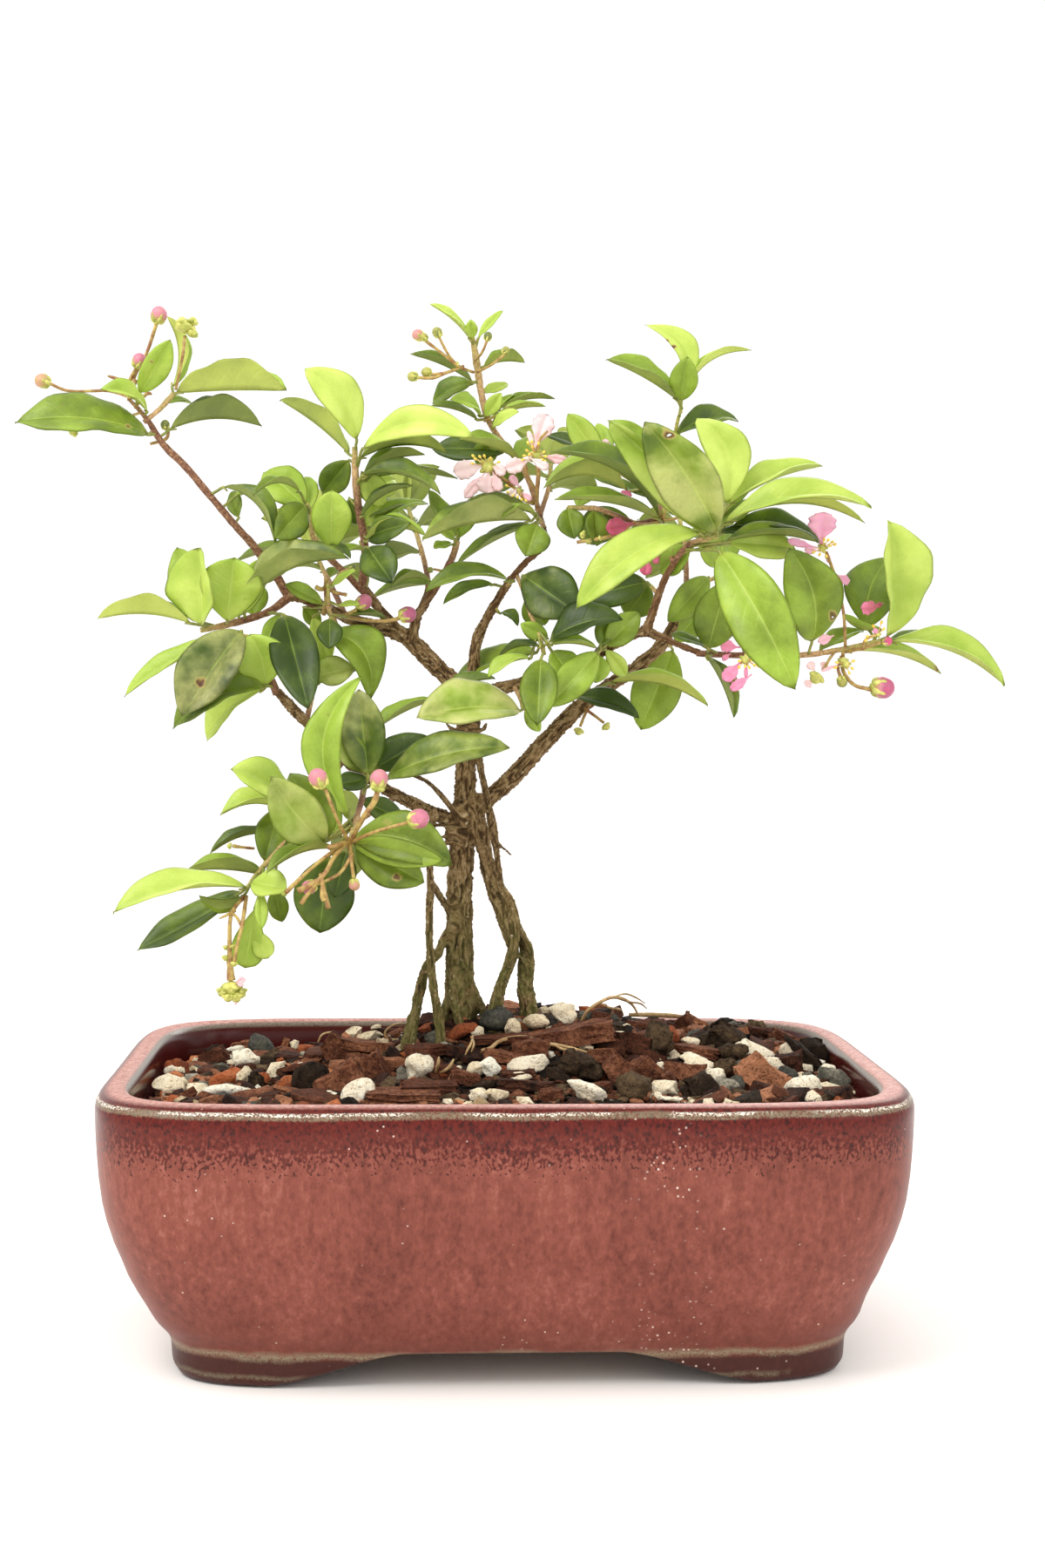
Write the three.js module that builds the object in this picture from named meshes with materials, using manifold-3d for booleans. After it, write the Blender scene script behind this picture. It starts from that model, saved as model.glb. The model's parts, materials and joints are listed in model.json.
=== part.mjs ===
import * as THREE from 'three';
import { mergeVertices } from 'three/addons/utils/BufferGeometryUtils.js';
import Module from 'manifold-3d';

const wasm = await Module();
wasm.setup();

// Driving dimensions, millimetres, +Z up, +Y away from the front
const rimHalfWidth = 101.6;
const rimHalfDepth = 75;
const potHeight = 71;
const wallThickness = 8;
const footHeight = 10.5;
const footInset = 17.6;
const footArchHalf = 30;
const footArchRise = 20;
const footArchHalfSide = 16;
const floorTop = 17;
const outlinePower = 6.4;
const drainRadius = 9;
const drainOffset = 46;
const screenSize = 25;
const screenThick = 0.8;
const wireRadius = 0.6;
const gap = 0.3;
const soilEdge = 63;
const moundHeight = 19;
const moundCentreX = -4;
const moundHalfX = 48;
const moundHalfY = 36;
const rightRise = 5;
const bladeThick = 0.62;
const petioleHalf = 0.5;
const rootSink = 0.6;
const rootSpacing = 0.8;
const plainness = [0.15, 0.17, 0.13, 0.11, 0.19, 0.09, 0.07, 0.05, 0.03];
const mergeTolerance = 0.002;
const eye = new THREE.Vector3(-23, -565, 163);

// Materials
function finish(color, roughness) {
  return new THREE.MeshStandardMaterial({ color, roughness, metalness: 0 });
}
const glaze = finish(0x7a3a30, 0.35);
const earth = finish(0x4a3024, 0.95);
const bark = finish(0x6b5542, 0.9);
const foliage = finish(0x6f9a3c, 0.5);
const youngLeaf = finish(0xa9cf4e, 0.5);
const darkLeaf = finish(0x3f5f2a, 0.5);
const petal = finish(0xe79ac4, 0.6);
const budSkin = finish(0xdfa0a8, 0.6);
const seedGreen = finish(0xb2a850, 0.7);
const screenPlastic = finish(0x23262a, 0.6);
const wireMetal = new THREE.MeshStandardMaterial({ color: 0x7b5a3a, roughness: 0.5, metalness: 0.6 });

// Numbers drawn in a fixed order from a seed
function seeded(seed) {
  let state = seed;
  return () => {
    state = (state * 16807) % 2147483647;
    return (state - 1) / 2147483646;
  };
}

// A point read on the upright plane y = 0, pushed along the front view's sight line to depth y
function seen(x, z, y) {
  const onPlane = new THREE.Vector3(x, 0, z);
  return onPlane.sub(eye).multiplyScalar(1 - y / eye.y).add(eye);
}

// Solids
function toSolid(geometry, tolerance = 1e-5) {
  const plain = geometry.clone();
  plain.deleteAttribute('normal');
  plain.deleteAttribute('uv');
  const merged = mergeVertices(plain, tolerance);
  return new wasm.Manifold(new wasm.Mesh({
    numProp: 3,
    vertProperties: new Float32Array(merged.attributes.position.array),
    triVerts: new Uint32Array(merged.index.array),
  }));
}

function joined(solids) {
  let whole = solids[0];
  for (const solid of solids.slice(1)) whole = whole.add(solid);
  return whole;
}

function largestBody(solid) {
  const bodies = solid.decompose();
  bodies.sort((a, b) => b.volume() - a.volume());
  return bodies[0];
}

function toGeometry(solid) {
  const body = solid.getMesh();
  const geometry = new THREE.BufferGeometry();
  geometry.setAttribute('position', new THREE.BufferAttribute(new Float32Array(body.vertProperties), 3));
  geometry.setIndex(new THREE.BufferAttribute(new Uint32Array(body.triVerts), 1));
  return geometry;
}

// Whether each edge belongs to just two faces, so that no two sheets touch along one
function edgesPaired(geometry) {
  const places = geometry.attributes.position;
  const corners = Array.from(geometry.index.array, (i) => {
    return [places.getX(i), places.getY(i), places.getZ(i)].map((v) => Math.round(v * 500)).join();
  });
  const uses = new Map();
  for (let i = 0; i < corners.length; i += 1) {
    const next = i % 3 === 2 ? i - 2 : i + 1;
    const edge = [corners[i], corners[next]].sort().join('|');
    uses.set(edge, (uses.get(edge) ?? 0) + 1);
  }
  return [...uses.values()].every((count) => count === 2);
}

const parts = new THREE.Group();
function addPart(name, solid, material) {
  let geometry = null;
  for (const tolerance of plainness) {
    const whole = largestBody(solid.simplify(tolerance));
    // Points closer than the tolerance become one, and specks this leaves are dropped
    geometry = toGeometry(largestBody(toSolid(toGeometry(whole), mergeTolerance)));
    if (edgesPaired(geometry)) break;
  }
  const mesh = new THREE.Mesh(geometry, material);
  mesh.name = name;
  parts.add(mesh);
}

function moved(geometry, change) {
  const places = geometry.attributes.position;
  const point = new THREE.Vector3();
  for (let i = 0; i < places.count; i += 1) {
    point.fromBufferAttribute(places, i);
    change(point);
    places.setXYZ(i, point.x, point.y, point.z);
  }
  return geometry;
}

// A tube with its own radius at each point of its route: [x, z, y, radius]
function route(points, place = seen) {
  return new THREE.CatmullRomCurve3(points.map((p) => place(p[0], p[1], p[2])), false, 'centripetal');
}

function limb(points, sides, grow = 0, steps = points.length - 1) {
  const curve = route(points);
  const frames = curve.computeFrenetFrames(steps, false);
  const tube = new THREE.CylinderGeometry(1, 1, 1, sides, steps);
  return moved(tube, (p) => {
    const share = Math.min(Math.max(p.y + 0.5, 0), 1);
    const step = Math.round(share * steps);
    const along = share * (points.length - 1);
    const from = Math.min(Math.floor(along), points.length - 2);
    const radius = THREE.MathUtils.lerp(points[from][3], points[from + 1][3], along - from) + grow;
    const centre = curve.getPoint(share);
    centre.addScaledVector(frames.normals[step], p.z * radius);
    centre.addScaledVector(frames.binormals[step], p.x * radius);
    if (grow > 0 && share === 0) centre.addScaledVector(frames.tangents[0], -grow);
    if (grow > 0 && share === 1) centre.addScaledVector(frames.tangents[steps], grow);
    p.copy(centre);
  });
}

// Pot: a turned profile drawn out to a rounded rectangle
function outline(halfX, halfY, angle, power) {
  const c = Math.cos(angle);
  const s = Math.sin(angle);
  const eased = (v) => (Math.abs(v) < 1e-9 ? 0 : Math.sign(v) * Math.abs(v) ** (2 / power));
  return [halfX * eased(c), halfY * eased(s)];
}

function potForm(profile, power) {
  const turned = new THREE.LatheGeometry(profile.map((p) => new THREE.Vector2(p[0], p[1])), 36);
  return moved(turned, (p) => {
    const inset = rimHalfWidth - Math.hypot(p.x, p.z);
    const angle = Math.atan2(-p.z, p.x);
    const height = p.y;
    const core = inset > rimHalfWidth - 1;
    const [x, y] = outline(rimHalfWidth - inset, rimHalfDepth - inset, angle, power);
    p.set(core ? 0 : x, core ? 0 : y, height);
  });
}

const potOuter = [
  [0, 0], [rimHalfWidth - footInset - 2.2, 0], [rimHalfWidth - footInset, 2.2],
  [rimHalfWidth - 17.2, footHeight + 1], [rimHalfWidth - 14.4, 15.5],
  [rimHalfWidth - 10, 20.5], [rimHalfWidth - 5.6, 28], [rimHalfWidth - 2.6, 37],
  [rimHalfWidth - 1.1, 48], [rimHalfWidth - 0.1, 64],
  [rimHalfWidth, 67.5], [rimHalfWidth - 1.4, potHeight - 0.6], [rimHalfWidth - 3.2, potHeight],
  [0, potHeight],
];
const rimInner = rimHalfWidth - wallThickness;
const potHollow = [
  [0, floorTop], [rimHalfWidth - 24, floorTop], [rimHalfWidth - 17, floorTop + 5],
  [rimHalfWidth - 12, 34], [rimInner - 1.6, 50], [rimInner - 0.6, 69],
  [rimInner + 1.2, potHeight + 1], [0, potHeight + 1],
];

function archCut(half, length, turn) {
  const shape = new THREE.Shape();
  shape.moveTo(-half - footArchRise, -1);
  shape.quadraticCurveTo(-half - 6, footHeight * 0.2, -half, footHeight);
  shape.lineTo(half, footHeight);
  shape.quadraticCurveTo(half + 6, footHeight * 0.2, half + footArchRise, -1);
  const cut = new THREE.ExtrudeGeometry(shape, { depth: length, bevelEnabled: false, curveSegments: 5 });
  cut.translate(0, 0, -length / 2);
  cut.rotateX(Math.PI / 2);
  cut.rotateZ(turn);
  return cut;
}

function potSolid() {
  let pot = toSolid(potForm(potOuter, outlinePower)).subtract(toSolid(potForm(potHollow, outlinePower - 1)));
  const underRecess = new THREE.BoxGeometry(2 * (rimHalfWidth - 34), 2 * (rimHalfDepth - 34), footHeight * 2);
  pot = pot.subtract(toSolid(underRecess));
  pot = pot.subtract(toSolid(archCut(footArchHalf, 240, 0)));
  pot = pot.subtract(toSolid(archCut(footArchHalfSide, 300, Math.PI / 2)));
  for (const side of [-1, 1]) {
    const hole = new THREE.CylinderGeometry(drainRadius, drainRadius, 40, 20);
    hole.rotateX(Math.PI / 2);
    hole.translate(side * drainOffset, 0, floorTop - 5);
    pot = pot.subtract(toSolid(hole));
  }
  return pot;
}
addPart('pot', potSolid(), glaze);

// Mesh screen over each drainage hole, and the wire staple through it
const screenPitch = 6.5;
const screenHole = 5;
const stapleHalf = screenPitch;
const stapleFoot = 8;

function screenSolid(centreX) {
  let screen = toSolid(new THREE.BoxGeometry(screenSize, screenSize, screenThick));
  for (let column = -1; column <= 1; column += 1) {
    for (let row = -1; row <= 1; row += 1) {
      const opening = new THREE.BoxGeometry(screenHole, screenHole, screenThick * 3);
      opening.translate(column * screenPitch, row * screenPitch, 0);
      screen = screen.subtract(toSolid(opening));
    }
  }
  return screen.translate(centreX, 0, floorTop + gap + screenThick / 2);
}

function stapleSolid(centreX) {
  const top = floorTop + gap + screenThick + gap + wireRadius;
  const low = footHeight - gap - wireRadius;
  const row = 0;
  const bends = [
    [-stapleHalf - stapleFoot, low], [-stapleHalf, low], [-stapleHalf, top], [stapleHalf, top],
    [stapleHalf, low], [stapleHalf + stapleFoot, low],
  ].map((p) => new THREE.Vector3(centreX + p[0], row, p[1]));
  const runs = [];
  for (let i = 0; i + 1 < bends.length; i += 1) {
    const run = bends[i + 1].clone().sub(bends[i]);
    const length = run.length() + wireRadius * 1.4;
    const piece = new THREE.CylinderGeometry(wireRadius, wireRadius, length, 6);
    piece.applyQuaternion(new THREE.Quaternion().setFromUnitVectors(new THREE.Vector3(0, 1, 0), run.normalize()));
    const between = bends[i].clone().add(bends[i + 1]).multiplyScalar(0.5);
    piece.translate(between.x, between.y, between.z);
    runs.push(toSolid(piece));
  }
  return joined(runs);
}
for (const [side, label] of [[-1, 'left'], [1, 'right']]) {
  addPart(`drain_screen_${label}`, screenSolid(side * drainOffset), screenPlastic);
  addPart(`screen_staple_${label}`, stapleSolid(side * drainOffset), wireMetal);
}

// Wood: trunk, roots and branches, each row [x, z, depth, radius]
const woodRuns = {
  trunk: [
    [-10.5, 70, 0, 5.4], [-11, 80, 0, 5.0], [-11, 87, 0, 4.3], [-11, 93, 0, 3.9], [-11.2, 104, 0, 3.7],
    [-11.2, 115, 0, 3.5], [-10.8, 125, 0, 3.4], [-10.2, 135, 0, 3.3], [-9.8, 145, 0, 2.9],
    [-9.6, 154, 0, 2.8], [-9, 160, 0, 3.3], [-8.8, 166, 0, 2.4], [-8, 173, 0, 1.7], [-7.3, 180, 1, 1.5],
    [-6.3, 184, 1.5, 1.5], [-4.3, 188, 2, 1.3], [-2, 192, 2, 1.25], [0.3, 196, 2.5, 1.15],
    [3, 199.7, 3, 1], [6, 203, 3, 0.95], [9, 205.7, 3, 0.9], [11.5, 208.8, 3, 0.85],
    [10.5, 212.5, 4, 0.8], [9.5, 216, 5, 0.75],
  ],
  rootLeftSlant: [
    [-12.5, 107, 0, 1.2], [-15, 103, -1, 1.2], [-17, 98.5, -3, 1.3], [-20, 95, -6, 1.2], [-21.5, 89, -8, 1.5],
    [-23, 82, -10, 1.6], [-24.5, 76, -12, 2], [-25, 68, -13, 2],
  ],
  rootLeftDrop: [
    [-18.2, 136, -2, 0.9], [-19, 129, -6, 0.9], [-19.2, 122, -9, 1], [-19, 115, -10, 1.1], [-19.3, 108, -10, 1.1],
    [-19, 100, -11, 1.1], [-18.5, 93, -11, 1.3], [-17.5, 86, -12, 1.3], [-16.5, 80, -13, 1.4], [-16, 71, -14, 1.5],
  ],
  rootLeftLink: [[-18.8, 117.8, -10, 0.9], [-16.5, 114, -6, 1], [-14, 110.3, -2, 1.1], [-12, 107, 0, 1.1]],
  rootFrontA: [[-12.6, 92, -2.5, 1.2], [-12.5, 86, -5, 1.4], [-11, 80, -7, 1.3], [-9.8, 75, -8, 1]],
  rootFrontB: [[-13, 88, -2.5, 1.2], [-15, 83.5, -4.5, 1.3], [-15, 78, -6, 1]],
  rootRight: [[-9, 91, -1, 1.6], [-7, 87.5, -1.5, 1.5], [-4.8, 83, -1, 1.2], [-3, 77, 0, 1]],
  legUpper: [
    [-8, 141, 0, 2.4], [-6.2, 134, -1, 2.3], [-4.6, 127, -2, 2.2], [-2.5, 121, -3, 2.1], [-0.5, 115, -3, 2.2],
    [1.5, 109, -4, 2.3], [3, 103, -4, 2.1], [4.2, 97.5, -4, 1.9],
  ],
  legFootLeft: [[3.8, 100, -4, 1.7], [2.6, 94, -5, 1.6], [0.6, 89, -6, 1.6], [-1, 84.5, -6, 1.9], [-2, 76, -7, 1.9]],
  legFootRight: [[4, 101, -4, 1.9], [5.8, 95, -3, 2.2], [6.9, 90, -3, 2.3], [7.8, 84, -3, 2.5], [8, 73, -3, 2.6]],
  legWrap: [
    [-1, 119, -4.5, 0.9], [1.8, 113.5, -6, 1], [3.8, 109, -6.2, 1.1], [4.3, 104.5, -5.6, 1], [5.8, 101.8, -5, 1.1],
    [7.6, 99, -4.4, 1.2], [7.6, 93, -4, 1.1],
  ],
  rootRightDrop: [
    [-7.5, 157, 0, 0.8], [-5.6, 152, -2.8, 0.75], [-4.5, 144, -5, 0.8], [-2.9, 137, -5.5, 0.9],
    [-1.9, 130, -5.5, 0.9], [-0.9, 124, -5, 1], [-0.2, 117, -4, 1],
  ],
  rootSpur: [[-1.4, 128.6, -5.5, 0.5], [2.6, 124.8, -8, 0.4]],
  rightLow: [
    [-9, 136, 1, 2.2], [-3, 140.5, 2, 2.3], [2, 145, 4, 2.4], [8, 151.5, 6, 2.3], [14, 158, 8, 2.3],
    [20, 164, 10, 2.2], [28, 170, 12, 2], [36, 175.5, 14, 1.9], [42, 181, 16, 1.8], [45.5, 186.5, 17, 1.5],
    [46.5, 191, 17, 1.2], [49.5, 195, 18, 0.9], [54, 198, 19, 0.7],
  ],
  rightMid: [
    [-8.8, 165, 0, 2], [-3, 168.5, -2, 1.8], [3, 170.3, -4, 1.7], [11, 172.5, -6, 1.6], [19, 174.5, -8, 1.5],
    [25, 178.5, -9, 1.5], [31, 182, -10, 1.4], [38, 184.8, -10, 1.5], [42, 183.5, -10, 1.2],
    [47, 181.5, -11, 1], [53, 179.2, -12, 0.9],
  ],
  rightRiser: [[38, 184.4, -10, 1.3], [39.5, 188.5, -11, 1.2], [41.3, 194, -12, 1.1], [43.3, 199, -14, 1], [46, 204, -17, 0.9]],
  leftMain: [
    [-9.2, 162, 0, 2.4], [-13, 170.5, 1, 2.5], [-18, 175.5, 2, 2.4], [-23, 180.5, 3, 2.4], [-28, 184, 4, 2.2],
    [-34, 185.8, 4, 1.7], [-41, 187.6, 4, 1.6], [-47, 190.5, 4, 1.6], [-53, 193, 4, 1.7], [-57, 193.8, 4, 1.6],
  ],
  leftRiser: [[-26, 183, 3.5, 1.5], [-31, 188, 5, 1.4], [-35, 193, 6, 1.4], [-37.5, 196.5, 6, 1.3]],
  centreRiser: [[-24, 182, 3, 1.6], [-23, 188, 3, 1.4], [-20.5, 192, 4, 1.2], [-17.5, 197, 5, 1.1]],
  leftLow: [
    [-10, 131, 0, 2.2], [-15, 134.6, -1, 2], [-20, 136.8, -2, 1.9], [-26, 139.8, -4, 1.7], [-32, 143, -7, 1.5],
    [-40, 148.5, -10, 1.4], [-48, 156.5, -12, 1.4], [-55, 163, -13, 1.5], [-60, 168.5, -14, 1.3],
  ],
  leftThin: [[-11, 134, -1.5, 1], [-15.5, 140, -5, 0.8], [-20, 144.5, -9, 0.7], [-24, 146.3, -12, 0.6]],
  scar: [[-11, 131, -1, 1.7], [-14.8, 131.4, -4, 1.3]],
};

function woodSolid(grow) {
  return joined(Object.entries(woodRuns).map(([name, points]) => {
    return toSolid(limb(points, name === 'trunk' ? 7 : 4, grow));
  }));
}
const wood = woodSolid(0);
const woodClear = woodSolid(gap);
addPart('wood', wood, bark);

// Soil: the filling, its mound, and the chips and stones that cover it
function soilHeight(x, y) {
  const mound = Math.exp(-(((x - moundCentreX) / moundHalfX) ** 2) - (y / moundHalfY) ** 2);
  const right = Math.max(0, Math.min(1, (x - 20) / 50)) * Math.max(0, Math.min(1, (y + 10) / 40));
  return soilEdge + moundHeight * mound + rightRise * right;
}

function soilSolid() {
  const wallGap = wallThickness + 2.2;
  const profile = [
    [0, floorTop + 3], [rimHalfWidth - 26, floorTop + 3], [rimHalfWidth - 18.6, floorTop + 7],
    [rimHalfWidth - 13.6, 34], [rimHalfWidth - wallGap - 0.4, 50], [rimHalfWidth - wallGap, 60],
    [(rimHalfWidth - wallGap) * 0.7, 61], [(rimHalfWidth - wallGap) * 0.4, 61], [0, 61],
  ];
  const turned = new THREE.LatheGeometry(profile.map((p) => new THREE.Vector2(p[0], p[1])), 36);
  const bulk = moved(turned, (p) => {
    const reach = Math.hypot(p.x, p.z);
    const angle = Math.atan2(-p.z, p.x);
    const inset = rimHalfWidth - reach;
    const share = reach / (rimHalfWidth - wallGap);
    const atTop = p.y > 59;
    const halfY = atTop ? (rimHalfDepth - wallGap) * share : rimHalfDepth - inset;
    const [x, y] = reach < 0.01 ? [0, 0] : outline(reach, Math.max(halfY, 0), angle, outlinePower - 1);
    p.set(x, y, atTop ? soilHeight(x, y) - 1.5 : p.y);
  });
  let soil = toSolid(bulk);
  const draw = seeded(77);
  const chips = 34;
  for (let i = 0; i < chips; i += 1) {
    const reach = Math.sqrt(draw());
    const angle = draw() * Math.PI * 2;
    const [x, y] = outline(reach * (rimHalfWidth - 19), reach * (rimHalfDepth - 19), angle, 3.2);
    const stone = draw() < 0.4;
    const size = 3.6 + draw() * 2.6;
    const chip = stone ? new THREE.OctahedronGeometry(size * 0.8) : new THREE.BoxGeometry(size * 2.2, size * 1.4, size * 0.7);
    chip.rotateX((draw() - 0.5) * 0.7);
    chip.rotateY((draw() - 0.5) * 0.7);
    chip.rotateZ(draw() * Math.PI);
    chip.translate(x, y, soilHeight(x, y) - 0.6);
    soil = soil.add(toSolid(chip));
  }
  return soil.subtract(woodClear);
}
addPart('soil', soilSolid(), earth);

// Leaf: [base x, z, depth, tip x, z, depth, width, face, fold, bow, tone, sway], angles in degrees.
// Face turns the upper side from the front towards the left of the leaf's growth.
const bladeStations = [[0.02, 0.1], [0.36, 0.96], [0.72, 0.84]];
const smallStations = [[0.02, 0.1], [0.48, 1]];
const plainStations = [[0.45, 1]];
const smallWidth = 12.4;
const plainWidth = 6.7;
const waveShare = 0.1;

function bladeFrame(base, tip, face) {
  const along = tip.clone().sub(base).normalize();
  const sight = base.clone().add(tip).multiplyScalar(0.5).sub(eye).normalize();
  const left = new THREE.Vector3().crossVectors(along, sight).normalize();
  const front = new THREE.Vector3().crossVectors(along, left).normalize();
  const turn = THREE.MathUtils.degToRad(face);
  const up = front.clone().multiplyScalar(Math.cos(turn)).addScaledVector(left, Math.sin(turn));
  const across = new THREE.Vector3().crossVectors(up, along).normalize();
  return { along, left, up, across };
}

function sheetSolid(root, rows, tip) {
  // Rows of three points [left, middle, right] on the upper and the lower side, with one point at each end
  const places = [];
  for (const side of [0, 1]) {
    for (const row of rows) row.forEach((pair) => places.push(pair[side]));
    places.push(tip[side], root[side]);
  }
  const perSide = rows.length * 3 + 2;
  const faces = [];
  const quad = (a, b, c, d) => faces.push([a, b, c], [a, c, d]);
  for (let r = 0; r + 1 < rows.length; r += 1) {
    for (let c = 0; c < 2; c += 1) {
      const a = r * 3 + c;
      faces.push([a, a + 1, a + 4], [a, a + 4, a + 3]);
      faces.push([a + perSide, a + 4 + perSide, a + 1 + perSide], [a + perSide, a + 3 + perSide, a + 4 + perSide]);
    }
  }
  const last = (rows.length - 1) * 3;
  const end = perSide - 2;
  const start = perSide - 1;
  for (let c = 0; c < 2; c += 1) {
    faces.push([last + c, last + c + 1, end], [last + c + perSide, end + perSide, last + c + 1 + perSide]);
    faces.push([c + 1, c, start], [c + 1 + perSide, start + perSide, c + perSide]);
  }
  const rim = [];
  for (let r = 0; r < rows.length; r += 1) rim.push(r * 3);
  rim.push(end);
  for (let r = rows.length - 1; r >= 0; r -= 1) rim.push(r * 3 + 2);
  rim.push(start);
  for (let i = 0; i < rim.length; i += 1) {
    const a = rim[i];
    const b = rim[(i + 1) % rim.length];
    quad(a, b, b + perSide, a + perSide);
  }
  const geometry = new THREE.BufferGeometry();
  geometry.setAttribute('position', new THREE.Float32BufferAttribute(places.flatMap((p) => p.toArray()), 3));
  geometry.setIndex(faces.flat());
  const solid = toSolid(geometry);
  if (solid.volume() > 0) return solid;
  geometry.setIndex(faces.flatMap((f) => [f[0], f[2], f[1]]));
  return toSolid(geometry);
}

function leafSolid(entry, root, place = seen) {
  const [bx, bz, by, tx, tz, ty, width, face, fold, bow, , sway = 0] = entry;
  const base = place(bx, bz, by);
  const tip = place(tx, tz, ty);
  const { left, up, across } = bladeFrame(base, tip, face);
  const tilt = THREE.MathUtils.degToRad(fold);
  const midrib = (t) => {
    const lift = 4 * t * (1 - t);
    return base.clone().lerp(tip, t).addScaledVector(up, bow * lift).addScaledVector(left, sway * lift);
  };
  const row = (centre, half, wave) => {
    const across0 = across.clone().multiplyScalar(half * Math.cos(tilt));
    const rise = up.clone().multiplyScalar(half * Math.sin(tilt));
    const leftPoint = centre.clone().sub(across0).add(rise).addScaledVector(up, wave);
    const rightPoint = centre.clone().add(across0).add(rise).addScaledVector(up, -wave);
    const leftOut = up.clone().multiplyScalar(Math.cos(tilt)).addScaledVector(across, Math.sin(tilt));
    const rightOut = up.clone().multiplyScalar(Math.cos(tilt)).addScaledVector(across, -Math.sin(tilt));
    return [
      [leftPoint.clone().addScaledVector(leftOut, bladeThick), leftPoint],
      [centre.clone().addScaledVector(up, bladeThick / Math.cos(tilt)), centre],
      [rightPoint.clone().addScaledVector(rightOut, bladeThick), rightPoint],
    ];
  };
  const rows = [];
  const narrow = width < plainWidth ? plainStations : smallStations;
  const stations = width < smallWidth ? narrow : bladeStations;
  stations.forEach(([t, share], i) => {
    const half = Math.max(share * width / 2, petioleHalf);
    const wave = i === 0 ? 0 : waveShare * width * 0.5 * (i % 2 === 0 ? 1 : -1);
    rows.push(row(midrib(t), half, wave));
  });
  const sunk = root.clone().addScaledVector(root.clone().sub(base).normalize(), rootSink);
  const ends = [sunk, tip].map((p) => [p.clone().addScaledVector(up, bladeThick), p]);
  return sheetSolid(ends[0], rows, ends[1]);
}

// The place on the twigs nearest a leaf's base, a little apart from the roots already set
function rootOn(curves, point, roots) {
  const spots = curves.flatMap((curve) => Array.from({ length: 48 }, (_, i) => curve.getPoint((i + 1) / 50)));
  const free = spots.filter((spot) => roots.every((root) => root.distanceTo(spot) > rootSpacing));
  const open = free.length > 0 ? free : spots;
  open.sort((p, q) => p.distanceTo(point) - q.distanceTo(point));
  roots.push(open[0]);
  return open[0];
}

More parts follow.
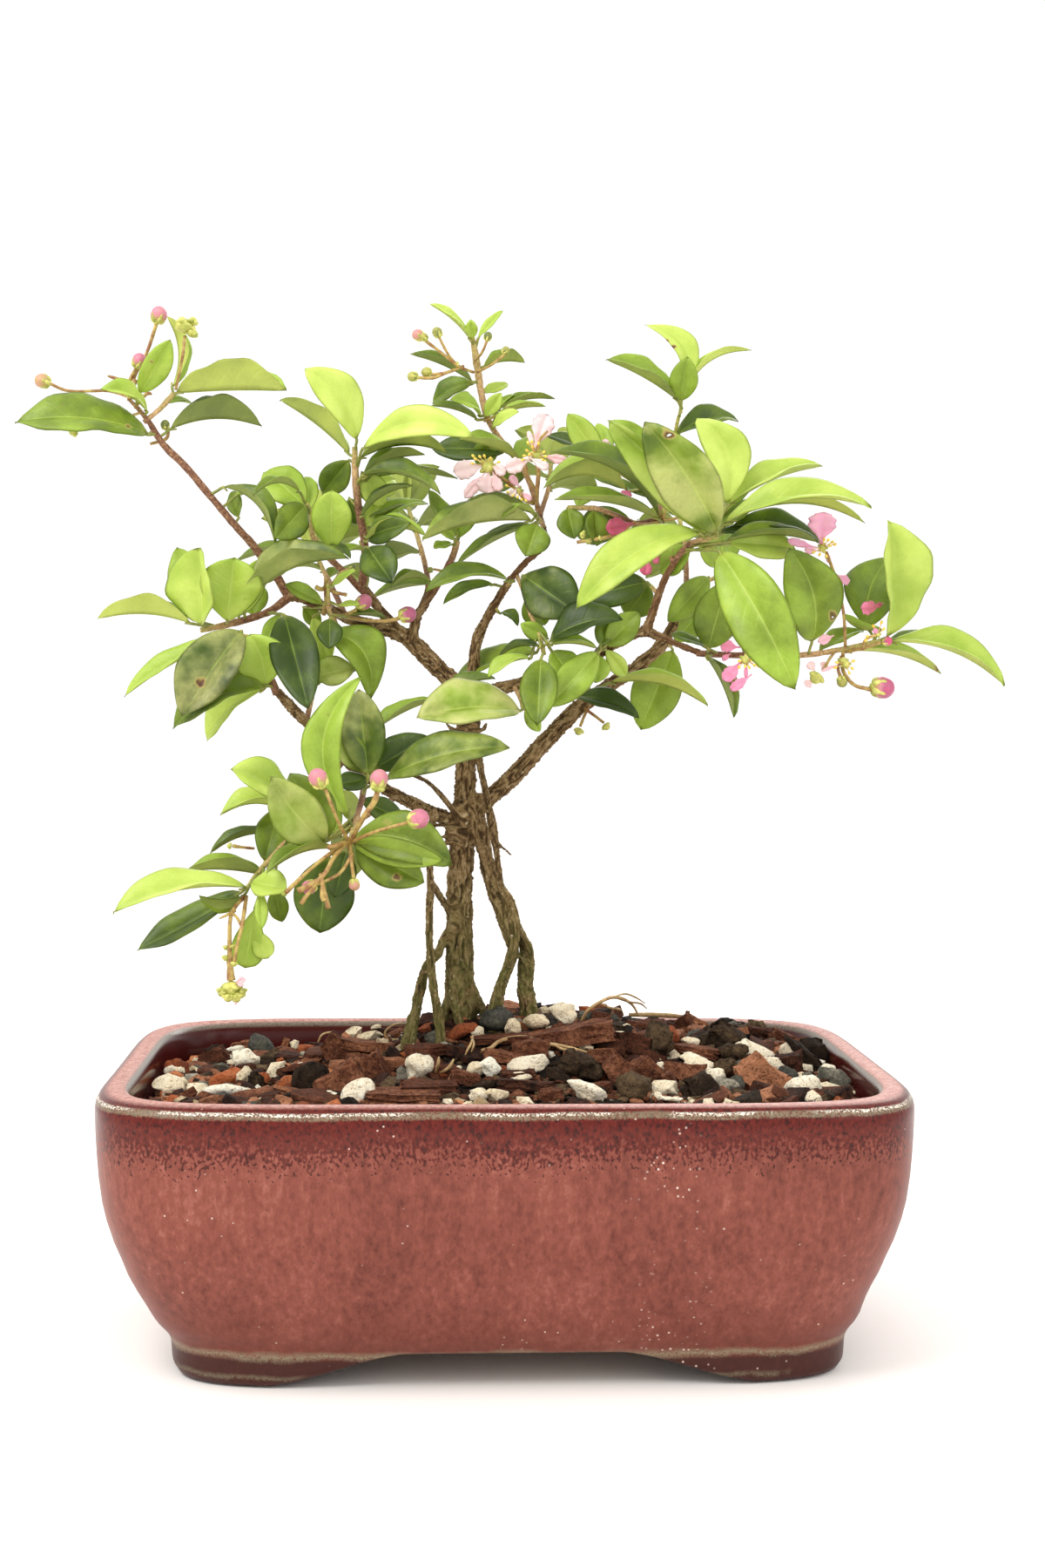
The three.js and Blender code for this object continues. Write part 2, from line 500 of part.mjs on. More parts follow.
// Leafy shoots, each with its twigs and its leaves
const shoots = {
  shoot_upper_left: {
    tone: foliage,
    twigs: [
      [[-57.5, 194.5, 4, 1.3], [-61, 200, 3, 1.2], [-66, 206.5, 2, 1.1], [-71, 212, 1, 1], [-76.5, 218.5, 0, 0.95],
        [-84, 227.3, -1, 0.85], [-90, 233.2, -2, 0.8], [-94, 239.5, -2, 0.65], [-98.5, 244.5, -3, 0.5]],
      [[-94, 239.5, -2, 0.6], [-90, 243, -2, 0.55], [-87, 246.5, -3, 0.5]],
    ],
    leaves: [
      [-93.5, 235.5, -5, -128.5, 238, -12, 18, -55, 15, 3, 35],
      [-94, 241.5, -4, -106.5, 247, -9, 9, -60, 30, 2, 70],
      [-96, 246.5, -5, -88, 260.5, -9, 9, -15, 20, 0.5, 50],
      [-87.5, 248, -1, -89, 266.5, 6, 8, -80, 50, 2.5, 60],
      [-86.5, 246.5, -3, -57.5, 247.5, -10, 18, 95, 58, 0.5, 60],
      [-88, 237, 0, -64, 238, 6, 14, 95, 58, 2.5, 30],
      [-90.5, 243, 0, -82.5, 243.8, 8, 4, 60, 30, 1, 40],
      [-94, 235.5, 2, -101, 236.5, 8, 4.5, -60, 20, 0, 60],
      [-74, 222, -2, -60.5, 207, -8, 9, 60, 50, 4, 25],
      [-70, 214, 4, -71.5, 221, 10, 5, 20, 25, 0, 25],
      [-71, 219.5, 4, -63, 222.3, 12, 4, 80, 30, 0, 50],
    ],
  },
  shoot_left_tip: {
    tone: youngLeaf,
    twigs: [
      [[-57.6, 192.6, 3, 1.2], [-62, 189.3, 0, 1], [-67, 187.5, -2, 1], [-73, 185.8, -4, 0.9], [-80, 184.2, -6, 0.7]],
    ],
    leaves: [
      [-79.5, 185.5, -8, -80.5, 206, -12, 21, 50, 28, -1, 80],
      [-80, 186, -2, -86, 206, 6, 11, 10, 20, 0, 55],
      [-82.5, 186, -6, -107, 187, -8, 13, -95, 45, 2, 78],
      [-82, 187, 0, -94, 192, 8, 6, -70, 20, 0, 28],
      [-73, 187, -7, -73.5, 203, -12, 14, 0, 18, 0, 60],
      [-70, 188, -3, -64.5, 203, 2, 8, -10, 20, 0, 58],
      [-66, 188, 2, -66, 197, 10, 8, 0, 15, 0, 50],
      [-68.5, 190.5, -6, -41, 203.5, -16, 17, 75, 50, 4, 30],
      [-58, 188.5, -10, -51.5, 163.5, -34, 13, 0, 18, 1, 12],
      [-59, 188.5, -4, -63.5, 180.5, -6, 5, 0, 15, 0, 50],
    ],
  },
  shoot_left_hanging: {
    tone: foliage,
    twigs: [
      [[-60.5, 169.2, -14, 1.1], [-63.5, 176, -14, 0.9], [-67, 182, -14, 0.8], [-69.5, 183, -15, 0.6]],
    ],
    leaves: [
      [-69.5, 183, -17, -85.8, 161, -26, 17, 0, 12, 2, 18],
      [-70.5, 182.5, -12, -100, 166.5, -14, 9, -60, 30, 2, 60],
      [-67.5, 181.5, -11, -63, 168.5, -22, 11, 0, 15, 0, 65],
      [-63.5, 170, -17, -87, 157, -24, 14, -85, 50, 2, 35],
      [-63, 169, -13, -77.5, 155, -10, 8, -60, 30, 1, 70],
    ],
  },
  shoot_left_crown: {
    tone: foliage,
    twigs: [
      [[-37.2, 194.6, 4.6, 0.8], [-41.5, 199.3, 1.5, 0.9], [-47, 204.5, 0, 0.9], [-50.5, 209.5, -2, 0.8],
        [-51, 214, -2, 0.7], [-52, 218, -2, 0.6]],
    ],
    leaves: [
      [-53, 206, 2, -70.5, 202.5, 10, 8, -75, 30, 1, 40],
      [-47.6, 206.4, -3, -40.5, 203.5, -8, 5, 70, 30, 1, 12],
      [-52.6, 217.4, -4.5, -60.5, 208.5, -14, 9.5, 10, 15, 0, 22],
      [-45.6, 205.6, -5, -45.5, 221.3, -12, 10.5, 0, 15, 0.5, 62],
      [-51.5, 216, 2, -52, 225, 10, 6, 0, 20, 0, 65],
      [-52.5, 217, 2, -63.5, 226, 6, 12, -20, 18, 1, 58],
      [-54, 221, -6, -66.5, 219.5, -17, 5, -80, 40, 3, 22],
    ],
  },
  shoot_left_inner: {
    tone: foliage,
    twigs: [
      [[-46, 190.6, 1.4, 0.7], [-46.3, 190.4, -1.5, 0.7], [-46.4, 193, -4, 0.6], [-46.5, 197, -6, 0.45]],
      [[-46.4, 191.2, -2.2, 0.6], [-45.6, 187.8, -4, 0.5], [-44.5, 186, -6, 0.4]],
    ],
    leaves: [
      [-46, 187.5, -7, -46, 179.5, -12, 7, 0, 12, 0, 10],
      [-47, 183, 0, -35, 166.3, -6, 9, 70, 40, 6, 50],
      [-45.5, 196, -6, -39, 200.5, -8, 4, 60, 20, 0, 60],
      [-48, 191.5, -4, -58, 196.5, -6, 6, -40, 20, 0, 35],
    ],
  },
  shoot_low_branch: {
    tone: foliage,
    twigs: [[[-52, 161, -12, 0.8], [-51, 165, -9, 0.65], [-50, 169, -7, 0.5]]],
    leaves: [
      [-49.5, 170, -6, -36, 174.5, 2, 9, 60, 20, 1, 28],
      [-50.5, 170, -4, -47, 180, 6, 8, 0, 15, 0, 55],
      [-51, 168, -6, -57, 175, 2, 6, 0, 15, 0, 40],
    ],
  },
  shoot_high_left: {
    tone: youngLeaf,
    twigs: [
      [[-37.4, 197.4, 6, 1.2], [-36.6, 204, 5, 1.1], [-37.2, 210, 4, 1.05], [-38.2, 215, 3, 1], [-39, 221, 2, 0.95],
        [-39.4, 227, 1, 0.9], [-39.5, 233, 0, 0.7]],
    ],
    leaves: [
      [-39, 235, -2, -52.7, 253, -10, 17, -70, 48, 1, 92],
      [-41, 231, 2, -59.3, 245, 8, 12, -100, 40, 1, 50],
      [-41, 229.5, 4, -48, 220.5, 10, 8.5, 0, 20, 0, 35],
      [-37, 233, -3, -8, 236.8, -14, 17, 90, 56, 2, 90],
      [-38, 230, 1, -15, 231.5, 6, 12, 75, 50, 3, 45],
      [-37.5, 224.5, 0, -21, 231, 4, 8, 80, 50, 2, 30],
      [-37.5, 225.5, -2, -16.8, 220.7, -8, 9, 60, 40, 3, 26],
      [-38, 224, 2, -12.3, 224.8, 10, 6, 80, 40, 2, 30],
      [-38.5, 219.5, 5, -29, 224.5, 12, 10, 20, 20, 1, 85],
      [-37.8, 214.5, 1, -24, 222.8, -2, 6, 80, 40, 2, 25],
      [-37.3, 212.2, 4.6, -28, 217.5, 10, 9, 30, 15, 0, 80],
      [-35.6, 211.6, 5.5, -20, 218, 12, 8, 60, 25, 2, 50],
      [-36, 209, 0, -24.5, 213, -10, 8, 20, 20, 1, 14],
      [-36.8, 208, -2, -20.5, 209.5, -6, 9, 80, 50, 3, 55],
      [-36, 206.5, -3, -29.5, 197.3, -14, 10.5, 5, 15, 0, 12],
      [-36.5, 205.5, 1, -43.5, 204.3, -4, 5, -70, 30, 1, 40],
    ],
  },
  shoot_centre: {
    tone: foliage,
    twigs: [[[-17.6, 196.8, 5, 1.1], [-15, 201, 5, 1], [-13.2, 205, 5, 0.9], [-12.3, 208.5, 5, 0.8]]],
    leaves: [
      [-13.5, 207.5, 6, -18.5, 206.3, 2, 5, -60, 20, 0, 40],
      [-19, 197.5, 2, -30, 195.5, 0, 7, -80, 40, 2, 35],
      [-18.5, 197, 7, -35, 193, 14, 7, -70, 30, 1, 42],
      [-13, 209, 3, -18.5, 213, -2, 4.5, -40, 20, 0, 55],
      [-12.3, 209.5, 6, -20, 222, 10, 8, -50, 35, -2, 40],
      [-12, 209, 7, -8, 219, 14, 7, 20, 20, 0, 50],
    ],
  },
  shoot_crown_centre: {
    tone: foliage,
    twigs: [[[10.6, 212.6, 4, 0.7], [9.8, 214, 0, 0.65], [8.5, 215.3, -3, 0.55]]],
    leaves: [
      [7.5, 214, -4, -21.5, 208.5, -12, 16, -90, 50, 2, 34],
      [7, 216.5, -1, -10.5, 218.3, 4, 7, -85, 35, 2, 40],
      [7.5, 213, 0, -12.5, 202, 4, 7, -70, 30, 1, 28],
      [8, 212.5, 0, -7, 207, 8, 6, -70, 30, 1, 24],
      [9, 213, -4, 6, 204.5, -9, 10, 0, 15, 0, 34],
      [8.5, 216, -4, -0.5, 214.2, -8, 6, -80, 40, 1.5, 45],
    ],
  },
  shoot_top: {
    tone: youngLeaf,
    twigs: [
      [[9.4, 216.4, 5.2, 0.7], [8, 221, 6, 0.65], [5, 228, 6, 0.6], [1, 233, 6, 0.6], [-2, 236.8, 6, 0.6],
        [-4.6, 241.5, 6, 0.55], [-6, 247, 6, 0.5], [-6.8, 252, 6, 0.5], [-7.6, 257, 5, 0.5], [-8.6, 262.5, 4, 0.45]],
    ],
    leaves: [
      [-9, 261.5, 3, -20, 270.8, -2, 5, -70, 30, 1, 75],
      [-8.6, 262, 3, -9, 267, 0, 3.6, 0, 20, 0, 60],
      [-7, 262, 4, -0.5, 269.3, 8, 3.5, 40, 30, 0, 72],
      [-8.5, 250.5, 5, -25, 257.5, 0, 7, -80, 40, 1, 28],
      [-5.5, 254.5, 5, 5.5, 255.7, 8, 8, 90, 50, 1, 35],
      [-8.5, 250, 8, -19, 244.5, 14, 9, -50, 20, 1, 24],
      [-6.5, 241.5, 4, -14.5, 245.6, -3, 7, -60, 25, 1.5, 52],
      [-7, 240.5, 6, -19.3, 244, 4, 5, -75, 35, 1, 28],
      [-5, 241.5, 3, -0.8, 247.8, -1, 4.5, 0, 25, 0, 65],
      [-4, 242, 6, 2.8, 247.2, 10, 4.5, 60, 30, 0, 45],
      [-2, 243, 8, 13.5, 246.2, 12, 6, 80, 35, 1.5, 34],
      [-2, 241.5, 4, 11, 244.2, 2, 5, 80, 40, 1, 46],
      [-3, 238.5, 3, 4, 242.8, -2, 5, 50, 25, 0.5, 66],
      [1, 232.5, 9, -19, 232.5, 14, 10, -40, 15, 0, 12],
      [4, 230, 4, -12, 235.3, -3, 9, -80, 40, 1, 45],
    ],
  },
  shoot_centre_low: {
    tone: foliage,
    twigs: [
      [[4, 198.6, 1.4, 0.6], [5.5, 195, -3, 0.55], [7, 190, -7, 0.55], [8.8, 186, -10, 0.55], [10.3, 181.5, -12, 0.6],
        [11, 178.5, -13, 0.6]],
    ],
    leaves: [
      [5.2, 199.5, -3, 19.7, 189.6, -14, 16, 5, 12, 1, 8],
      [6.5, 194.5, -4, 11, 186.3, 2, 8.5, 0, 15, 0, 35],
      [12, 182.8, -10, 4.6, 186.7, -12, 5, 0, 15, 0, 50],
      [12.5, 182, -15, 32, 188, -20, 15, 55, 22, 2, 10],
      [10.2, 177.3, -17, 9.4, 159.6, -28, 10.5, -5, 18, 0.5, 30],
      [9, 179, -9, -13, 171.5, 12, 12, -60, 20, 1, 40],
      [10, 180.5, -14, -1, 177.8, -10, 6, -80, 30, 1.5, 12],
    ],
  },
  shoot_trunk_front: {
    tone: foliage,
    twigs: [[[3.4, 169.4, -5.4, 0.65], [5, 166, -9, 0.55], [5.5, 163.8, -11, 0.5]]],
    leaves: [
      [4.8, 163.5, -13, -23, 161.3, -20, 18, -45, 22, 2, 36],
      [6, 164, -11, 10, 158, -8, 4, 0, 15, 0, 50],
    ],
  },
  shoot_crotch: {
    tone: foliage,
    twigs: [[[-14.4, 169.4, -1, 0.7], [-16, 167.5, -5, 0.55], [-17, 166.5, -7, 0.5]]],
    leaves: [
      [-18, 166.3, -8, -35, 157.3, -12, 8, -70, 35, 1, 36],
      [-16, 168, -8, -2, 172, -9, 7, 60, 30, 1, 24],
    ],
  },
  shoot_front_low_left: {
    tone: foliage,
    twigs: [[[-36.4, 145, -10.6, 0.9], [-37.5, 139, -22, 0.8], [-39.8, 131, -36, 0.7], [-40, 129, -38, 0.7]]],
    leaves: [
      [-39.5, 129.5, -39, -13.2, 122.5, -50, 12.5, 25, 15, 1, 50],
      [-39.3, 127.8, -38, -20.5, 118, -46, 12, -10, 15, 0, 52],
      [-40.7, 134.5, -36, -37.5, 172.5, -30, 12, 15, 25, 0, 68, 8],
      [-35.7, 146, -22, -38.2, 169, -20, 11, 0, 20, 0, 18],
      [-36, 145, -20, -44, 143.2, -26, 6.5, -30, 15, 0, 10],
      [-47.3, 128.3, -42, -62, 145.3, -52, 15, 0, 22, 1, 50],
      [-44.5, 126.6, -40, -62.5, 119.8, -52, 8, -75, 35, 2, 38],
      [-46, 124.5, -35, -48.5, 104, -34, 15.5, 0, 10, 0, 24],
      [-41.5, 126, -40, -44.5, 113.5, -42, 8, 10, 20, 0, 20],
      [-40.5, 124, -33, -43, 107.5, -30, 5, 0, 20, 0, 10],
      [-43.5, 130.5, -34, -49.5, 140.5, -28, 8, 0, 15, 0, 42],
      [-37.5, 139.5, -20, -25.8, 133.5, -16, 7, 20, 20, 0, 18],
      [-34, 147.5, -16, -19.5, 156.3, -14, 11, 30, 15, 0, 12],
      [-31, 145, -19, 2, 153.6, -26, 14, 45, 18, 3, 30],
    ],
  },
  shoot_low_left_tip: {
    tone: youngLeaf,
    twigs: [
      [[-42.5, 149.6, -12, 0.8], [-48.5, 142, -22, 0.75], [-55.8, 131.8, -30, 0.75], [-60, 125.5, -34, 0.7],
        [-64, 121, -37, 0.65], [-67.8, 115.8, -40, 0.6]],
    ],
    leaves: [
      [-55.5, 137.8, -32, -72, 147, -40, 10, -60, 30, 1, 60],
      [-57, 135.5, -30, -74.3, 135.2, -34, 8, -90, 40, 2, 75],
      [-63, 123, -34, -59.3, 137, -27, 9, 0, 12, 1, 30],
      [-60, 130.5, -28, -77.5, 125, -30, 7, -75, 35, 2, 18],
      [-67.5, 116, -43, -103, 109.2, -54, 13, -60, 30, 3, 82],
      [-63, 119.3, -36, -83.5, 120.5, -38, 10, -80, 45, 1, 40],
      [-69, 115, -38, -96.6, 99.2, -42, 11, -50, 20, -1, 18],
      [-68.5, 114, -42, -80.3, 114, -46, 8, 80, 45, 1, 35],
      [-66.5, 117.3, -44, -57, 115.5, -50, 9, 30, 20, 0, 76],
      [-64, 115, -46, -63.8, 105, -50, 3.6, 0, 20, 0, 60],
      [-66, 108, -42, -67.5, 95.5, -44, 10, 0, 10, 0, 66],
      [-60.5, 116, -34, -58.5, 107, -30, 5.5, 0, 15, 0, 38],
    ],
  },
  shoot_right_crown: {
    tone: youngLeaf,
    twigs: [
      [[46.3, 204.2, -17.2, 0.85], [49.8, 208.3, -20, 0.75], [54, 209.5, -23, 0.65], [57.5, 210.3, -25, 0.6]],
    ],
    leaves: [
      [52.5, 211.3, -25, 19.7, 190.8, -34, 13, -35, 22, 7, 86],
      [57, 211.5, -27, 37, 239.5, -34, 15, 10, 25, 2, 46],
      [55, 210.8, -24, 28, 240.5, -26, 10, 30, 35, 0, 55],
      [57.5, 212, -22, 53.8, 239, -18, 13, -20, 20, 0, 90],
      [58.5, 213.5, -26, 98.7, 218.5, -30, 13, 60, 30, 5, 76],
      [60, 214.5, -20, 97, 214.2, -16, 9, 80, 40, 5, 78],
      [61, 218.5, -19, 85.3, 229.3, -14, 8, 80, 40, 1, 72],
      [59.5, 217, -15, 68, 228, -8, 5, 30, 20, 0, 50],
      [58, 211, -20, 70, 212.5, -12, 5, 60, 20, 0, 8],
      [61, 213, -16, 85.2, 208.3, -10, 10, 60, 30, 3, 8],
      [59.5, 209, -23, 84.2, 209, -16, 9, 75, 35, 2, 32],
      [57.8, 206, -30, 79, 169.8, -48, 21, 0, 15, 2, 62],
      [60, 208, -20, 77.5, 206, -12, 9, 20, 15, 0, 60],
    ],
  },
  shoot_crown_right: {
    tone: foliage,
    twigs: [
      [[45.4, 203.4, -15.6, 0.7], [44, 208, -9, 0.65], [42.5, 214, -6, 0.6], [41.8, 219, -4, 0.6], [41, 226, -2, 0.55],
        [44.5, 233, -5, 0.5], [46.3, 241, -8, 0.45], [47.2, 244.5, -9, 0.45], [46.9, 246, -9, 0.4]],
      [[41.8, 219, -4, 0.55], [34, 225, 2, 0.5], [27, 229, 5, 0.45]],
    ],
    leaves: [
      [41.5, 215.5, -8, 12.3, 232, -14, 12, -70, 40, 5, 40],
      [33, 222, -4, 10.5, 222.5, -8, 13, -85, 50, 4, 42],
      [41.5, 214.8, -9, 13.5, 219.5, -22, 9, -75, 40, 2, 44],
      [40, 220, -2, 22, 226.5, 4, 6, -60, 20, 0, 14],
      [41, 227, 0, 27.5, 240.8, 2, 8, -60, 40, 2, 50],
      [26, 230, 4, 17, 242.5, 6, 8, 0, 20, 0, 58],
      [26, 230, 7, 10.8, 236.5, 12, 8, -60, 20, 1, 20],
      [28, 230, 7, 25, 240, 14, 6, 0, 20, 0, 56],
      [47.5, 247.5, -7, 37.3, 266.2, -4, 8, -30, 25, 0, 80, -6],
      [46.3, 246.3, -9, 27, 256.8, -12, 11, -70, 40, 1, 48],
      [47, 246.3, -10, 48.8, 258, -15, 8, 0, 20, 0, 50],
      [47.5, 247, -8, 66, 259.8, -2, 5, 80, 45, 4, 80],
      [46, 240, -6, 62, 241, 0, 7, 70, 25, 2, 30],
    ],
  },
  shoot_right_tip: {
    tone: youngLeaf,
    twigs: [
      [[53.3, 179.1, -12, 0.85], [60, 178.8, -13, 0.8], [68, 178.6, -13, 0.8], [82, 179, -13, 0.75], [90, 180.3, -12, 0.7],
        [98, 182, -11, 0.65], [102.5, 183.3, -10, 0.55]],
    ],
    leaves: [
      [103.5, 184, -11, 103, 215.2, -20, 23, -50, 35, 1, 80],
      [97, 187, -6, 104, 204.5, 2, 12, 0, 12, 0, 34],
      [101.5, 186, -9, 91, 190, -6, 5, -70, 40, -2, 55],
      [104, 183, -7, 116.2, 185.2, 2, 5, 60, 20, 0, 28],
      [104, 182.6, -11, 135.5, 171, -18, 13, 60, 38, 4, 74],
      [92, 180, -10, 118, 174, -2, 8, 70, 40, 2.5, 70],
      [85, 180, -10, 97, 185.3, -4, 7, 50, 25, 1, 44],
      [83, 183, -18, 76.2, 207.5, -30, 16, 0, 15, 1, 38],
      [55, 180.5, -17, 60, 198.8, -24, 12.5, 0, 15, 1, 34],
      [54.5, 178.3, -15, 62, 162, -22, 8, 65, 48, 1, 28],
      [54, 181, -15, 44.8, 184, -19, 5, -60, 20, 0, 22],
    ],
  },
  shoot_right_mid: {
    tone: foliage,
    twigs: [[[25.3, 179, -10.6, 0.7], [26, 180.4, -14, 0.6]]],
    leaves: [
      [25.5, 179.3, -15, 12.2, 164.6, -17, 9.5, 0, 15, 1, 52],
      [27.5, 181, -14, 36.5, 190, -16, 8, 0, 15, 0, 35],
      [27.5, 180, -12, 33, 173, -6, 5, 0, 15, 0, 72],
    ],
  },
  shoot_riser: {
    tone: darkLeaf,
    twigs: [[[41.6, 194.6, -10.6, 0.6], [39.5, 197, -6, 0.5]]],
    leaves: [
      [38.5, 198, -5, 21, 193.5, -3, 10, -10, 15, 1, 12],
      [39, 197.5, -2, 33, 189, 4, 10, 0, 15, 0, 34],
    ],
  },
  shoot_right_low: {
    tone: foliage,
    twigs: [[[24, 168, 9.6, 0.8], [23.5, 168.8, 5, 0.7], [23, 169.4, 2, 0.6]]],
    leaves: [
      [19.5, 167.2, 3, 36.6, 161.8, -4, 8, 40, 25, 2, 12],
      [28.5, 171, 4, 55, 165, 0, 9, 80, 48, 3, 72],
    ],
  },
  shoot_right_under: {
    tone: foliage,
    twigs: [[[43.3, 181.5, 18.2, 0.6], [45, 181, 21, 0.5]]],
    leaves: [
      [45.5, 180, 22, 37, 158.6, 26, 14, 0, 10, 0, 42],
      [46, 182, 22, 54, 192, 30, 9, 0, 15, 0, 40],
    ],
  },
  shoot_right_back: {
    tone: foliage,
    twigs: [[[54.3, 198.2, 19, 0.65], [57, 199.5, 19, 0.5]]],
    leaves: [
      [55, 199.5, 17, 44, 187.5, 10, 9, 10, 15, 0, 40],
      [58, 200, 20, 70, 196, 26, 10, 30, 20, 1, 45],
      [57.5, 201, 20, 60, 215, 28, 10, 0, 15, 0, 50],
    ],
  },
  shoot_back_left: {
    tone: foliage,
    twigs: [[[-42, 188.5, 5.2, 0.9], [-44, 193, 14, 0.8], [-47, 199, 22, 0.7], [-50, 205, 28, 0.6]]],
    leaves: [
      [-50.5, 206, 29, -64, 214, 40, 12, -120, 20, 2, 45],
      [-50, 206, 29, -48, 222, 38, 12, 170, 20, 1, 60],
      [-49.5, 203.5, 27, -36, 210, 40, 12, 120, 20, 2, 40],
      [-47.5, 200, 24, -62, 197, 34, 12, -110, 20, 3, 30],
      [-46.5, 198, 21, -36, 196, 34, 11, 110, 20, 3, 35],
    ],
  },
  shoot_back_centre: {
    tone: foliage,
    twigs: [[[-22, 190.5, 4.6, 0.9], [-20, 196, 14, 0.8], [-21, 203, 22, 0.7], [-23, 210, 27, 0.65], [-25, 216, 30, 0.6]]],
    leaves: [
      [-25.5, 217, 31, -36, 228, 40, 13, -140, 20, 2, 60],
      [-25, 217, 31, -17, 228, 40, 12, 140, 20, 2, 50],
      [-24, 213, 28, -36, 212, 42, 13, -120, 20, 3, 40],
      [-23, 210.5, 28, -12, 214, 40, 12, 120, 20, 3, 35],
      [-21.5, 205, 24, -33, 201, 36, 11, -120, 20, 2, 25],
    ],
  },
  shoot_back_right: {
    tone: foliage,
    twigs: [[[48.5, 194, 18.2, 0.8], [49, 199, 26, 0.75], [48.5, 207, 31, 0.7], [47, 215, 33, 0.6]]],
    leaves: [
      [47, 216, 34, 38, 228, 43, 13, -140, 20, 2, 50],
      [47.5, 216, 34, 56, 228, 43, 13, 140, 20, 2, 55],
      [48, 211, 33, 35, 211, 44, 12, -120, 20, 3, 40],
      [48.8, 208, 33, 62, 211, 44, 13, 120, 20, 3, 45],
      [49, 201, 29, 38, 199, 40, 11, -120, 20, 2, 30],
    ],
  },
  shoot_back_top: {
    tone: foliage,
    twigs: [[[9.6, 215, 6, 0.75], [10.5, 218, 14, 0.7], [12, 223, 20, 0.65], [12.5, 229, 24, 0.6]]],
    leaves: [
      [12, 230, 25, 3, 238, 34, 10, -140, 20, 2, 55],
      [13, 230, 25, 22, 236, 34, 11, 140, 20, 2, 60],
      [12, 225, 22, 0, 224, 34, 12, -115, 20, 2, 35],
      [12, 222, 20, 25, 221, 32, 12, 115, 20, 2, 40],
    ],
  },
  shoot_back_low: {
    tone: foliage,
    twigs: [[[-27.5, 140.8, -3.5, 0.8], [-32, 138, 6, 0.75], [-38, 134, 14, 0.7], [-45, 129.5, 20, 0.6]]],
    leaves: [
      [-46, 129, 21, -57, 124, 32, 12, -120, 20, 2, 40],
      [-45.5, 130, 21, -52, 139, 30, 11, -150, 20, 1, 55],
      [-43, 130, 19, -41, 118, 28, 12, 150, 20, 1, 35],
      [-38, 134, 15, -47, 141, 22, 9, -140, 20, 1, 45],
    ],
  },
};

